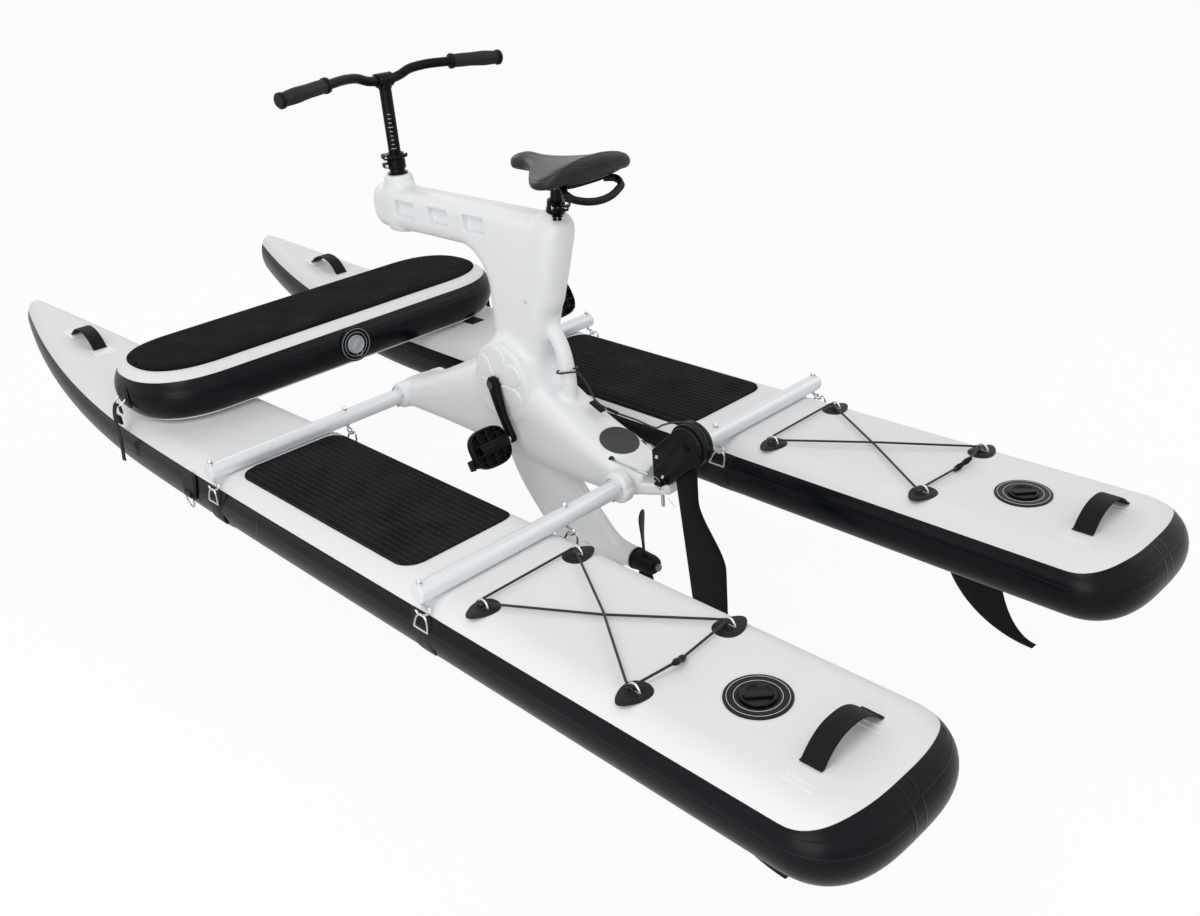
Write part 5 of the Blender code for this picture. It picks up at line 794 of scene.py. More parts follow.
class Form:
    """Closed numpy surfaces gathered into one mesh object."""

    def __init__(self) -> None:
        """Starts with nothing in it."""
        self.points: list[Array] = []
        self.corners: list[Array] = []
        self.sizes: list[Array] = []
        self.maps: list[Array] = []
        self.kinds: list[Array] = []
        self.marks: list[Array] = []
        self.count = 0

    def faces(self, points: Array, quads: Array, fans: Array, quad_map: Array, fan_map: Array, kind: int,
              marks: Optional[Array]) -> None:
        """Adds faces, turned so that they point outwards, with their surface map in metres.

        Args:
            points: Corner points.
            quads: Corner numbers of the quads.
            fans: Corner numbers of the triangles.
            quad_map: Surface map of the quads' corners.
            fan_map: Surface map of the triangles' corners.
            kind: Number of the finish.
            marks: Two numbers for each point, kept as rail_angle and rail_run.
        """
        if signed_volume(points - points.mean(axis=0), quads, fans) < 0:
            quads, fans = quads[:, ::-1], fans[:, ::-1]
            quad_map, fan_map = quad_map[:, ::-1], fan_map[:, ::-1]
        self.points.append(points)
        self.corners.append(np.concatenate([quads.ravel(), fans.ravel()]) + self.count)
        self.sizes.append(np.concatenate([np.full(len(quads), 4), np.full(len(fans), 3)]))
        self.maps.append(np.vstack([quad_map.reshape(-1, 2), fan_map.reshape(-1, 2)]))
        self.kinds.append(np.full(len(quads) + len(fans), kind))
        self.marks.append(np.zeros((len(points), 2)) if marks is None else marks)
        self.count += len(points)

    def skin(self, rings: Array, kind: int = 0, looped: bool = False, marks: Optional[Array] = None,
             capped: bool = True) -> Form:
        """Adds a closed skin over rings of points.

        Args:
            rings: A grid (ring, point round it, xyz); each ring is closed.
            kind: Number of the finish.
            looped: Whether the last ring joins the first; otherwise fans close both ends.
            marks: Two numbers for each grid point, kept as rail_angle and rail_run.
            capped: Whether fans close the ends; an end ring that is folded flat closes itself.

        Returns:
            This form, so that calls can be chained.
        """
        rings = np.asarray(rings, float)
        rows, columns = rings.shape[:2]
        points = rings.reshape(-1, 3)
        quads = grid_quads(rows, columns, looped)
        # The map's u runs along the rings' mean distance, its v round the widest ring
        span = np.linalg.norm(np.diff(np.vstack([rings, rings[:1]]), axis=0), axis=2).mean(axis=1)
        u = np.concatenate([[0], np.cumsum(span)])
        girth = np.linalg.norm(np.roll(rings, -1, axis=1) - rings, axis=2)
        v = np.concatenate([[0], np.cumsum(girth[np.argmax(girth.sum(axis=1))])])
        i, j = np.divmod(np.arange(len(quads)), columns)
        quad_map = np.stack([np.stack([u[i + a], v[j + b]], 1) for a, b in ((0, 0), (0, 1), (1, 1), (1, 0))], axis=1)
        fans, fan_map = NO_FANS, NO_FAN_MAP
        if capped and not looped:
            points = np.vstack([points, rings[0].mean(axis=0), rings[-1].mean(axis=0)])
            j = np.arange(columns)
            k = (j + 1) % columns
            low = np.stack([k, j, np.full(columns, rows * columns)], axis=1)
            base = (rows - 1) * columns
            high = np.stack([base + j, base + k, np.full(columns, rows * columns + 1)], axis=1)
            fans = np.vstack([low, high])
            ends = ((u[0], (v[j + 1], v[j], v[j])), (u[rows - 1], (v[j], v[j + 1], v[j])))
            fan_map = np.vstack([np.stack([np.stack([0 * j + at, spot], 1) for spot in spots], axis=1)
                                 for at, spots in ends])
            if marks is not None:
                marks = np.vstack([marks.reshape(-1, 2), marks[0].mean(axis=0), marks[-1].mean(axis=0)])
        elif marks is not None:
            marks = marks.reshape(-1, 2)
        self.faces(points, quads, fans, quad_map, fan_map, kind, marks)
        return self

    def turned(self, origin: Array, axis: Array, profile: Sequence[Sequence[float]], ease: float, sides: int,
               kind: int = 0, looped: bool = False) -> Form:
        """Adds a turned shape whose profile, of distance along the axis and radius, has eased corners."""
        return self.skin(lathe(origin, axis, eased(profile, ease), sides), kind, looped)

    def made(self, name: str, finishes: Sequence[AnyFinish], body: str, nodes: Sequence[str] = (),
             slot: str = "", sharp: float = 35.0) -> bpy.types.Object:
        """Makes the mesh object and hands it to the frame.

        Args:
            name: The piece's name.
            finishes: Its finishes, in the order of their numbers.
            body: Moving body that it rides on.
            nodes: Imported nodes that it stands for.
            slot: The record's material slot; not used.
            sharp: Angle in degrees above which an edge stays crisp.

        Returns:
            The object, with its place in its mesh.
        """
        points = np.vstack(self.points) + CRAFT.origin
        corners, sizes, marks = np.concatenate(self.corners), np.concatenate(self.sizes), np.vstack(self.marks)
        mesh = bpy.data.meshes.new(name)
        mesh.vertices.add(len(points))
        mesh.vertices.foreach_set("co", points.astype(np.float32).ravel())
        mesh.loops.add(len(corners))
        mesh.loops.foreach_set("vertex_index", corners.astype(np.int32))
        mesh.polygons.add(len(sizes))
        mesh.polygons.foreach_set("loop_start", (np.cumsum(sizes) - sizes).astype(np.int32))
        mesh.polygons.foreach_set("material_index", np.concatenate(self.kinds).astype(np.int32))
        mesh.update(calc_edges=True)
        mesh.uv_layers.new(name="UVMap").uv.foreach_set("vector", np.vstack(self.maps).astype(np.float32).ravel())
        if np.any(marks):
            for column, word in enumerate(MARKS):
                layer = mesh.attributes.new(word, "FLOAT", "POINT")
                layer.data.foreach_set("value", marks[:, column].astype(np.float32))
        welded = bmesh.new()
        welded.from_mesh(mesh)
        bmesh.ops.remove_doubles(welded, verts=welded.verts, dist=2e-7)
        welded.to_mesh(mesh)
        welded.free()
        mesh.validate()
        mesh.shade_smooth()
        mesh.set_sharp_from_angle(angle=math.radians(sharp))
        for finish in finishes:
            mesh.materials.append(finish.material())
        piece = placed(name, mesh)
        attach(piece, body)
        if nodes:
            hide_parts(*nodes)
        LOG.info("%s rides on %s", name, body)
        return piece


def placed(name: str, data: bpy.types.ID) -> bpy.types.Object:
    """A new object in the scene for a mesh, lamp or camera.

    Args:
        name: The object's name.
        data: The mesh, lamp or camera.

    Returns:
        The object.
    """
    made = bpy.data.objects.new(name, data)
    bpy.context.scene.collection.objects.link(made)
    return made


@dataclass
class Craft:
    """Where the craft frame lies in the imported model."""

    origin: Array = field(default_factory=lambda: np.zeros(3))

    def find(self) -> None:
        """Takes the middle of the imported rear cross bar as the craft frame's origin."""
        low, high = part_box("bar_rear")
        self.origin = (np.array(low) + np.array(high)) / 2

    def world(self, spot: Sequence[float]) -> tuple[float, float, float]:
        """A craft-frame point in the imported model's frame."""
        x, y, z = np.asarray(spot, float) + self.origin
        return float(x), float(y), float(z)


CRAFT = Craft()
SIDES = (("left", -1.0), ("right", 1.0))
MIRROR = np.array([-1.0, 1.0, 1.0])


def on_side(points: Array, side: float) -> Array:
    """Points given for starboard, moved to the chosen side."""
    return np.asarray(points, float) * np.array([side, 1.0, 1.0])


# Blended mouldings

Field = Callable[[Array], Array]


def both(a: Array, b: Array, ease: float) -> Array:
    """Union of two distance fields, its corner rounded by a quarter of their squared overlap."""
    near = np.maximum(ease - np.abs(a - b), 0.0) / ease
    return np.minimum(a, b) - near * near * ease / 4


def common(a: Array, b: Array, ease: float) -> Array:
    """Overlap of two distance fields with a rounded outer edge."""
    return -both(-a, -b, ease)


def without(a: Array, b: Array, ease: float) -> Array:
    """First distance field with the second taken out and the edge rounded."""
    return common(a, -b, ease)


def drum(p: Array, origin: Sequence[float], axis: Array, reach: tuple[float, float], radius: float,
         ease: float) -> Array:
    """Distance to a round bar along an axis between two reaches, with rounded ends.

    Args:
        p: Points with x, y and z along the last axis.
        origin: A point of the axis.
        axis: Its unit direction.
        reach: Where the bar starts and ends along the axis.
        radius: The bar's radius.
        ease: Rounding of its rims.

    Returns:
        The distance at each point, negative inside.
    """
    away = p - np.asarray(origin, float)
    along = away @ axis
    radial = np.sqrt(np.maximum(np.sum(away * away, axis=-1) - along * along, 0.0)) - radius
    return common(radial, np.abs(along - sum(reach) / 2) - (reach[1] - reach[0]) / 2, ease)


def chain(p: Array, path: Array, radius: Union[float, Array]) -> Array:
    """Distance to a rod through path points.

    Args:
        p: Points with x, y and z along the last axis.
        path: Points of the rod's middle line.
        radius: Its radius, one number or one a point.

    Returns:
        The distance at each point, negative inside.
    """
    best = np.full(p.shape[:-1], 1e3)
    radii = np.broadcast_to(radius, len(path))
    for a, b, r, s in zip(path[:-1], path[1:], radii[:-1], radii[1:]):
        t = np.clip(((p - a) @ (b - a)) / np.sum((b - a) ** 2), 0, 1)
        best = np.minimum(best, np.linalg.norm(p - a - t[..., None] * (b - a), axis=-1) - (r + (s - r) * t))
    return best


def block(p: Array, middle: Sequence[float], half: Sequence[float], round_by: float) -> Array:
    """Distance to a box with rounded edges."""
    q = np.abs(p - np.asarray(middle, float)) - (np.asarray(half, float) - round_by)
    return np.linalg.norm(np.maximum(q, 0), axis=-1) + np.minimum(q.max(axis=-1), 0) - round_by


def slope_of(shape: Field, p: Array, step: float) -> Array:
    """Gradient of a field by central differences."""
    shifts = np.eye(3) * step
    return np.stack([(shape(p + s) - shape(p - s)) / (2 * step) for s in shifts], axis=-1)


def moulded(shape: Field, low: Sequence[float], high: Sequence[float], pitch: float) -> Form:
    """A form whose surface is where a distance field is zero.

    The field is sampled on a lattice. Each lattice cell that the surface crosses gets one point,
    each lattice edge that it crosses gets a quad between the four cells round it, and the points
    then walk down the field's slope on to the surface.

    Args:
        shape: The distance field, negative inside.
        low: Lowest corner of the lattice.
        high: Highest corner.
        pitch: Lattice spacing.

    Returns:
        The form.
    """
    lines = [np.arange(a - 2 * pitch, b + 2 * pitch, pitch) for a, b in zip(low, high)]
    inside = np.stack([shape(np.stack(np.meshgrid([x], lines[1], lines[2], indexing="ij"), axis=-1)[0]) < 0
                       for x in lines[0]])
    total = inside.astype(np.int8)
    total = total[:-1] + total[1:]
    total = total[:, :-1] + total[:, 1:]
    total = total[:, :, :-1] + total[:, :, 1:]
    crossed = (total > 0) & (total < 8)
    number = np.full(crossed.shape, -1)
    number[crossed] = np.arange(int(crossed.sum()))
    start = np.array([line[0] for line in lines])
    points = start + (np.argwhere(crossed) + 0.5) * pitch
    quads = []
    for axis in range(3):
        order = (axis, (axis + 1) % 3, (axis + 2) % 3)
        turned, cells = inside.transpose(order), number.transpose(order)
        here, there = turned[:-1, 1:-1, 1:-1], turned[1:, 1:-1, 1:-1]
        faces = np.stack([cells[:, :-1, :-1], cells[:, 1:, :-1], cells[:, 1:, 1:], cells[:, :-1, 1:]], axis=-1)
        quads += [faces[here & ~there], faces[~here & there][:, ::-1]]
    for _ in range(5):
        slope = slope_of(shape, points, pitch * 0.25)
        move = shape(points)[:, None] * slope / np.maximum(np.sum(slope * slope, axis=1, keepdims=True), 0.05)
        size = np.linalg.norm(move, axis=1, keepdims=True)
        points = points - move * np.minimum(1.0, 0.6 * pitch / np.maximum(size, 1e-12))
    faces = np.vstack(quads)
    plan = points[faces][:, :, 1:]
    form = Form()
    form.faces(points, faces, NO_FANS, plan, NO_FAN_MAP, 0, None)
    return form


# Drop-stitch hulls


@dataclass
class Hull:
    """An inflated drop-stitch board: flat deck and bottom with a half-round rail between them.

    A board is a function of two parameters: the place along its outline and the angle round its
    rail. A point is outline + (reach * cos angle) * outward, at the height radius * sin angle.
    """

    radius: float = RAIL_RADIUS
    top: float = DECK_TOP
    steps: int = 20
    deck: int = 10
    stern_climb: float = 0.0

    def outline(self) -> tuple[Array, Array, Array, Array, Array]:
        """Half-width, station, outward direction, reach of the rail and rise, one of each per station."""
        raise NotImplementedError

    def rail(self, angles: Array, grow: float) -> Array:
        """A grid (station, angle, xyz) of starboard points round the rail; angles may differ by station.

        Args:
            angles: Angles round the rail, in radians.
            grow: Height over the skin.

        Returns:
            The grid of points.
        """
        w, y, out, reach, rise = self.outline()
        angles = np.atleast_2d(angles)
        side = (reach[:, None] + grow) * np.cos(angles)
        high = self.top - self.radius + rise[:, None] + (self.radius + grow) * np.sin(angles)
        return np.stack([w[:, None] + side * out[:, :1], y[:, None] + side * out[:, 1:], high], axis=-1)

    def rings(self) -> tuple[Array, Array]:
        """Rings across the board with the marks rail_angle and rail_run for each point.

        rail_run is the way along the rail from its aft end, less than zero on the port side.

        Returns:
            The rings' points and their marks.
        """
        w, y, out, _, _ = self.outline()
        edge = DECK_EDGE + self.stern_climb * np.clip(-out[:, 1:], 0, 1) ** 1.5
        crown, band, side = np.linspace(0, 1, 8), np.linspace(0, 1, 3)[1:], np.linspace(0, 1, self.steps)[1:]
        side = BAND_EDGE - (BAND_EDGE + 90) * side
        degrees = np.hstack([90 + (edge - 90) * crown, edge + (BAND_EDGE - edge) * band, side + 0 * edge])
        level = np.concatenate([90 - (90 - DECK_EDGE) * crown, DECK_EDGE - (DECK_EDGE - BAND_EDGE) * band, side])
        starboard = self.rail(np.radians(degrees), 0.0)
        port = (starboard * MIRROR)[:, ::-1]
        grid = np.concatenate([starboard, self.bridge(starboard, port), port, self.bridge(port, starboard)], axis=1)
        angle = np.concatenate([level, np.full(self.deck, -90.0), level[::-1], np.full(self.deck, 90.0)])
        half = np.ones(len(angle) // 2)
        run = run_of(np.stack([w, y], axis=1))[:, None] * np.concatenate([half, -half])
        return grid, np.stack([np.broadcast_to(angle, run.shape), run], axis=-1)

    def bridge(self, first: Array, second: Array) -> Array:
        """Points straight across the deck or bottom, from one grid's last column to another's first."""
        t = np.linspace(0, 1, self.deck + 2)[1:-1][None, :, None]
        return first[:, -1:] * (1 - t) + second[:, :1] * t

    def cover(self, edge_angle: float, low: float, high: float, ease: float) -> Array:
        """Rings of a foam cover over the deck and the rail's crown, with a rounded edge.

        Args:
            edge_angle: Angle round the rail where the cover ends.
            low: Height of its underside over the skin.
            high: Height of its top over the skin.
            ease: Angle over which its edge rounds down.

        Returns:
            Rings over the top from port to starboard and back underneath.
        """
        angles = np.linspace(math.pi / 2, edge_angle + ease, 6)
        arc = np.linspace(0, math.pi / 2, 5)
        top = self.rail(angles, high)
        edge = np.concatenate([self.rail(np.array([edge_angle + ease * (1 - math.sin(a))]),
                                         low + (high - low) * math.cos(a)) for a in arc[1:]], axis=1)
        under = self.rail(np.array([edge_angle, math.pi / 2]), low)
        half = np.concatenate([top, edge, under[:, :1]], axis=1)
        port = (half * MIRROR)[:, ::-1]
        return np.concatenate([self.bridge(port, half), half, under[:, 1:], (under * MIRROR)[:, 1:], port], axis=1)


def round_half(half: float, depth: float, power: float, count: int) -> tuple[Array, Array, Array]:
    """A superellipse's end: half-width, distance back from the tip and outward direction.

    Args:
        half: Greatest half-width.
        depth: Length of the end.
        power: 2 gives an ellipse.
        count: How many stations it gets.

    Returns:
        Half-width, distance back and direction, by station.
    """
    t = np.linspace(0.0, 1.0, count) ** 1.25 * math.pi / 2
    w = half * np.sin(t) ** (2 / power)
    back = depth * (1 - np.cos(t) ** (2 / power))
    gx = (w / half) ** (power - 1) / half
    gy = np.maximum(1 - back / depth, 0) ** (power - 1) / depth
    return w, back, unit(np.stack([gx, gy], axis=1))


@dataclass
class PontoonHull(Hull):
    """A pontoon's board, with a squared stern and an upswept pointed bow."""

    flat: float = DECK_HALF
    stern: float = -0.971
    bow: float = 2.340
    taper_start: float = -0.500
    taper_power: float = 5.25
    bow_share: float = 0.53
    rocker_start: float = 1.299
    rocker_rise: float = 0.117
    rocker_reach: float = 1.115
    rocker_power: float = 1.87
    stern_round: float = 0.060
    stern_climb: float = 23.5

    def rise(self, y: Array) -> Array:
        """Height gained towards the bow: a power of the distance past the rocker's start."""
        share = np.maximum(0, (np.asarray(y) - self.rocker_start) / self.rocker_reach)
        return self.rocker_rise * share**self.rocker_power

    def outline(self) -> tuple[Array, Array, Array, Array, Array]:
        """Stern superellipse, then sides that close as one minus a power of the way to the bow.

        Returns:
            Half-width, station, outward direction, reach and rise.
        """
        w0, back, n0 = round_half(self.flat, self.stern_round, 3.2, 26)
        start = self.stern + self.radius
        y1 = start + self.stern_round + (self.bow - start - self.stern_round) * np.linspace(0, 1, 90)[1:] ** 0.8
        reach = self.bow - self.taper_start
        share = np.maximum(0, (y1 - self.taper_start) / reach)
        w1 = self.flat * (1 - share**self.taper_power)
        slope = -self.flat * self.taper_power * share ** (self.taper_power - 1) / reach
        n1 = unit(np.stack([np.ones_like(slope), -slope], axis=1))
        lean = math.atan2(n1[-1, 1], n1[-1, 0])
        fan = np.linspace(lean, math.pi / 2, 14)[1:]
        n2 = np.stack([np.cos(fan), np.sin(fan)], axis=1)
        w = np.concatenate([w0, w1, np.zeros(len(fan))])
        y = np.concatenate([start + back, y1, np.full(len(fan), self.bow)])
        out = np.vstack([n0 * [1, -1], n1, n2])
        near = np.clip((y - self.rocker_start) / (self.bow - self.rocker_start), 0, 1)
        return w, y, out, self.radius * (1 - (1 - self.bow_share) * near**2), self.rise(y)

    def deck_height(self, away: Array, y: Array) -> Array:
        """Height of the top skin at a distance from the pontoon's middle line."""
        past = np.clip(np.abs(away) - self.flat, 0, self.radius)
        return self.top - self.radius + np.sqrt(self.radius**2 - past**2) + self.rise(y)


@dataclass
class BenchHull(Hull):
    """The bench's board, with two round ends, built along +Y and then turned to lie across."""

    half_length: float = 0.5955
    half_width: float = 0.198
    end_round: float = 0.150

    def outline(self) -> tuple[Array, Array, Array, Array, Array]:
        """Two superellipse ends joined by straight sides.

        Returns:
            Half-width, station, outward direction, reach and rise.
        """
        half = self.half_width - self.radius
        end = self.half_length - self.radius
        w, back, out = round_half(half, self.end_round, 2.5, 30)
        sides = np.linspace(self.end_round - end, end - self.end_round, 16)[1:-1]
        y = np.concatenate([back - end, sides, end - back[::-1]])
        width = np.concatenate([w, np.full(14, half), w[::-1]])
        normal = np.vstack([out * [1, -1], np.tile([1.0, 0.0], (14, 1)), out[::-1]])
        return width, y, normal, np.full(len(y), self.radius), np.zeros(len(y))


def valve_into(form: Form, spot: Array, axis: Array, radius: float, face: int, cap: int, ink: int) -> None:
    """Adds a high-pressure valve: flange with plain rings, sunk well, turned cap and its grip bar.

    Args:
        form: The form that gets it.
        spot: Middle of the valve on the skin.
        axis: Outward direction.
        radius: The flange's radius.
        face: Number of the flange's finish.
        cap: Number of the cap's finish.
        ink: Number of the printed rings' finish.
    """
    axis, side, up = axes_of(axis)
    r = radius
    flange = [(-0.002, r * 0.2), (-0.002, r), (0.0022, r), (0.0030, r * 0.96), (0.0030, r * 0.60), (0.0010, r * 0.56),
              (0.0008, r * 0.2)]
    form.turned(spot, axis, flange, 0.0008, 96, face)
    for high, low in ((0.90, 0.90 - 0.016), (0.70, 0.70 - 0.016)):
        line = [(0, r * high), (0.0004, r * high), (0.0004, r * low), (0, r * low)]
        form.turned(spot + axis * 0.0029, axis, line, 0.0001, 96, ink, looped=True)
    knob = [(0.0, r * 0.52), (0.0060, r * 0.52), (0.0066, r * 0.47), (0.0044, r * 0.42), (0.0028, r * 0.40),
            (0.0028, r * 0.1)]
    form.turned(spot, axis, knob, 0.0008, 64, cap)
    bar = plate(rounded_box(r * 0.41, r * 0.12, r * 0.08), 0.0052, 0.0014)
    form.skin(laid(bar, spot + axis * 0.0018, unit(side + up), unit(np.cross(axis, side + up)), axis), cap)


def ring_into(form: Form, spot: Array, foot: Array, rise_way: Array, half: float, rise: float, wire: float,
              kind: int, power: float = 1.0) -> None:
    """Adds a closed D-ring.

    Its bow's two coordinates are cosine and sine raised to a power, and a straight foot closes it.

    Args:
        form: The form that gets it.
        spot: Middle of the foot.
        foot: Direction of the foot.
        rise_way: Direction in which the bow stands.
        half: Half the foot's length.
        rise: Height of the bow.
        wire: Radius of the wire.
        kind: Number of the finish.
        power: 1 gives half an ellipse, less gives a squarer bow.
    """
    turn = np.linspace(-0.12, math.pi + 0.12, 40)
    along, above = half * signed(np.cos(turn), power), rise * signed(np.sin(turn), power)
    path = spot + along[:, None] * foot + above[:, None] * rise_way
    form.skin(sweep(path, wire, np.cross(foot, rise_way), 1.0, 14), kind)
    bar = spot + np.linspace(-1, 1, 6)[:, None] * half * foot
    form.skin(sweep(bar, wire, rise_way, 1.0, 14), kind)


# Pontoons and what is welded to them


@dataclass
class Pontoon:
    """One pontoon with its valve, deck rings, rail rings, carry handles, pad, shock cord and fin."""

    word: str
    side: float
    middle: float = PONTOON_X
    valve_y: float = -0.663
    valve_radius: float = 0.058
    patch_x: float = 0.1253
    patch_ys: tuple[float, float] = (-0.502, -0.111)
    cord_radius: float = 0.0025
    bolts_y: tuple[float, float] = (0.0, FRONT_BAR_Y)
    hull: PontoonHull = field(default_factory=PontoonHull)

    def deck(self, y: float) -> Array:
        """The point on the deck's middle line at a distance along the craft."""
        return np.array([self.side * self.middle, y, self.hull.top + float(self.hull.rise(y))])

    def build(self) -> None:
        """Makes the board and everything fixed to it."""
        self.build_board()
        self.build_handle("stern", self.deck(-0.826), ACROSS, AHEAD)
        low, high = self.hull.rise(np.array([1.900, 2.000]))
        self.build_handle("bow", self.deck(1.950), unit(np.array([0.0, 0.1, high - low])), ACROSS)
        self.build_pad()
        self.build_cord()
        self.build_fin()

    def build_board(self) -> None:
        """The board itself, its valve, four deck rings and four rail rings, as one welded piece."""
        form = Form()
        rings, marks = self.hull.rings()
        # Both boards are one product: the stern joint is on the port side of each
        form.skin(on_side(rings, self.side) + ACROSS * self.side * self.middle, 0,
                  marks=marks * np.array([1.0, -self.side]), capped=False)
        valve_into(form, self.deck(self.valve_y), UP, self.valve_radius, 2, 2, 3)
        for out in (-self.side, self.side):
            for y in self.patch_ys:
                self.deck_ring(form, self.deck(y) + ACROSS * out * self.patch_x, out)
            for y in self.bolts_y:
                self.rail_ring(form, out, y)
        self.leash_ring(form)
        if self.side > 0:
            self.bench_tail(form)
        skin = HullFinish("drop_stitch_pvc_pontoon", joints=(0.020, -0.006, 1.62, 2.43, -1.62, -2.43))
        form.made(f"hull_{self.word}", (skin, PATCH_PVC, BLACK_ABS, PALE_INK, STAINLESS), "craft",
                  (f"pontoon_{self.word}",), "hull_pvc", 50.0)

    def deck_ring(self, form: Form, spot: Array, out: float) -> None:
        """A teardrop patch, its raised tongue and the steel D-ring under it.

        Args:
            form: The form that gets it.
            spot: Middle of the patch.
            out: Way that the patch points, 1 or -1.
        """
        turn = turns(64)
        along = np.cos(turn) * 0.037
        across = np.sin(turn) * 0.0275 * (1 - 0.30 * np.cos(turn))
        u = out * ACROSS
        for grow, thick in ((1.0, 0.0012), (0.78, 0.0024)):
            drop = plate(np.stack([along, across], 1) * grow, thick, 0.0008, crown=0.0006)
            form.skin(laid(drop, spot, u, AHEAD, UP), 1)
        tongue = plate(rounded_box(0.010, 0.0115, 0.003), 0.0052, 0.0022)
        form.skin(laid(tongue, spot - u * 0.004, u, AHEAD, UP), 1)
        foot = spot - u * 0.004 + UP * 0.0032
        ring_into(form, foot, AHEAD, UP * 0.98, 0.013, 0.0165, 0.0021, 4)

    def rail_ring(self, form: Form, out: float, y: float) -> None:
        """A patch that hugs the rail, its welded rib and the D-ring that a bar hook catches.

        Args:
            form: The form that gets it.
            out: Side of the board that the rail is on, 1 or -1.
            y: Place along the craft.
        """
        r = self.hull.radius
        middle = np.array([self.side * self.middle + out * self.hull.flat, y, self.hull.top - r])
        for span, reach, thick, low, corner in ((0.078, 0.046, 0.0010, 0.028, 0.008),
                                                (0.048, 0.029, 0.0022, 0.0, 0.023)):
            flat = plate(rounded_box(span, reach, corner, 10), thick, 0.0008) - ACROSS * low
            form.skin(wrapped(flat, middle, out, r), 1)
        # The hook pulls the ring aft and up; its bow narrows by a fifth towards the top
        foot, half, wire = middle + np.array([out * 0.0745, 0.0, 0.0176]), 0.0215, 0.0023
        turn = np.linspace(0.0, math.pi, 40)
        above = np.sin(turn) ** 0.72
        along = signed(np.cos(turn), 0.72) * (1 - 0.18 * above)
        pull = unit(np.array([0.05 * out, -0.38, 1.0]))
        path = foot + half * along[:, None] * AHEAD + 0.0425 * above[:, None] * pull
        form.skin(sweep(path, wire, ACROSS, 1.0, 14), 4)
        bar = foot + np.linspace(-1, 1, 6)[:, None] * half * AHEAD
        form.skin(sweep(bar, wire, UP, 1.0, 14), 4)
        keeper = plate(rounded_box(0.0135, 0.0165, 0.003), 0.0055, 0.0018, 0.0010)
        form.skin(laid(keeper, foot - np.array([out * 0.0055, 0.0, 0.0045]), UP, AHEAD, out * ACROSS), 1)

    def bench_tail(self, form: Form) -> None:
        """The flat end of a webbing strap that lies on the deck and runs under the bench."""
        tail = plate(rounded_box(0.0235, 0.055, 0.002), 0.0022, 0.0008)
        form.skin(laid(tail, np.array([self.side * 0.4497, 1.197, self.hull.top]), ACROSS, AHEAD, UP), 1)

    def leash_ring(self, form: Form) -> None:
        """A round patch on the outer rail ahead of the front bar, with a keeper and a hanging round ring.

        Args:
            form: The form that gets it.
        """
        r = self.hull.radius
        middle = np.array([self.side * (self.middle + self.hull.flat), 0.957, self.hull.top - r])
        for size, thick in ((0.037, 0.0014), (0.031, 0.0030)):
            form.skin(wrapped(plate(disc(size), thick, 0.0010), middle, self.side, r, math.radians(12.0)), 1)
        spot = middle + (r + 0.004) * np.array([self.side, 0.0, -0.02])
        keeper = spot + np.linspace(-0.016, 0.016, 10)[:, None] * AHEAD
        form.skin(sweep(keeper, 0.0085, UP, 0.5, 24, 3.0), 1)
        hoop, section = turns(48), turns(12)
        ring = spot + 0.0180 * np.stack([0.10 * self.side * np.sin(hoop), np.cos(hoop), np.sin(hoop) - 1.05], axis=1)
        _, side, up = path_axes(np.vstack([ring, ring[:1]]), ACROSS)
        tube = np.cos(section)[None, :, None] * side[:-1, None] + np.sin(section)[None, :, None] * up[:-1, None]
        form.skin(ring[:, None] + 0.0022 * tube, 4, looped=True)

    def build_handle(self, place: str, base: Array, along: Array, across: Array) -> None:
        """An arched webbing strap with folded ends, sewn to two welded tabs.

        Args:
            place: Word for the end in the piece's name.
            base: Middle of the strap's span.
            along: Unit direction of the span.
            across: Unit direction of its width.
        """
        up = np.cross(along, across)
        up = up if up[2] > 0 else -up
        t = np.linspace(-1, 1, 41)
        lift = 0.0021 if along[2] > 0.01 else 0.0004
        height = 0.036 * (1 - np.abs(t) ** 2.4) + 0.0045 + lift
        arch = base + along * 0.075 * t[:, None] + up * height[:, None]
        flats = np.linspace(0.006, 0.002, 3)[:, None]
        low = (0.0044 + lift) * up + base
        path = np.vstack([low - along * (0.075 + flats), arch, low + along * (0.075 + flats[::-1])])
        form = Form().skin(ribbon(path, across, 0.042, 0.0030))
        for end in (-1.0, 1.0):
            mid = base + along * end * 0.086 + up * lift
            for half_u, half_v, thick in ((0.038, 0.033, 0.0014), (0.027, 0.0255, 0.0026)):
                tab = plate(rounded_box(half_u, half_v, 0.005), thick, 0.0008)
                form.skin(laid(tab, mid - up * 0.0006, along, across, up), 1)
            for row in (0.0745, 0.0785):
                line = np.linspace(-0.8, 0.8, 12)[:, None] * across * 0.021
                stitch = base + along * end * row + line + up * (0.0061 + lift)
                form.skin(sweep(stitch, 0.0005, up, 0.8, 8), 2)
        form.made(f"carry_handle_{place}_{self.word}", (WEBBING, TAB_PVC, SHOCK_CORD), "craft",
                  (f"handle_{place}_{self.word}",), "webbing")

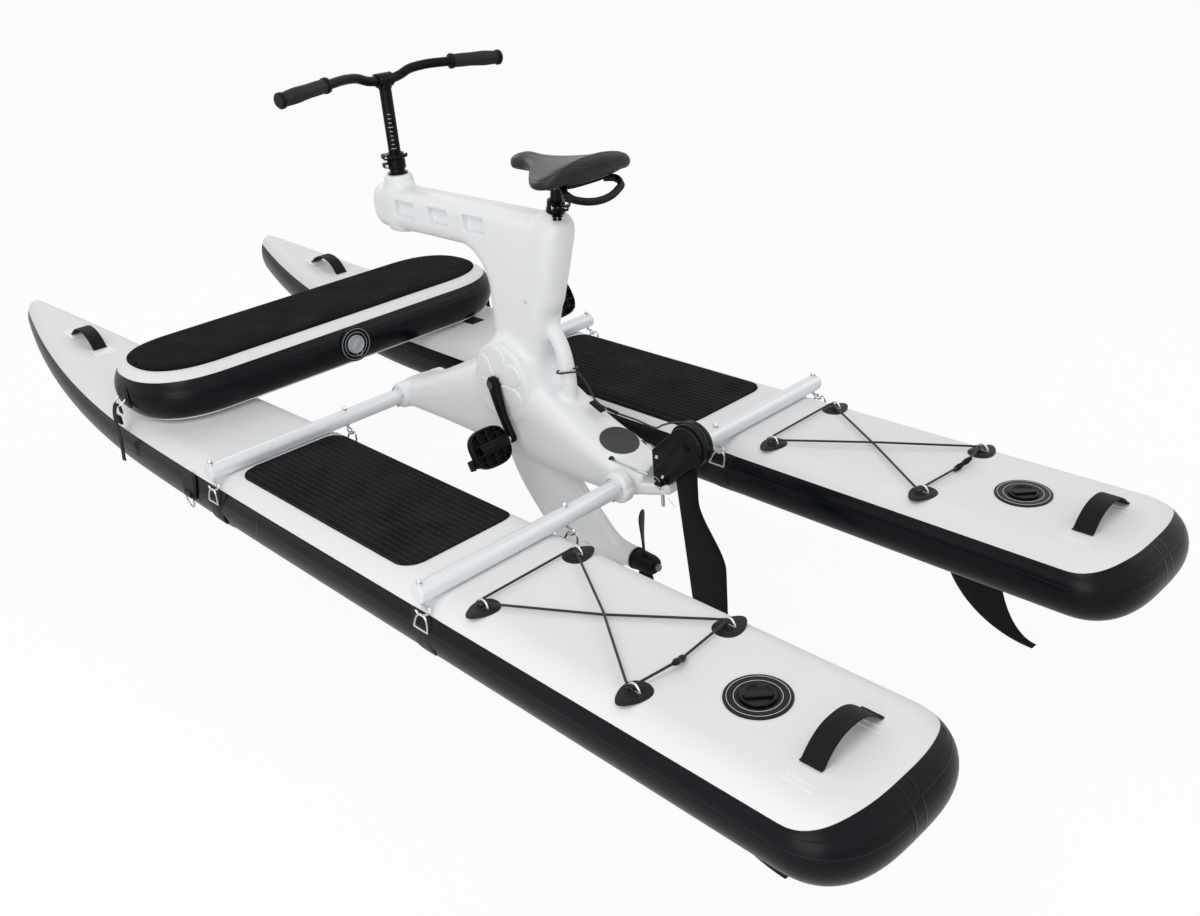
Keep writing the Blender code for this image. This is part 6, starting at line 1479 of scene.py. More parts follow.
    def build_pad(self) -> None:
        """The grooved foam pad between the bars: a rounded rectangle laid over deck and rail crown."""
        half_y, half_x, corner, thick, ease = 0.3425, 0.146, 0.045, 0.0046, 0.0016
        turn = np.linspace(0, math.pi / 2, 12)
        ends = half_y - corner + corner * np.sin(turn)
        station = np.concatenate([-ends[::-1], np.linspace(-half_y + corner, half_y - corner, 24)[1:-1], ends])
        past = np.clip(np.abs(station) - (half_y - corner), 0, corner)
        half = half_x - corner + np.sqrt(corner**2 - past**2)
        t = np.linspace(-1, 1, 29)
        shift = -self.side * 0.0132
        x = t[None] * half[:, None] + shift
        y = np.broadcast_to(station[:, None] + 0.4575, x.shape)
        under = np.stack([x, y, self.hull.deck_height(x, y) + 0.0003], axis=-1)[:, ::-1]
        top_x = t[None] * (half - ease)[:, None] + shift
        top_y = y - np.sign(station)[:, None] * np.where(past[:, None] > corner * 0.9, ease, 0)
        lift = thick - 0.0012 * (np.abs(t[None]) > 0.999)
        top = np.stack([top_x, top_y, self.hull.deck_height(top_x, y) + lift], axis=-1)
        form = Form().skin(np.concatenate([under, top], axis=1) + ACROSS * self.side * self.middle)
        pad = form.made(f"foam_pad_{self.word}", (GROOVED_FOAM,), "craft", (f"deck_pad_{self.word}",), "foam")
        plan_map(pad)

    def build_cord(self) -> None:
        """The shock cord laced through the four deck rings, with its joining clip."""
        rear, front = self.patch_ys
        middle = self.deck((front + rear) / 2)
        start = self.deck(rear) + np.array([self.side * 0.012, -0.006, 0.0100])
        end = self.deck(rear) + np.array([self.side * 0.030, -0.012, 0.0170])
        route = [start, *self.laced(-1.0, rear), middle + UP * 0.0065, *self.laced(1.0, front),
                 *self.laced(-1.0, front)[::-1], middle + UP * 0.0145, *self.laced(1.0, rear)[::-1], end]
        line = smooth_route(taut(route), 320)
        size = float(np.linalg.norm(line[-1] - line[0]))
        body = [(-0.016, 0.0), (-0.016, 0.0032), (-0.006, 0.0060), (0.001, 0.0066), (size / 2, 0.0044),
                (size - 0.001, 0.0066), (size + 0.006, 0.0060), (size + 0.016, 0.0032), (size + 0.016, 0.0)]
        clip = Form().turned(line[0], unit(line[-1] - line[0]), body, 0.003, 28)
        joint = clip.made(f"cord_clip_{self.word}", (BLACK_NYLON,), "craft", (), "black_plastic")
        cord_piece(f"shock_cord_{self.word}", line, self.cord_radius, SHOCK_CORD, (f"bungee_{self.word}",), "cord")

    def laced(self, outward: float, ring_y: float) -> list[Array]:
        """Route points round the forward leg of a deck ring, from its aft side to its forward side.

        Args:
            outward: 1 for the rings on the outer side, -1 for the inner.
            ring_y: The ring's place along the craft.

        Returns:
            The route points.
        """
        out = self.side * outward
        ring_x = self.side * self.middle + out * (self.patch_x - 0.004)
        lift = self.hull.top + 0.0092
        leg_y = ring_y + 0.013 * 0.89
        wrap = self.cord_radius + 0.0018 + 0.0006
        return [np.array([ring_x + out * wrap * math.cos(turn), leg_y + wrap * math.sin(turn), lift])
                for turn in np.radians((-90, -45, 0, 45, 90))]

    def build_fin(self) -> None:
        """A swept tracking fin: both edges are quarter ellipses that sweep aft, on a slide-in base."""
        top = self.hull.top - 2 * self.hull.radius - 0.0003
        turn = np.linspace(0, math.pi / 2, 36)[:, None]
        a = turns(40)[None]
        share = 0.5 - 0.5 * np.cos(a)
        front, rear = -0.485 - 0.230 * (1 - np.cos(turn)), -0.625 - 0.100 * (1 - np.cos(turn))
        deep = (0.212 - 0.015 * share) * np.sin(turn)
        x = self.side * self.middle + 0.0045 * (1 - turn / math.pi) * np.sin(a) * np.abs(np.cos(a / 2)) ** 0.4
        grid = np.stack(np.broadcast_arrays(x, front + (rear - front) * share, top - 0.0045 - deep), axis=-1)
        form = Form().skin(grid)
        base = plate(rounded_box(0.092, 0.022, 0.012), 0.009, 0.003)
        form.skin(laid(base, (self.side * self.middle, -0.555, top), AHEAD, ACROSS, -UP))
        form.made(f"tracking_fin_{self.word}", (BLACK_NYLON,), "craft", (f"fin_{self.word}",), "black_plastic")


def plan_map(piece: bpy.types.Object) -> None:
    """Gives a piece a flat map over its plan, in metres, so that grooves run to the bow.

    Args:
        piece: The piece.
    """
    mesh = piece.data
    corner = np.empty(len(mesh.loops), np.int32)
    mesh.loops.foreach_get("vertex_index", corner)
    co = np.empty(len(mesh.vertices) * 3, np.float32)
    mesh.vertices.foreach_get("co", co)
    plan = co.reshape(-1, 3)[corner][:, [1, 0]]
    mesh.uv_layers[0].uv.foreach_set("vector", plan.ravel())


def cord_piece(name: str, line: Array, radius: float, finish: Finish, nodes: Sequence[str], slot: str,
               body: str = "craft", bent: Optional[tuple[str, Array, Array]] = None) -> bpy.types.Object:
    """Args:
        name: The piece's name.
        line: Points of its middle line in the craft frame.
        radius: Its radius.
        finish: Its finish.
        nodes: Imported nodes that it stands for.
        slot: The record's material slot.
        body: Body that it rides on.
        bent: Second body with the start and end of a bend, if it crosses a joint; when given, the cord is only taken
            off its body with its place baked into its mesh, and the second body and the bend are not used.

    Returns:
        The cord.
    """
    piece = Form().skin(round_tube(line, radius)).made(name, (finish,), body, nodes, slot)
    if bent is not None:
        place = piece.matrix_world.copy()
        piece.parent = None
        piece.matrix_world = place
        CRAFT.world(bent[1])
        CRAFT.world(bent[2])
        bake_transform(piece)
    path = [list(CRAFT.world(p)) for p in line]
    return piece


def round_tube(line: Array, radius: float, sides: int = 12) -> Array:
    """Rings round a line that may turn every way: each ring starts where the last did, made square again.

    Args:
        line: Points of the middle line.
        radius: The tube's radius.
        sides: Points round it.

    Returns:
        A grid of points, ring by ring.
    """
    ahead = unit(np.gradient(line, axis=0))
    start = [unit(np.cross(ahead[0], UP if abs(ahead[0][2]) < 0.9 else ACROSS))]
    for way in ahead[1:]:
        start.append(unit(start[-1] - way * float(way @ start[-1])))
    start = np.array(start)
    turn = turns(sides)[None, :, None]
    return line[:, None] + radius * (np.cos(turn) * start[:, None] + np.sin(turn) * np.cross(ahead, start)[:, None])


# Cross bars


@dataclass
class CrossBar:
    """A powder-coated tube with end plugs, four bolts with hooks, and the wire pins at its sockets."""

    word: str
    y: float
    socket: float
    length: float = 1.250
    radius: float = 0.020
    bolts: tuple[float, float] = (0.2398, 0.6146)

    def build(self) -> None:
        """Makes the tube, its bolts and the socket pins."""
        half = self.length / 2
        line = eased([(0, 0.0), (0, 0.0175), (0.0012, 0.0193), (0.0030, 0.0194), (0.0034, 0.0200),
                      (0.012, self.radius), (half, self.radius)], 0.0005)
        back = np.column_stack([self.length - line[::-1, 0], line[::-1, 1]])
        form = Form().skin(lathe((-half, self.y, 0), ACROSS, np.vstack([line, back[1:]]), 96))
        form.made(f"tube_{self.word}", (BAR_COAT,), "craft", (f"bar_{self.word}",), "bar_paint")
        for word, side in SIDES:
            for place, x in (("inner", self.bolts[0]), ("outer", self.bolts[1])):
                self.hook(word, side, place, x)
            self.socket_pin(word, side)

    def hook(self, word: str, side: float, place: str, x: float) -> None:
        """A bolt through the tube with a domed nut on top and a wire hook below.

        Args:
            word: Word for the side in the piece's name.
            side: 1 for starboard, -1 for port.
            place: Either inner or outer.
            x: Distance from the middle.
        """
        out = side if place == "outer" else -side
        top = np.array([side * x, self.y, 0.0])
        form = Form()
        nut = [(0.0195, 0.0), (0.0195, 0.0072), (0.0205, 0.0074), (0.0208, 0.0062), (0.0262, 0.0062),
               (0.0280, 0.0046), (0.0305, 0.0030), (0.0312, 0.0)]
        collar = [(-0.0255, 0.0), (-0.0255, 0.0052), (-0.0205, 0.0052), (-0.0200, 0.0)]
        form.turned(top, UP, nut, 0.0012, 24)
        form.skin(lathe(top, UP, [(-0.030, 0.0030), (0.022, 0.0030)], 20))
        form.turned(top, UP, collar, 0.0008, 6)
        # Route of the hook: share of the way to the ring, then metres aft and below
        ring = side * PONTOON_X + out * (DECK_HALF + RAIL_RADIUS)
        share = np.array([0.0, 0.0, 0.03, 0.15, 0.43, 0.76, 0.97, 1.0])
        astern = np.array([0.0, -0.0035, -0.0195, -0.0230, -0.0165, -0.0059, 0.0019, 0.0069])
        below = np.array([-0.0240, -0.0275, -0.0290, -0.0345, -0.0405, -0.0440, -0.0419, -0.0368])
        route = np.stack([side * x + (ring - side * x) * share, self.y + astern, below], axis=1)
        path, radii = domed_ends(smooth_route(route, 60), 0.0023)
        form.skin(sweep(path, radii, AHEAD, 1.0, 16))
        name = f"{self.word}_{word}_{place}"
        form.made(f"bar_hook_{name}", (STAINLESS,), "craft", (f"hook_{name}",), "stainless")

    def socket_pin(self, word: str, side: float) -> None:
        """A locking pin through the socket and its spring wire ring round the tube.

        Args:
            word: Word for the side in the piece's name.
            side: 1 for starboard, -1 for port.
        """
        turn = np.linspace(0.2, 2 * math.pi - 0.2, 70)
        x, size = side * (self.socket + 0.004 + 0.005 * np.cos(turn)), 0.0245
        path = np.stack([x, self.y + size * np.sin(turn), size * np.cos(turn) + 0.001], axis=1)
        form = Form().skin(sweep(path, 0.0011, ACROSS, 1.0, 12))
        pin = [(0.020, 0.0), (0.020, 0.0034), (0.0275, 0.0034), (0.029, 0.0022), (0.0292, 0.0)]
        form.turned((side * (self.socket + 0.009), self.y, 0.0), -UP, pin, 0.0008, 20)
        form.made(f"socket_pin_{self.word}_{word}", (STAINLESS,), "craft", (), "stainless")


# Bench


@dataclass
class Bench:
    """The inflatable cross bench with its foam pad, valve, end rings and tie-down straps."""

    y: float = 1.322
    edge: float = 0.152
    ring_rise: float = 0.026
    wire: float = 0.0022
    hull: BenchHull = field(default_factory=BenchHull)
    middle: float = 0.0

    def __post_init__(self) -> None:
        """Sets the bench on the rising decks."""
        pontoon = PontoonHull()
        bed = pontoon.top + float(pontoon.rise(self.y + self.hull.half_width - 0.75 * self.hull.radius))
        self.middle = bed + 0.0003 + self.hull.radius
        self.hull.top = self.middle + self.hull.radius

    def put(self, points: Array) -> Array:
        """Points of a board built along +Y, turned to lie across the craft."""
        return np.stack([points[..., 1], self.y - points[..., 0], points[..., 2]], axis=-1)

    def build(self) -> None:
        """Makes the board, pad and straps."""
        form = Form()
        rings, marks = self.hull.rings()
        form.skin(self.put(rings), 0, marks=marks, capped=False)
        spot = np.array([0.0, self.y - self.hull.half_width, self.middle])
        valve_into(form, spot, -AHEAD, 0.050, 2, 3, 5)
        tether = np.array([[-0.006, -0.006, -0.004], [-0.010, -0.012, -0.016], [-0.004, -0.011, -0.030],
                           [0.008, -0.009, -0.034], [0.014, -0.007, -0.026], [0.010, -0.005, -0.012]]) + spot
        form.skin(round_tube(smooth_route(tether, 40), 0.0009, 10), 3)
        for _, side in SIDES:
            self.end_ring(form, side)
        skin = HullFinish("drop_stitch_pvc_bench", 41.0, -50.0, joints=(0.62, 1.03, -0.62, -1.03))
        form.made("bench_board", (skin, PATCH_PVC, BLACK_ABS, GREY_ABS, STAINLESS, PALE_INK), "craft", ("bench",),
                  "hull_pvc", 50.0)
        reach = (self.edge - (self.hull.half_width - self.hull.radius)) / (self.hull.radius + 0.004)
        pad = Form().skin(self.put(self.hull.cover(math.acos(reach), 0.0003, 0.0046, 0.03)))
        piece = pad.made("bench_foam", (NAPPED_FOAM,), "craft", ("bench_pad",), "foam")
        plan_map(piece)
        for word, side in SIDES:
            self.strap(word, side)

    def end_ring(self, form: Form, side: float) -> None:
        """A round patch on the end rail with its square ring for the strap.

        Args:
            form: The form that gets it.
            side: 1 for starboard, -1 for port.
        """
        r = self.hull.radius
        middle = np.array([side * (self.hull.half_length - r), self.y, self.middle])
        for size, thick in ((0.036, 0.0012), (0.027, 0.0022)):
            form.skin(wrapped(plate(disc(size), thick, 0.0008), middle, side, r), 1)
        spot = np.array([side * (self.hull.half_length + 0.002), self.y, self.middle])
        ring_into(form, spot, AHEAD, unit(np.array([side * 0.8, 0, -0.6])), 0.020, self.ring_rise, self.wire, 4, 0.45)
        rib = np.linspace(-0.024, 0.024, 12)[:, None] * AHEAD + spot
        form.skin(sweep(rib, 0.0050, UP, 0.55, 20), 1)

    def strap(self, word: str, side: float) -> None:
        """A webbing strap folded over the ring and led down past the pontoon's rail.

        Args:
            word: Word for the side in the piece's name.
            side: 1 for starboard, -1 for port.
        """
        rise = 0.97 * self.ring_rise
        ring = np.array([self.hull.half_length + 0.002 + 0.8 * rise, self.y, self.middle - 0.6 * rise])
        wrap = self.wire + 0.0012 + 0.0003
        turn = np.radians(np.array([170, 130, 90, 50, 10.0]))
        round_ring = ring + wrap * np.stack([np.cos(turn), 0 * turn, np.sin(turn)], axis=1)
        foot = PONTOON_X + DECK_HALF + RAIL_RADIUS + 0.0040
        route = np.vstack([[ring + np.array([-wrap - 0.003, 0.0, -0.026])], round_ring,
                           [[foot, self.y, DECK_TOP - 0.035], [foot + 0.008, self.y - 0.006, DECK_TOP - 0.090]]])
        path = on_side(smooth_route(route, 70), side)
        form = Form().skin(ribbon(path, AHEAD, 0.022, 0.0024))
        buckle = plate(rounded_box(0.0145, 0.0125, 0.004), 0.0062, 0.002, 0.001)
        spot = on_side(ring + np.array([0.0008, 0.0, -0.040]), side)
        form.skin(laid(buckle, spot, AHEAD, UP, side * ACROSS), 1)
        form.made(f"bench_tie_{word}", (WEBBING, BLACK_NYLON), "craft", (f"bench_strap_{word}",), "webbing")


# Bike body and drive


def oval(q: Array, half: Array, power: Union[float, Array]) -> Array:
    """Distance from a superellipse's edge along the ray from its middle.

    Args:
        q: Points across the section.
        half: Half-widths of the section.
        power: 2 gives an ellipse.

    Returns:
        The distance at each point, negative inside.
    """
    size = np.linalg.norm(q, axis=-1)
    power = np.asarray(power, float)
    norm = np.sum((np.abs(q) / half) ** power[..., None], axis=-1) ** (1 / power)
    return size - size / np.maximum(norm, 1e-9)


@dataclass
class BikeBody:
    """The one-piece moulded body: hull-shaped nacelle, seat column, top beam and tubes, blended together."""

    nose: float = 0.872
    tail: float = -0.088
    half_width: float = 0.070
    beam: tuple[float, float] = (0.441, 0.549)
    beam_half: float = 0.040
    column_half: float = 0.0425
    fillet: float = 0.090
    seat_lean: float = 12.0
    pockets: tuple[float, float, float] = (0.723, 0.592, 0.460)
    pocket_z: float = 0.502
    hatch_y: float = 0.074
    hatch_radius: float = 0.046

    def seat_way(self) -> Array:
        """Unit way up the seat post."""
        lean = math.radians(self.seat_lean)
        return np.array([0.0, -math.sin(lean), math.cos(lean)])

    def hatch_place(self) -> tuple[Array, Array]:
        """Middle of the hatch on the rear deck, and the deck's normal.

        Returns:
            The middle and the unit normal.
        """
        reach = CRANK[0] - self.tail
        t = (CRANK[0] - self.hatch_y) / reach
        spot = np.array([0.0, self.hatch_y, 0.022 + 0.210 * (1 - t) ** 1.7 + 0.0015])
        return spot, unit(np.array([0.0, -1.7 * 0.210 * (1 - t) ** 0.7 / reach, 1.0]))

    def nacelle(self, p: Array) -> Array:
        """The lower body: its top and keel are powers of the distance from the crank to each end.

        Args:
            p: Points with x, y and z along the last axis.

        Returns:
            The distance at each point, negative inside.
        """
        y = np.clip(p[..., 1], self.tail, self.nose)
        ahead = np.clip((self.nose - y) / (self.nose - CRANK[0]), 0, 1)
        behind = np.clip((CRANK[0] - y) / (CRANK[0] - self.tail), 0, 1)
        front = y > CRANK[0]
        top = np.where(front, 0.026 + 0.206 * ahead**1.3, 0.022 + 0.210 * (1 - behind) ** 1.7)
        low = np.where(front, -0.036 - 0.028 * ahead**1.5, -0.064 + 0.042 * behind**2.4)
        blunt = np.minimum(1, (self.nose - y + 0.0035) / 0.045) ** 0.42
        narrow = np.minimum(1, (y - self.tail + 0.018) / 0.150) ** 0.62
        close = 0.35 + 0.65 * np.minimum(1, (self.nose - y + 0.002) / 0.030) ** 0.5
        half = np.stack([self.half_width * blunt * narrow, (top - low) / 2 * close], axis=-1)
        q = np.stack([p[..., 0], p[..., 2] - (top + low) / 2], axis=-1)
        ends = np.abs(p[..., 1] - (self.nose + self.tail) / 2) - (self.nose - self.tail) / 2
        return common(oval(q, half, 2.7 + 0.9 * behind), ends, 0.010)

    def frame(self, p: Array) -> Array:
        """Column and beam: a side outline with a round gusset, given a width with rounded edges.

        Args:
            p: Points with x, y and z along the last axis.

        Returns:
            The distance at each point, negative inside.
        """
        y, z = p[..., 1], p[..., 2]
        # The column's back leans by 0.33, so that its distance is 1.053 times shorter than its offset
        rear = (0.290 - 0.33 * (z - 0.20) - y) / 1.053
        column = common(common(y - 0.443 - 0.10 * np.maximum(0, 0.25 - z), rear, 0.02),
                        np.abs(z - 0.3145) - 0.2145, 0.02)
        low, high = self.beam
        beam = common(np.abs(z - (low + high) / 2) - (high - low) / 2, np.abs(y - 0.5445) - 0.3275, 0.040)
        corner = np.maximum(np.abs(y - 0.3915) - 0.1415, np.abs(z - 0.4405) - 0.0895)
        outline = np.minimum(both(column, beam, 0.012), corner)
        outline = np.maximum(outline, self.fillet - np.hypot(y - 0.533, z - 0.351))
        share = np.clip((z - 0.15) / 0.35, 0, 1)
        half = self.column_half + (self.beam_half - self.column_half) * share
        return common(outline, np.abs(p[..., 0]) - half, 0.040)

    def shape(self, p: Array) -> Array:
        """The whole body's distance field.

        Args:
            p: Points with x, y and z along the last axis.

        Returns:
            The distance at each point, negative inside.
        """
        body = both(self.nacelle(p), self.frame(p), 0.055)
        body = both(body, drum(p, (0.0, *CRANK), ACROSS, (-0.0705, 0.0705), 0.0915, 0.006), 0.022)
        mirror = np.concatenate([np.abs(p[..., :1]), p[..., 1:]], axis=-1)
        for y, end, radius in ((FRONT_BAR_Y, 0.072, 0.032), (0.0, 0.092, 0.036)):
            body = both(body, drum(p, (0, y, 0), ACROSS, (-end, end), 0.0265, 0.006), 0.016)
            body = both(body, drum(mirror, (0, y, 0), ACROSS, (end - 0.024, end), radius, 0.007), 0.012)
        head = drum(p, (0, HEAD_Y, 0), UP, (self.beam[0], HEAD_TOP - 0.0005), 0.0345, 0.010)
        body = both(body, head, 0.016)
        way = self.seat_way()
        top = np.array([0.0, *SEAT_TOP])
        tube = top - way * np.array([[0.188], [0.110], [0.050], [0.014]])
        body = both(body, chain(p, tube, np.array([0.0240, 0.0310, 0.0345, 0.0350])), 0.020)
        body = both(body, drum(p, top, way, (-0.050, -0.0005), 0.0355, 0.010), 0.008)
        route = np.array([[0, 0.322, 0.335], [0, 0.270, 0.290], [0, 0.2385, 0.240], [0, 0.2265, 0.180],
                          [0, 0.2265, 0.100]])
        body = both(body, chain(p, smooth_route(route, 12), 0.0180), 0.014)
        spot, normal = self.hatch_place()
        body = both(body, drum(p, spot, normal, (-0.02, -0.0005), self.hatch_radius + 0.004, 0.003), 0.006)
        for y in self.pockets:
            hollow = block(mirror, (0.0510, y, self.pocket_z), (0.0300, 0.0375, 0.0185), 0.004)
            body = without(body, hollow, 0.003)
        wire = np.array([[0.0303, -0.0672, 0.0195], [0.0350, -0.0400, 0.0235], [0.0505, 0.0500, 0.0390]])
        body = without(body, chain(mirror, wire, 0.0040), 0.002)
        for y, z in ((0.301, 0.348), (0.217, 0.184)):
            body = without(body, drum(mirror, (0.030, y, z), ACROSS, (0.0, 0.040), 0.0045, 0.001), 0.001)
        tail = np.maximum(p[..., 1] + 0.0325, 0.0035 - p[..., 2])
        swing = np.maximum(np.hypot(p[..., 0], p[..., 1] + 0.050) - 0.024, 0.0035 - p[..., 2])
        return without(body, np.minimum(tail, swing), 0.004)

    def build(self) -> None:
        """Makes the moulding, its covers, hatch and cable grommets."""
        low, high = (-0.097, self.tail - 0.004, -0.075), (0.097, self.nose + 0.004, 0.578)
        form = moulded(self.shape, low, high, 0.0030)
        form.made("moulded_body", (WHITE_MOULDED,), "craft", ("bike_body",), "white_shell", 60.0)
        for word, side in SIDES:
            self.cover(word, side)
            self.grommet(word, side)
        spot, normal = self.hatch_place()
        plug = [(-0.012, 0.0), (-0.012, 0.040), (-0.004, 0.0455), (0.0022, 0.0455), (0.0042, 0.0435),
                (0.0030, 0.0400), (0.0014, 0.0385), (0.0018, 0.0)]
        form = Form().turned(spot, normal, plug, 0.0012, 72)
        form.made("hatch_plug_cap", (HATCH_GREY,), "craft", ("hatch_plug",), "black_plastic")

    def cover(self, word: str, side: float) -> None:
        """A domed side cover: height falls with the square of the radius, and six petals stand proud.

        Args:
            word: Word for the side in the piece's name.
            side: 1 for starboard, -1 for port.
        """
        share = np.concatenate([[1.0, 1.0, 0.985, 0.965], np.linspace(0.95, 0.18, 64), [0.165, 0.158]])[:, None]
        turn = turns(300)[None]
        spread, taper, reach, soft, proud = 0.518, 0.46, 0.64, 0.036, 0.0026
        rise = 0.0075 * (1 - share**2) + 0.003
        rise[0], rise[1], rise[2] = -0.0006, 0.0016, 0.0028
        petal = np.zeros((len(share), turn.shape[1]))
        for lean in np.radians(33.0 + 60.0 * np.arange(6)):
            along, off = share * np.cos(turn - lean), share * np.abs(np.sin(turn - lean))
            near = np.clip(along + off * spread, 0.0, reach)
            gap = np.hypot(along - near, off) - taper * near
            petal = np.maximum(petal, np.clip(0.5 - gap / soft, 0.0, 1.0))
        x = 0.0705 + rise + proud * petal**2 * (3 - 2 * petal)
        radius = 0.088 * share
        grid = np.stack(np.broadcast_arrays(side * x, CRANK[0] + radius * np.cos(turn),
                                            CRANK[1] + radius * np.sin(turn)), axis=-1)
        boss = [(0.074, 0.0), (0.074, 0.0165), (0.0822, 0.0165), (0.0832, 0.0155), (0.0832, 0.0)]
        form = Form().skin(grid).turned((0, *CRANK), side * ACROSS, boss, 0.0008, 48, 1)
        form.made(f"side_cover_dome_{word}", (WHITE_MOULDED, BLACK_NYLON), "craft", (f"side_cover_{word}",),
                  "white_shell")

    def grommet(self, word: str, side: float) -> None:
        """The rubber grommet where a steering cable leaves the body.

        Args:
            word: Word for the side in the piece's name.
            side: 1 for starboard, -1 for port.
        """
        way = unit(on_side(np.array([0.46, -0.35, 0.81]), side))
        spot = on_side(np.array([0.0510, 0.0500, 0.0398]), side)
        profile = [(-0.010, 0.0), (-0.010, 0.0062), (0.0005, 0.0072), (0.0022, 0.0062), (0.0026, 0.0024),
                   (0.0, 0.0022), (0.0, 0.0)]
        Form().turned(spot, way, profile, 0.0008, 32).made(f"cable_grommet_{word}", (RUBBER,), "craft")


@dataclass
class Drive:
    """The leg under the body and its propeller."""

    apex_y: float = 0.215
    axis_z: float = -0.237
    hub_y: float = 0.050
    hub_radius: float = 0.025
    reach: float = 0.135
    leg_half: float = 0.030

    def leg(self, p: Array) -> Array:
        """The leg: front edge falls back as a power of depth, rear edge swings forward in a soft S.

        Args:
            p: Points with x, y and z along the last axis.

        Returns:
            The distance at each point, negative inside.
        """
        z = np.clip(p[..., 2], -0.300, -0.020)
        front = 0.462 - 1.68 * np.maximum(0, -0.075 - z) ** 1.495
        turn = np.clip((-0.0505 - z) / 0.204, 0, 1)
        rear = 0.232 - 0.142 * turn**2 * (3 - 2 * turn) + 0.05 * np.maximum(0, (-0.262 - z) / 0.038) ** 2
        share = (1 - np.clip((-z - 0.10) / 0.21, 0, 0.97) ** 6) ** 0.6
        half = np.stack([self.leg_half * share, (front - rear) / 2], axis=-1)
        q = np.stack([p[..., 0], p[..., 1] - (front + rear) / 2], axis=-1)
        strut = common(oval(q, half, 2.4), np.abs(p[..., 2] + 0.160) - 0.140, 0.012)
        start = np.array([0.0, *CRANK])
        low = np.array([0.0, self.apex_y, self.axis_z])
        way = unit(low - start)
        tube = drum(p, start, way, (0.20, float(np.linalg.norm(low - start)) - 0.06), 0.0150, 0.004)
        t = self.apex_y + 0.060 - p[..., 1]
        nose = np.clip(t / 0.085, 0, 1)
        radius = 0.029 * np.sqrt(np.clip(1 - (1 - nose) ** 2.2, 0.0, 1)) - 0.0035 * np.clip((t - 0.09) / 0.13, 0, 1)
        bullet = common(np.hypot(p[..., 0], p[..., 2] - self.axis_z) - radius, np.abs(t - 0.1125) - 0.1125, 0.003)
        shape = both(both(strut, tube, 0.02), bullet, 0.030)
        for y, z0 in ((0.325, -0.188), (0.178, -0.238)):
            away = np.stack([np.abs(p[..., 0]) - 0.036, p[..., 1] - y, p[..., 2] - z0], axis=-1)
            shape = without(shape, np.linalg.norm(away, axis=-1) - 0.0125, 0.003)
        return shape

    def build(self) -> None:
        """Makes the leg and propeller."""
        form = moulded(self.leg, (-0.036, 0.046, -0.304), (0.036, 0.470, -0.018), 0.0024)
        form.made("leg_moulding", (WHITE_MOULDED,), "craft", ("drive_leg",), "white_shell", 60.0)
        self.propeller()

    def propeller(self) -> None:
        """Hub turned from a tapered profile; a blade's chord, twist and thickness change with its radius."""
        start = self.hub_y - 0.0073
        r = self.hub_radius
        profile = [(0, 0.0056), (0, r - 0.001), (0.0015, r), (0.045, r - 0.002), (0.056, 0.0195), (0.0578, 0.0150),
                   (0.0580, 0.0056)]
        form = Form().turned((0, start, self.axis_z), -AHEAD, profile, 0.002, 72)
        t = np.concatenate([np.linspace(0, 0.9, 24), 0.9 + 0.1 * np.sin(np.linspace(0.2, 1.45, 8))])[:, None]
        a = turns(36)[None]
        tip = np.sqrt(np.clip(1 - (np.maximum(t - 0.80, 0) / 0.205) ** 2, 0.02, 1))
        half = (0.0135 + 0.0095 * np.sin(math.pi * np.minimum(1, t * 1.15) / 2)) * tip
        pitch = np.radians(48.0 - 26.0 * t)
        thick = 0.0036 * (1 - 0.6 * t) * tip**0.5
        u, v = half * np.cos(a), thick * np.sin(a) * (1 - 0.3 * np.cos(a))
        x = u * np.cos(pitch) - v * np.sin(pitch)
        y = u * np.sin(pitch) + v * np.cos(pitch)
        radius = 0.016 + (self.reach - 0.016) * t + 0 * a
        for side in (1.0, -1.0):
            form.skin(np.stack([side * x, start - 0.022 + y, self.axis_z + side * radius], axis=-1))
        form.made("screw_propeller", (BLACK_NYLON,), "screw", ("propeller",), "black_plastic")


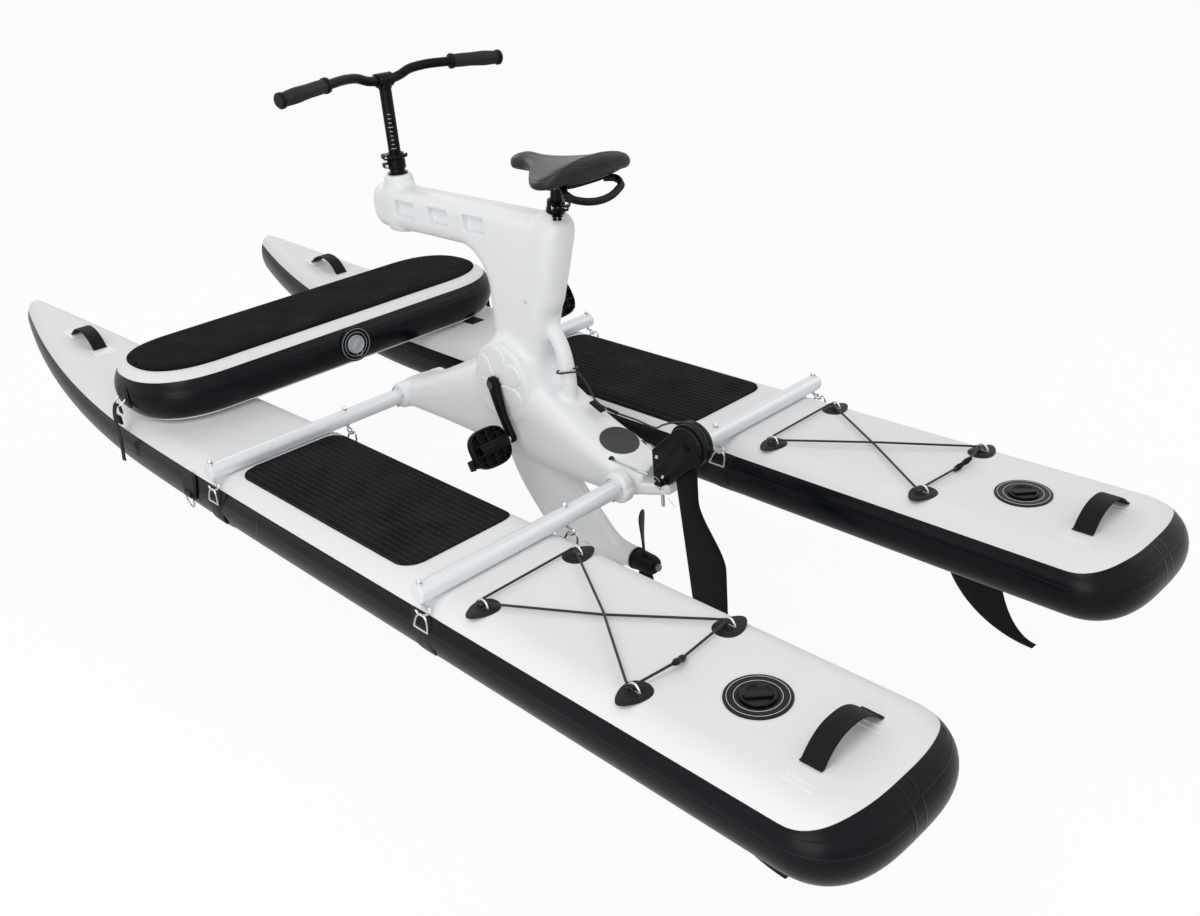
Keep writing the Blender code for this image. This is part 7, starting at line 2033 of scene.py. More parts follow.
@dataclass
class Cranks:
    """Both crank arms with their bolts, and the strapped pedals."""

    length: float = 0.132
    lean: float = 20.4
    arm_x: float = 0.093
    pedal_length: float = 0.104
    pedal_half: float = 0.045
    pedal_lean: float = 28.0

    def build(self) -> None:
        """Makes both sides."""
        lean = math.radians(self.lean)
        down = np.array([0.0, -math.sin(lean), -math.cos(lean)])
        centre = np.array([0.0, *CRANK])
        for (word, side), body in zip(SIDES, ("pedal_port", "pedal_starboard")):
            way = -side * down
            self.arm(word, side, centre, way)
            self.pedal(word, side, centre + way * self.length, body)

    def arm(self, word: str, side: float, centre: Array, way: Array) -> None:
        """A forged arm: its half-width narrows from the boss and closes round both ends.

        Args:
            word: Word for the side in the piece's name.
            side: 1 for starboard, -1 for port.
            centre: Middle of the crank axle.
            way: Unit direction from the axle to the pedal.
        """
        across = np.cross(way, ACROSS)
        turn = np.linspace(0.04, math.pi / 2, 9)
        t = np.concatenate([-0.14 * np.cos(turn), np.linspace(0.03, 0.97, 26), 1 + 0.095 * np.sin(turn - turn[0])])
        size = 0.0185 - 0.0075 * np.clip(t * 1.6, 0, 1)
        past = np.maximum(np.maximum(0, -t / 0.1401), np.maximum(0, (t - 1) / 0.0953))
        ends = np.sqrt(np.clip(1 - past**2, 0.004, 1))
        out = side * (self.arm_x + 0.004 * np.sin(math.pi * np.clip(t, 0, 1)))
        mid = centre + way * self.length * t[:, None] + ACROSS * out[:, None]
        a = turns(40)[None, :, None]
        deep, half = 0.0085 * np.clip(ends, 0.3, 1) ** 0.3, size * ends
        grid = (mid[:, None] + deep[:, None, None] * signed(np.cos(a), 2 / 3.4) * ACROSS
                + half[:, None, None] * signed(np.sin(a), 2 / 3.4) * across)
        bolt = [(0.006, 0.0), (0.006, 0.0130), (0.0100, 0.0130), (0.0112, 0.0118), (0.0112, 0.0070),
                (0.0092, 0.0064), (0.0092, 0.0)]
        spindle = [(-0.0098, 0.0), (-0.0098, 0.0050), (-0.0086, 0.0060), (0.012, 0.0060), (0.013, 0.0045),
                   (0.55 * self.pedal_length, 0.0045), (0.56 * self.pedal_length, 0.0)]
        start = centre + side * self.arm_x * ACROSS
        form = Form().skin(grid).turned(start, side * ACROSS, bolt, 0.0008, 48)
        form.turned(start + way * self.length, side * ACROSS, spindle, 0.0006, 32, 1)
        form.made(f"crank_arm_{word}", (BLACK_ANODISED, STAINLESS), "cranks", (f"crank_{word}",), "black_metal")

    def pedal(self, word: str, side: float, axis_point: Array, body: str) -> None:
        """A moulded pedal: a rounded slab with a grid of wells, its axle barrel, and a toe strap.

        Args:
            word: Word for the side in the piece's name.
            side: 1 for starboard, -1 for port.
            axis_point: Where the pedal's axis crosses the craft's middle.
            body: Moving body of the pedal.
        """
        size = self.pedal_length
        lean = math.radians(self.pedal_lean)
        u = np.array([0.0, math.sin(lean), math.cos(lean)])
        v = np.array([0.0, math.cos(lean), -math.sin(lean)])
        start = axis_point + side * (self.arm_x + 0.0145) * ACROSS
        frame = np.stack([side * ACROSS, u, v])

        def shape(p: Array) -> Array:
            """Distance to the pedal in its own frame, along the axle, up the sole and out of it.

            Args:
                p: Points in the pedal's own frame.

            Returns:
                The distance at each point, negative inside.
            """
            half = np.array([size / 2 + 0.002, self.pedal_half + 0.002])
            plan = oval(p[..., :2] - np.array([size / 2, 0.0]), half, 2.8)
            slab = common(plan, np.abs(p[..., 2] - 0.00225) - 0.00825, 0.004)
            wells = [((x, up, -0.010), (0.0117, 0.0071, 0.0158)) for x in (np.arange(4) + 0.5) * size / 4
                     for up in (-0.0370, -0.0205, 0.0205, 0.0370)]
            for middle, reach in (*wells, ((0.88 * size, 0, -0.010), (0.0120, 0.0105, 0.0150))):
                slab = without(slab, common(block(p, middle, reach, 0.002), plan + 0.0045, 0.003), 0.0012)
            ribs = np.abs((p[..., 1] / 0.0075) % 1.0 - 0.5) * 0.0075 - 0.0022
            tread = np.maximum(np.maximum(ribs, np.abs(p[..., 2] - 0.0108) - 0.0013), plan + 0.006)
            barrel = drum(p, (0, 0, 0), ACROSS, (0.0, 0.79 * size), 0.0102, 0.001)
            bore = drum(p, (0, 0, 0), ACROSS, (0.4 * size, 0.9 * size), 0.0072, 0.0005)
            return np.maximum(both(np.minimum(slab, tread), barrel, 0.0015), -bore)

        form = Form()
        local = moulded(shape, (-0.0032, -0.0485, -0.0112), (size + 0.0032, 0.0485, 0.0132), 0.0012)
        form.faces(local.points[0] @ frame + start, local.corners[0].reshape(-1, 4), NO_FANS,
                   local.maps[0].reshape(-1, 4, 2), NO_FAN_MAP, 0, None)
        turn = np.linspace(0.0, math.pi, 44)
        arch = np.stack([size * (0.52 - 0.50 * np.cos(turn)), 0 * turn - 0.024, 0.0085 + 0.055 * np.sin(turn) ** 0.7],
                        axis=1)
        form.skin(ribbon(arch @ frame + start, u, 0.024, 0.0024), 1)
        buckle = plate(rounded_box(0.0125, 0.0145, 0.003), 0.0052, 0.0018, 0.001)
        spot = np.array([size * 0.52, -0.024, 0.0635]) @ frame + start
        form.skin(laid(buckle, spot - v * 0.001, side * ACROSS, u, v), 2)
        nut = [(-0.0054, 0.0060), (-0.0054, 0.0086), (-0.0004, 0.0086), (-0.0004, 0.0060)]
        form.turned(start, side * ACROSS, nut, 0.0006, 6, 3, looped=True)
        form.made(f"strapped_pedal_{word}", (BLACK_NYLON, WEBBING, BLACK_ABS, STAINLESS), body, (f"pedal_{word}",),
                  "black_plastic")


# Seat


@dataclass
class Clamp:
    """A two-part split collar with its bolt, cam pin and quick-release lever."""

    name: str
    base: Array
    way: Array
    radius: float
    height: float
    turn: float
    collar_body: str
    lever_body: str
    wall: float = 0.0075
    ear_half: float = 0.009
    bolt_out: float = 0.0125
    cam: float = 0.0075
    wrap: float = 1.75
    fit: float = 0.0003

    def build(self) -> None:
        """Makes the collar and the lever."""
        way = unit(np.asarray(self.way, float))
        base = np.asarray(self.base, float)
        r, low, h = self.radius, self.radius + self.wall, self.height
        bore = r + self.fit
        profile = [(0, bore), (0.0, low - 0.0012), (0.0012, low), (h * 0.56, low), (h * 0.58, low - 0.0008),
                   (h * 0.62, low - 0.0026), (h * 0.66, low - 0.0020), (h * 0.69, low - 0.0010),
                   (h - 0.0012, low - 0.0010), (h, low - 0.0022), (h, bore)]
        form = Form().turned(base, way, profile, 0.0007, 64, looped=True)
        out = np.array([math.sin(self.turn), -math.cos(self.turn), 0.0])
        out = unit(out - way * float(way @ out))
        side = np.cross(way, out)
        back = 0.0135
        end = back + self.ear_half + self.cam
        bolt = [(0, 0.0), (0, 0.0034), (0.0010, 0.0045), (0.0045, 0.0045), (0.0046, 0.0026), (0.0225, 0.0026),
                (0.0226, 0.0045), (0.0262, 0.0045), (0.027, 0.0036), (0.027, 0.0)]
        cam_bolt = [(0, 0.0), (0, 0.0036), (0.0008, 0.0045), (0.0040, 0.0045), (0.0041, 0.0020),
                    (end - 0.003, 0.0018), (end - 0.0028, 0.0)]
        for height, line in ((h * 0.28, bolt), (h * 0.84, cam_bolt)):
            middle = base + way * height + out * (r + 0.011)
            for step in (-1.0, 1.0):
                ear = plate(rounded_box(0.0080, 0.0062, 0.0042), 0.0075, 0.0010, 0.0006)
                form.skin(laid(ear, middle + side * step * 0.0014, out, way, side * step))
            pivot = base + way * height + out * (r + self.bolt_out)
            form.turned(pivot - side * back, side, line, 0.0004, 24, 1)
        cam = pivot + side * (self.ear_half + self.fit + self.cam)
        eye = both_ways([(0.0018, 0.0044), (0.0018, 0.0028)])
        form.turned(cam, way, eye, 0.0003, 28, 1, looped=True)
        form.made(f"{self.name}_clamp_collar", (BLACK_ANODISED, STAINLESS), self.collar_body, (f"{self.name}_collar",),
                  "black_metal")
        self.lever(way, out, side, cam, pivot - out * (r + self.bolt_out))

    def lever(self, way: Array, out: Array, side: Array, cam: Array, centre: Array) -> None:
        """The forked cam and the curved handle that hugs the collar.

        Args:
            way: Unit direction of the tube.
            out: Unit direction from the tube to the bolts.
            side: Unit direction of the bolts.
            cam: Middle of the cam.
            centre: Middle of the tube at the cam's height.
        """
        form = Form()
        for sign in (-1.0, 1.0):
            cheek = [(0.0022, 0.0020), (0.0022, self.cam - 0.0006), (0.0030, self.cam), (0.0050, self.cam),
                     (0.0058, self.cam - 0.0010), (0.0058, 0.0020)]
            form.turned(cam, way * sign, cheek, 0.0006, 36, looped=True)
        pin = both_ways([(0.0058, 0.0020), (0.0064, 0.0018), (0.0064, 0.0)])
        form.turned(cam, way, pin, 0.0003, 20, 1)
        offset = cam - centre
        size = float(np.linalg.norm(offset))
        start = math.atan2(float(offset @ side), float(offset @ out)) + 0.0064 / size
        t = np.linspace(0, 1, 40)
        turn = start + t * self.wrap
        reach = size - 0.0030 * t
        path = centre + reach[:, None] * (np.cos(turn)[:, None] * out + np.sin(turn)[:, None] * side)
        path, radii = domed_ends(path, 0.0040)
        spread = np.interp(np.linspace(0, 1, len(radii)), [0, 0.25, 0.75, 1], [0.0044, 0.0036, 0.0046, 0.0048])
        form.skin(sweep(path, radii / 0.0040 * spread, way, 0.52, 24, 2.6))
        form.made(f"{self.name}_quick_lever", (BLACK_NYLON, STAINLESS), self.lever_body, (f"{self.name}_lever",),
                  "black_metal")


@dataclass
class Seat:
    """Seat post, clamp, padded saddle, and the pan with its rear grab loop."""

    post_radius: float = 0.013
    post_length: float = 0.270
    show: float = 0.078
    nose_y: float = 0.330
    rear_y: float = 0.078
    half: float = 0.126
    nose_half: float = 0.030
    top_z: float = 0.690
    base_z: float = 0.6375
    body: BikeBody = field(default_factory=BikeBody)

    def build(self) -> None:
        """Makes the post, clamp, saddle and pan."""
        way = self.body.seat_way()
        top = np.array([0.0, *SEAT_TOP])
        foot = top - way * (self.post_length * 0.66)
        head = top + way * self.show
        length, r = float(np.linalg.norm(head - foot)), self.post_radius
        tube = [(0, 0.0), (0, r - 0.001), (0.001, r), (length - 0.004, r), (length - 0.003, 0.0)]
        form = Form().turned(foot, way, tube, 0.0005, 56)
        cradle = plate(rounded_box(0.0165, 0.020, 0.006), 0.0165, 0.003, 0.002)
        form.skin(laid(cradle, head - UP * 0.0140, ACROSS, AHEAD, UP), 0)
        bolt = both_ways([(0.0190, 0.0042), (0.0205, 0.0034), (0.0205, 0.0)])
        for y in (-0.012, 0.012):
            form.turned(head + AHEAD * y - UP * 0.004, ACROSS, bolt, 0.0005, 20, 1)
        form.made("seat_post_tube", (BLACK_ANODISED, STAINLESS), "seat", ("seat_post",), "black_metal")
        Clamp("seat", top + way * 0.001, way, r, 0.040, -0.6, "craft", "seat_clamp_lever").build()
        self.saddle()
        self.pan(head)

    def half_width(self, u: Array) -> Array:
        """Half-width along the saddle: a narrow nose that swells to the wings, rounded at both ends.

        Args:
            u: Share of the way from the nose to the rear.

        Returns:
            The half-widths.
        """
        spread = np.clip((u - 0.22) / 0.60, 0, 1)
        half = self.nose_half + (self.half - self.nose_half) * spread**2 * (3 - 2 * spread)
        front = np.sqrt(np.maximum(0, 1 - (1 - np.minimum(1, u / 0.14)) ** 2))
        rear = np.sqrt(np.maximum(0, 1 - np.maximum(0, (u - 0.80) / 0.20) ** 2.4))
        return half * (0.30 + 0.70 * front) * (0.42 + 0.58 * rear)

    def saddle(self) -> None:
        """The padded top: crowned sections whose height dips in the middle, with sewn lines round the flank."""
        u = 0.5 - 0.5 * np.cos(np.linspace(0, math.pi, 90))
        y = self.nose_y + (self.rear_y - self.nose_y) * u
        half = self.half_width(u)[:, None]
        crest = (self.top_z - 0.012 - 0.012 * np.sin(math.pi * u) + 0.014 * u**2
                 - 0.016 * np.maximum(0, 1 - u / 0.16) ** 2)[:, None]
        past = np.maximum((0.055 - u) / 0.055, (u - 0.955) / 0.045).clip(0)
        closing = np.sqrt(np.clip(1 - past**2, 0.0, 1))[:, None]
        a = turns(96)[None]
        cos, sin = np.cos(a), np.sin(a)
        x = half * signed(cos, 0.72) * (0.55 + 0.45 * closing)
        lift = signed(sin, 0.80)
        high = crest - 0.012 * (np.abs(x) / self.half) ** 1.6
        low = self.base_z - 0.014 * np.maximum(0, (np.abs(x) - 0.078) / (self.half - 0.078))
        groove = 0.0016 * np.exp(-((np.abs(x) / 0.010) ** 2)) * np.clip((u[:, None] - 0.12) / 0.1, 0, 1)
        seam = np.exp(-(((sin - 0.30) / 0.035) ** 2))
        seam = seam + 0.8 * np.exp(-(((sin - 0.66) / 0.030) ** 2)) * (u[:, None] > 0.30)
        z = (high + low) / 2 + (high - low) / 2 * lift * (0.12 + 0.88 * closing) - groove * (sin > 0.5)
        z = z - 0.0011 * seam * (sin > 0)
        grid = np.stack(np.broadcast_arrays(x * (1 - 0.010 * seam), y[:, None], z), axis=-1)
        piece = Form().skin(grid).made("saddle_cover", (SADDLE_COVER,), "seat", ("saddle",), "soft_black", 60.0)

    def pan(self, head: Array) -> None:
        """The plastic pan, rail clamp and the rear grab loop.

        Args:
            head: Top of the seat post.
        """
        y = np.array([0.262, 0.250, 0.225, 0.18, 0.14, 0.118, 0.110])
        half = np.array([0.010, 0.018, 0.024, 0.036, 0.060, 0.071, 0.060])
        x, z = half[:, None] * signed(np.cos(turns(40)), 0.66), 0.006 * signed(np.sin(turns(40)), 0.66)
        form = Form().skin(np.stack(np.broadcast_arrays(x, y[:, None], self.base_z - 0.0063 + z), axis=-1))
        low = float(head[2]) + 0.0042
        rail_clamp = plate(rounded_box(0.022, 0.016, 0.005), 0.0105, 0.003, 0.002)
        form.skin(laid(rail_clamp, (0.0, head[1], low - 0.0005), ACROSS, AHEAD, UP))
        half_loop = np.array([(0.056, 0.120, low + 0.0050), (0.072, 0.100, low + 0.0020), (0.070, 0.084, low - 0.0065),
                              (0.050, 0.0765, low - 0.0150)])
        loop = smooth_route(np.vstack([half_loop * MIRROR, half_loop[::-1]]), 90)
        form.skin(sweep(loop, 0.0078, np.array([0.0, 0.55, 0.84]), 0.80, 28, 2.4))
        form.made("saddle_pan_and_loop", (BLACK_NYLON,), "seat", ("saddle_base",), "black_plastic")


# Steering


@dataclass
class Steering:
    """Steerer with its head ring, clamp, marked post, stem, handlebar and grips."""

    tube: float = 0.0185
    post: float = 0.0145
    stem_z: float = 0.794
    bar_radius: float = 0.011
    grip_radius: float = 0.0165
    grip_length: float = 0.140

    def build(self) -> None:
        """Makes the steering column from the drum up to the grips."""
        low, r, p = 0.4445, self.tube, self.post
        h = HEAD_TOP - low
        tube = [(0, p + 0.0004), (0, 0.0305), (0.0065, 0.0305), (0.0085, 0.0265), (0.0125, 0.0265),
                (0.0145, 0.0305), (0.0205, 0.0305), (0.0210, r), (h + 0.0005, r), (h + 0.0008, r + 0.006),
                (h + 0.0036, r + 0.006), (h + 0.0045, r + 0.0045), (h + 0.0048, r), (h + 0.012, r),
                (h + 0.012, p + 0.0004)]
        form = Form().turned((0, HEAD_Y, low), UP, tube, 0.0006, 64, looped=True)
        form.made("steerer_tube", (BLACK_ANODISED,), "steering", ("steerer",), "black_metal")
        Clamp("steering", np.array([0.0, HEAD_Y, HEAD_TOP + 0.0125]), UP, p, 0.038, -1.9, "steering",
              "steering_clamp_lever").build()
        self.post_tube()
        self.bar()

    def post_tube(self) -> None:
        """The telescopic post with plain height marks every ten millimetres."""
        start, r = HEAD_TOP - 0.095, self.post
        length = self.stem_z - start - 0.0205
        profile = [(0, 0.0), (0, r - 0.001), (0.001, r), (length, r), (length + 0.0004, 0.0)]
        form = Form().turned((0, HEAD_Y, start), UP, profile, 0.0005, 64)
        for step in range(9):
            wide = 0.85 if step % 5 == 0 else 0.5
            turn = np.linspace(-wide / 2, wide / 2, 12) + math.radians(233)
            z = HEAD_TOP + 0.062 + 0.010 * step
            skin = r + 0.00005
            path = np.stack([skin * np.cos(turn), HEAD_Y + skin * np.sin(turn), 0 * turn + z], axis=1)
            form.skin(sweep(path, 0.0006, UP, 0.25, 8), 1)
        form.made("height_post", (BLACK_ANODISED, PALE_INK), "bars", ("steering_post",), "black_metal")

    def path(self) -> Array:
        """The handlebar's middle line, port end to starboard end.

        Returns:
            The line's points.
        """
        half = np.array([(0.310, -0.054, 0.008), (0.240, -0.044, 0.014), (0.166, -0.030, 0.018),
                         (0.110, -0.014, 0.019), (0.072, -0.003, 0.014), (0.045, 0.0, 0.004), (0.022, 0.0, 0.0)])
        return smooth_route(np.vstack([half * MIRROR, half[::-1]]) + np.array([0.0, HEAD_Y, self.stem_z]), 120)

    def bar(self) -> None:
        """Handlebar tube, stem with its face plate and bolts, and two clamped grips."""
        line = self.path()
        form = Form().skin(sweep(line, self.bar_radius, UP, 1.0, 36))
        form.made("handlebar_tube", (BLACK_ANODISED,), "bars", ("handlebar",), "black_metal")
        r, low = self.post, self.stem_z - 0.0202
        boss = [(0, 0.0), (0, r), (0.0010, r + 0.0016), (0.004, r + 0.002), (0.015, r + 0.002), (0.016, 0.0)]
        barrel = [(0, 0.0112), (0, 0.0150), (0.0014, 0.0165), (0.0406, 0.0165), (0.042, 0.0150), (0.042, 0.0112)]
        form = Form().turned((0, HEAD_Y, low), UP, boss, 0.001, 48)
        form.turned((-0.021, HEAD_Y, self.stem_z), ACROSS, barrel, 0.001, 48, looped=True)
        face = plate(rounded_box(0.016, 0.014, 0.003), 0.0125, 0.002)
        form.skin(laid(face, (0, HEAD_Y + 0.010, self.stem_z), ACROSS, UP, AHEAD))
        bolt = [(0.012, 0.0), (0.012, 0.0032), (0.0146, 0.0032), (0.0150, 0.0026), (0.0150, 0.0)]
        for x in (-0.0105, 0.0105):
            for z in (-0.0085, 0.0085):
                form.turned((x, HEAD_Y + 0.0100, self.stem_z + z), AHEAD, bolt, 0.0004, 20, 1)
        form.made("stem_with_face_plate", (BLACK_ANODISED, STAINLESS), "bars", ("stem_clamp",), "black_metal")
        for word, side in SIDES:
            self.grip(word, side, line)

    def grip(self, word: str, side: float, line: Array) -> None:
        """A smooth grip whose radius swells under the palm, with a screwed clamp ring at each end.

        Args:
            word: Word for the side in the piece's name.
            side: 1 for starboard, -1 for port.
            line: The handlebar's middle line.
        """
        line = on_side(line, -side)
        run = run_of(line)
        at = np.linspace(0.0005, self.grip_length, 260)
        tip = line[0] + unit(line[0] - line[1]) * np.array([[0.0042], [0.0040], [0.0030]])
        path = np.vstack([tip, at_run(line, run, at)])
        at = np.concatenate([[-0.0042, -0.0040, -0.0030], at])
        size = self.grip_radius - 0.0012 + 0.0020 * np.exp(-(((at - 0.046) / 0.026) ** 2))
        size = size + 0.0006 * np.exp(-(((at - 0.105) / 0.020) ** 2))
        size = size * np.interp(at, [-0.0042, -0.0040, -0.0030, -0.0005], [0.05, 0.72, 0.93, 1.0])
        form = Form().skin(sweep(path, size, UP, 1.0, 48))
        ring = both_ways([(0.0036, 0.0180), (0.0045, 0.0172), (0.0045, 0.0155)])
        screw = [(-0.001, 0.0), (-0.001, 0.0026), (0.0016, 0.0026), (0.002, 0.0)]
        for far in (0.0045, self.grip_length - 0.0055):
            place, past = at_run(line, run, np.array([far, far + 0.004]))
            form.turned(place, unit(past - place), ring, 0.0006, 48, 1, looped=True)
            spot = place + np.array([0.0, 0.010, 0.0150])
            form.skin(lathe(spot, unit(np.array([0.0, 0.55, 0.83])), screw, 16), 2)
        form.made(f"clamped_grip_{word}", (GRIP_RUBBER, BLACK_ANODISED, STAINLESS), "bars", (f"grip_{word}",), "rubber")


# Rudder


def convex(y: Array, z: Array, corners: Array) -> Array:
    """Greatest distance past any side of a convex outline, whose corners go anticlockwise."""
    step = unit(np.roll(corners, -1, axis=0) - corners)
    return np.max([(y - a[0]) * s[1] - (z - a[1]) * s[0] for a, s in zip(corners, step)], axis=0)


@dataclass
class Rudder:
    """Steered head, kick-up blade with its pulley, and the blade's bolt; the pin stays the imported node."""

    pulley: float = 0.048
    gap: float = 0.015
    cheek: float = 0.006
    tip_z: float = -0.420
    thick: float = 0.012

    def head(self, p: Array) -> Array:
        """The head: a side outline of a disc, a block and their bridge, slotted for pulley and blade.

        Args:
            p: Points with x, y and z along the last axis.

        Returns:
            The distance at each point, negative inside.
        """
        y, z = p[..., 1], p[..., 2]
        away_y, away_z = y - RUDDER_PIVOT[0], z - RUDDER_PIVOT[1]
        width, hub = np.abs(p[..., 0]), np.hypot(away_y, away_z)
        arc = 0.043 * np.array([[math.cos(t), math.sin(t)] for t in np.radians([42.0, 232.0])])
        corners = np.vstack([[[-0.044, 0.0045], [-0.044, 0.078]], arc + RUDDER_PIVOT, [[-0.088, 0.0045]]])
        outline = np.minimum(hub - 0.043, convex(y, z, corners))
        body = common(outline, width - self.gap - self.cheek, 0.005)
        across = away_y * -0.75 - away_z * 0.66
        for line in (-0.013, 0.013):
            rib = np.maximum(np.abs(across - line) - 0.0028, outline + 0.005)
            body = both(body, np.maximum(rib, width - self.gap - self.cheek - 0.0013), 0.001)
        room = np.maximum(hub - self.pulley - 0.022, width - self.gap)
        slot = np.maximum(width - self.thick / 2 - 0.0015, np.maximum(y + 0.0905, away_z))
        for sign in (-1.0, 1.0):
            ear = block(p, (sign * 0.0255, -0.0715, 0.0085), (0.0115, 0.0095, 0.0040), 0.002)
            hole = np.hypot(p[..., 0] - sign * 0.0295, y + 0.0715) - 0.0026
            body = both(body, np.maximum(ear, -hole), 0.003)
        body = np.maximum(body, 0.0045 - z)
        return without(without(body, room, 0.0015), slot, 0.0015)

    def build(self) -> None:
        """Makes head, blade and bolt."""
        form = moulded(self.head, (-0.0375, -0.188, 0.0040), (0.0375, -0.043, 0.158), 0.0015)
        screw = [(0.0195, 0.0), (0.0195, 0.0046), (0.0222, 0.0046), (0.0232, 0.0036), (0.0222, 0.0022), (0.0216, 0.0)]
        for y, z in ((-0.060, 0.066), (-0.074, 0.022)):
            for sign in (-1.0, 1.0):
                form.turned((0, y, z), sign * ACROSS, screw, 0.0005, 24, 1)
        form.made("rudder_head_moulding", (BLACK_ABS, STAINLESS), "rudder_mount", ("rudder_head",), "black_plastic",
                  45.0)
        half = self.gap + self.cheek + 0.0032
        head = [(half - 0.0030, 0.0060), (half - 0.0029, 0.0095), (half - 0.0010, 0.0095), (half, 0.0085), (half, 0.0)]
        Form().turned((0, *RUDDER_PIVOT), ACROSS, both_ways(head), 0.0005, 36).made(
            "blade_pivot_bolt", (BLACK_ANODISED,), "rudder_mount", ("rudder_bolt",), "black_metal")
        self.blade()

    def blade(self) -> None:
        """The blade: straight raked edges, a rounded tip and a lens section, under its grooved pulley."""
        side, r = self.gap - 0.0006, self.pulley
        half = [(0.0030, r - 0.006), (0.0045, r), (side - 0.0010, r), (side, r - 0.0010), (side, 0.0066)]
        form = Form().turned((0, *RUDDER_PIVOT), ACROSS, both_ways(half), 0.0008, 80, looped=True)
        t = np.concatenate([np.linspace(0, 0.95, 46), 0.95 + 0.05 * np.sin(np.linspace(0.2, 1.5, 8))])[:, None]
        z = 0.085 + (self.tip_z - 0.085) * t
        swell = np.clip((t - 0.20) / 0.30, 0, 1)
        front = -0.0935 - 0.055 * np.maximum(0, t - 0.15) - 0.05 * np.maximum(0, t - 0.86) / 0.14
        rear = -0.155 - 0.072 * swell**2 * (3 - 2 * swell) + 0.030 * np.maximum(0, t - 0.80) / 0.20
        tip = np.sqrt(np.clip(1 - (np.maximum(t - 0.955, 0) / 0.0452) ** 2, 0.01, 1))
        a = turns(48)[None]
        share = 0.5 - 0.5 * np.cos(a)
        middle, chord = (front + rear) / 2, (front - rear) * (0.80 + 0.20 * tip)
        x = self.thick / 2 * (1 - 0.35 * t) * signed(np.sin(a), 0.8) * tip**0.5
        y = middle + chord / 2 - chord * share
        form.skin(np.stack(np.broadcast_arrays(x, y, z), axis=-1))
        form.made("kick_up_blade", (BLACK_NYLON,), "blade", ("rudder_blade",), "black_plastic")


# Cables


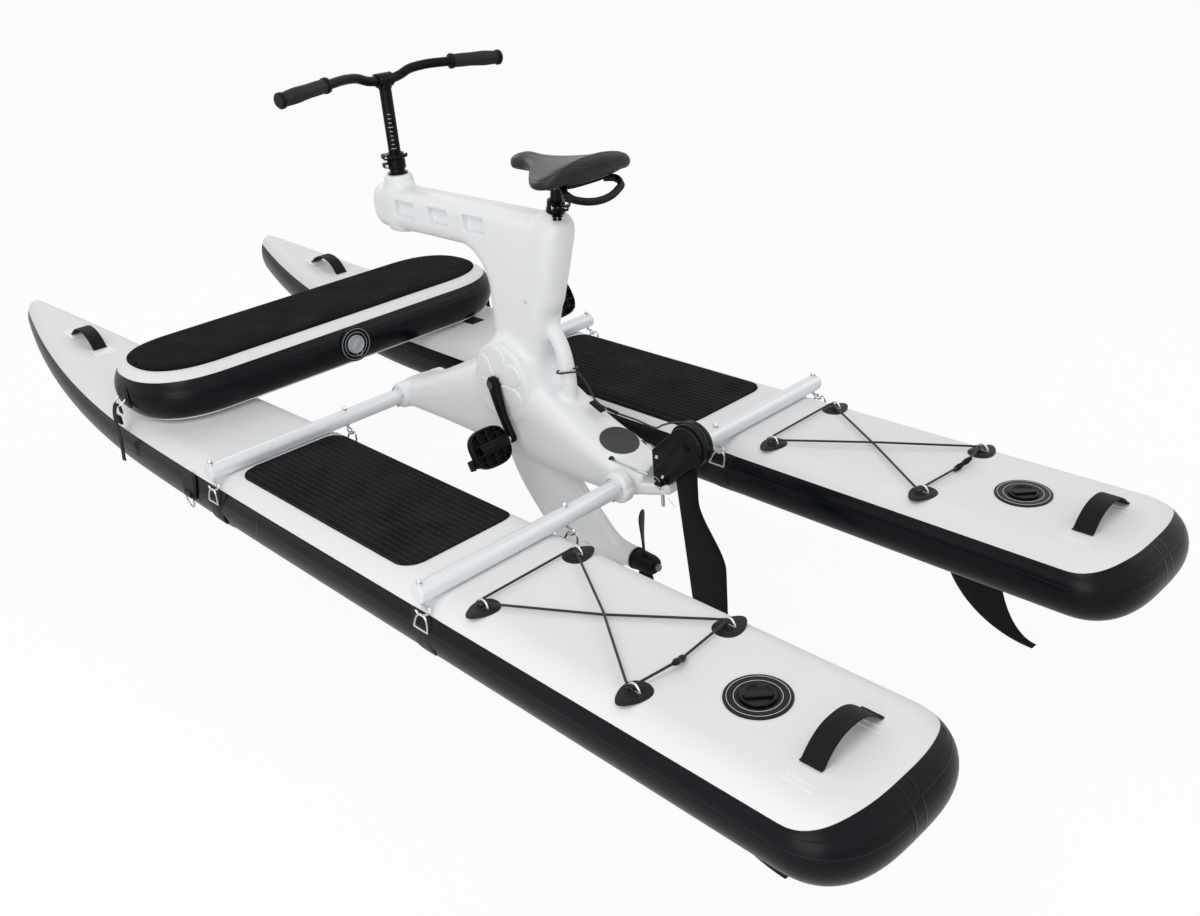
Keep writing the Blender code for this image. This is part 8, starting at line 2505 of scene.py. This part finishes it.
@dataclass
class Cables:
    """Steering cable, lift cord with its clip tab, and the cables' crimped tails."""

    wire: float = 0.0011
    rope: float = 0.0022

    def steering_line(self) -> Array:
        """Route of the steering cable: ear, crossed inside the beam, round the drum and back.

        Returns:
            The line's points.
        """
        aft = [(0.0295, -0.0717, 0.0000), (0.0295, -0.0717, 0.0140), (0.0303, -0.0672, 0.0195),
               (0.0350, -0.0400, 0.0235), (0.0505, 0.0500, 0.0390), (0.0400, 0.0700, 0.0325),
               (0.0285, 0.0900, 0.0262), (0.0290, 0.1500, 0.0400), (0.0310, 0.2200, 0.0800),
               (0.0300, 0.2850, 0.1300), (0.0280, 0.3350, 0.1900), (0.0200, 0.3550, 0.2600),
               (0.0130, 0.3750, 0.3500), (0.0115, 0.3950, 0.4200), (0.0110, 0.4300, 0.4540)]
        y = HEAD_Y
        fore = [(-0.0105, 0.6400, 0.4550), (-0.0115, 0.7000, 0.4550), (-0.0230, y - 0.0250, 0.4550),
                (-0.0288, y - 0.0050, 0.4550), (-0.0260, y + 0.0135, 0.4550), (-0.0150, y + 0.0250, 0.4550),
                (-0.0050, y + 0.0288, 0.4550)]
        out = [*on_side(aft, -1.0), (0.0, 0.54, 0.4600), *on_side(fore, -1.0)]
        back = [*reversed(fore), (0.0, 0.54, 0.4510), *reversed(aft)]
        return smooth_route(np.array(out + back), 520)

    def lift_line(self) -> Array:
        """Route of the lift cord, from its loop on the grab handle to the blade's pulley.

        Returns:
            The line's points.
        """
        y, z = RUDDER_PIVOT
        return smooth_route(np.array([
            (0.0000, 0.2055, 0.1990), (0.0165, 0.2115, 0.1955), (0.0235, 0.2285, 0.1900), (0.0165, 0.2455, 0.1862),
            (0.0000, 0.2525, 0.1850), (-0.0165, 0.2455, 0.1862), (-0.0235, 0.2285, 0.1900), (-0.0165, 0.2090, 0.1940),
            (0.0000, 0.1985, 0.1920), (0.0150, 0.1850, 0.1650), (0.0200, 0.1600, 0.1230), (0.0300, 0.1200, 0.1060),
            (0.0480, 0.0700, 0.0930), (0.0400, 0.0000, 0.0950), (0.0150, -0.0500, 0.1250), (0.0000, -0.1000, 0.1500),
            (0.0000, y, z + 0.0475), (0.0000, y - 0.0338, z + 0.0338), (0.0000, y - 0.0475, z)]), 300)

    def build(self) -> None:
        """Makes both lines and what is crimped to them."""
        steering = self.steering_line()
        ends = Form()
        for spot in (steering[0], steering[-1]):
            knot = [(-0.006, 0.0), (-0.006, 0.0026), (0.0, 0.0030), (0.003, 0.0020), (0.0032, 0.0)]
            ends.turned(spot, UP, knot, 0.0008, 24)
            tail = spot + np.array([[0.0, 0.0, -0.004], [0.0, -0.016, -0.014], [0.0, -0.042, -0.036]])
            ends.skin(round_tube(smooth_route(tail, 24), 0.0007, 10))
        for _, side in SIDES:
            near = steering[np.argmin(np.linalg.norm(steering - on_side((0.0370, -0.0290, 0.0252), side), axis=1))]
            way = unit(on_side(np.array([0.0155, 0.09, 0.0155]), side))
            ends.skin(sweep(near + np.linspace(-0.0135, 0.0135, 8)[:, None] * way, 0.0032, UP, 0.80, 16))
        stops = ends.made("cable_stops_and_crimps", (STAINLESS,), "rudder_mount", (), "stainless")
        cord_piece("steering_wire", steering, self.wire, WIRE_ROPE, ("steering_cable",), "stainless",
                   bent=("rudder_mount", (0.0, -0.012, 0.028), (0.0, -0.058, 0.020)))
        self.lift()

    def lift(self) -> None:
        """The lift cord with the webbing tab and plastic clip that park it on the deck."""
        line = self.lift_line()
        form = Form()
        spot = line[np.argmin(np.linalg.norm(line - np.array([0.0300, 0.1200, 0.1060]), axis=1))]
        way = unit(np.array([0.009, -0.041, -0.010]))
        path, radii = domed_ends(spot + np.linspace(-0.012, 0.012, 10)[:, None] * way, 0.0042)
        form.skin(sweep(path, radii, UP, 0.8, 20))
        way = unit(np.array([0.02, -0.92, -0.39]))
        flap = plate(rounded_box(0.0200, 0.0085, 0.0015), 0.0030, 0.0010)
        form.skin(laid(flap, (0.0215, 0.1600, 0.1115), way, ACROSS, unit(np.cross(way, -ACROSS))), 1)
        clip = form.made("lift_cord_clip", (BLACK_NYLON, WEBBING), "craft", (), "black_plastic")
        cord_piece("rudder_lift_line", line, self.rope, SHOCK_CORD, ("lift_cord",), "cord",
                   bent=("rudder_mount", (0.0, -0.020, 0.105), (0.0, -0.095, 0.145)))


# Scene


@dataclass
class Studio:
    """Camera at the photograph's place, soft lamps, plain floor and white surroundings."""

    place: tuple[float, float, float] = (-1.61441817, -2.33796, 1.60217)
    right: tuple[float, float, float] = (0.71206813, -0.69794878, -0.07633137)
    above: tuple[float, float, float] = (0.36034321, 0.26998107, 0.89289585)
    ahead: tuple[float, float, float] = (0.60258754, 0.66330816, -0.44374602)
    lens: float = 35.12

    def camera(self) -> None:
        """Makes the camera from its place and its three directions."""
        data = bpy.data.cameras.new("camera")
        data.lens = self.lens
        data.sensor_width = 36.0
        data.sensor_fit = "HORIZONTAL"
        data.clip_end = 100.0
        eye = placed("camera", data)
        turn = Matrix((self.right, self.above, tuple(-v for v in self.ahead))).transposed().to_4x4()
        eye.matrix_world = Matrix.Translation(self.place) @ turn
        bpy.context.scene.camera = eye

    def lights(self) -> None:
        """Four large soft lamps and a white world that the camera and gloss see."""
        world = bpy.data.worlds.new("studio_world")
        bpy.context.scene.world = world
        world.use_nodes = True
        tree = world.node_tree
        back = tree.nodes["Background"]
        rays = add_node(tree, "ShaderNodeLightPath")
        seen = rays.outputs["Is Camera Ray"]
        for kind in ("Is Glossy Ray", "Is Transmission Ray"):
            seen = calc(tree, "MAXIMUM", seen, rays.outputs[kind])
        tree.links.new(ranged(tree, seen, 0.0, 1.0, 0.56, 1.0), back.inputs["Strength"])
        back.inputs["Color"].default_value = (1, 1, 1, 1)
        for name, spot, size, power in (("key_lamp", (-2.6, -1.4, 4.2), 2.6, 50.0),
                                        ("fill_lamp", (3.0, -2.4, 3.2), 2.8, 24.0),
                                        ("side_lamp", (-3.4, -2.2, 1.1), 2.6, 34.0),
                                        ("rim_lamp", (0.6, 3.8, 3.4), 2.4, 24.0)):
            data = bpy.data.lights.new(name, "AREA")
            data.shape = "DISK"
            data.size = size
            data.energy = power
            lamp = placed(name, data)
            away = -unit(np.array(spot) - np.array([0.0, 0.0, 0.4]))
            side = unit(np.cross(away, UP))
            turn = Matrix((tuple(side), tuple(np.cross(side, away)), tuple(-away))).transposed().to_4x4()
            lamp.matrix_world = Matrix.Translation(spot) @ turn

    def floor(self) -> None:
        """A wide matt floor that the camera sees as nearly white."""
        half, level = 30.0, -0.0005
        mesh = bpy.data.meshes.new("floor")
        mesh.from_pydata([(half * x, half * y, level) for x, y in ((-1, -1), (1, -1), (1, 1), (-1, 1))], [],
                         [(0, 1, 2, 3)])
        made, tree, shader = blank("matt_white_studio_floor", {"Roughness": 0.9, "Specular IOR Level": 0.1,
                                                               "Base Color": linear("#F4F4F4")})
        glow = add_node(tree, "ShaderNodeEmission", {"Color": (1.0, 1.0, 1.0, 1.0), "Strength": 1.0})
        rays = add_node(tree, "ShaderNodeLightPath")
        share = calc(tree, "MULTIPLY", rays.outputs["Is Camera Ray"], 0.92)
        mix = add_node(tree, "ShaderNodeMixShader", {}, {0: share, 1: shader.outputs[0], 2: glow.outputs[0]})
        tree.links.new(mix.outputs[0], tree.nodes["Material Output"].inputs["Surface"])
        mesh.materials.append(made)
        placed("floor", mesh)


INNER_FINISHES = {"crown_gear": GEAR_STEEL, "drive_shaft": GEAR_STEEL, "propeller_shaft": GEAR_STEEL,
                  "shaft_seal": RUBBER, "crank_axle": STAINLESS, "rudder_pin": STAINLESS}


def dress_nodes() -> None:
    """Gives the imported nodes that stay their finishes."""
    for name, finish in INNER_FINISHES.items():
        node = bpy.data.objects[name]
        for slot in node.material_slots:
            slot.material = finish.material()
        LOG.info("%s keeps its packed solid in %s", name, finish.name)


def main() -> None:
    """Builds the studio, the cords, then every sub-assembly in order."""
    logging.basicConfig(level=logging.INFO, format="%(message)s")
    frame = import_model()
    CRAFT.find()
    studio = Studio()
    studio.camera()
    Cables().build()
    for word, side in SIDES:
        Pontoon(word, side).build()
    CrossBar("front", FRONT_BAR_Y, 0.072).build()
    CrossBar("rear", 0.0, 0.092).build()
    Bench().build()
    BikeBody().build()
    Drive().build()
    Cranks().build()
    Seat().build()
    Steering().build()
    Rudder().build()
    dress_nodes()
    studio.lights()
    studio.floor()
    bpy.context.scene.view_settings.view_transform = "Standard"


if __name__ == "__main__":
    main()
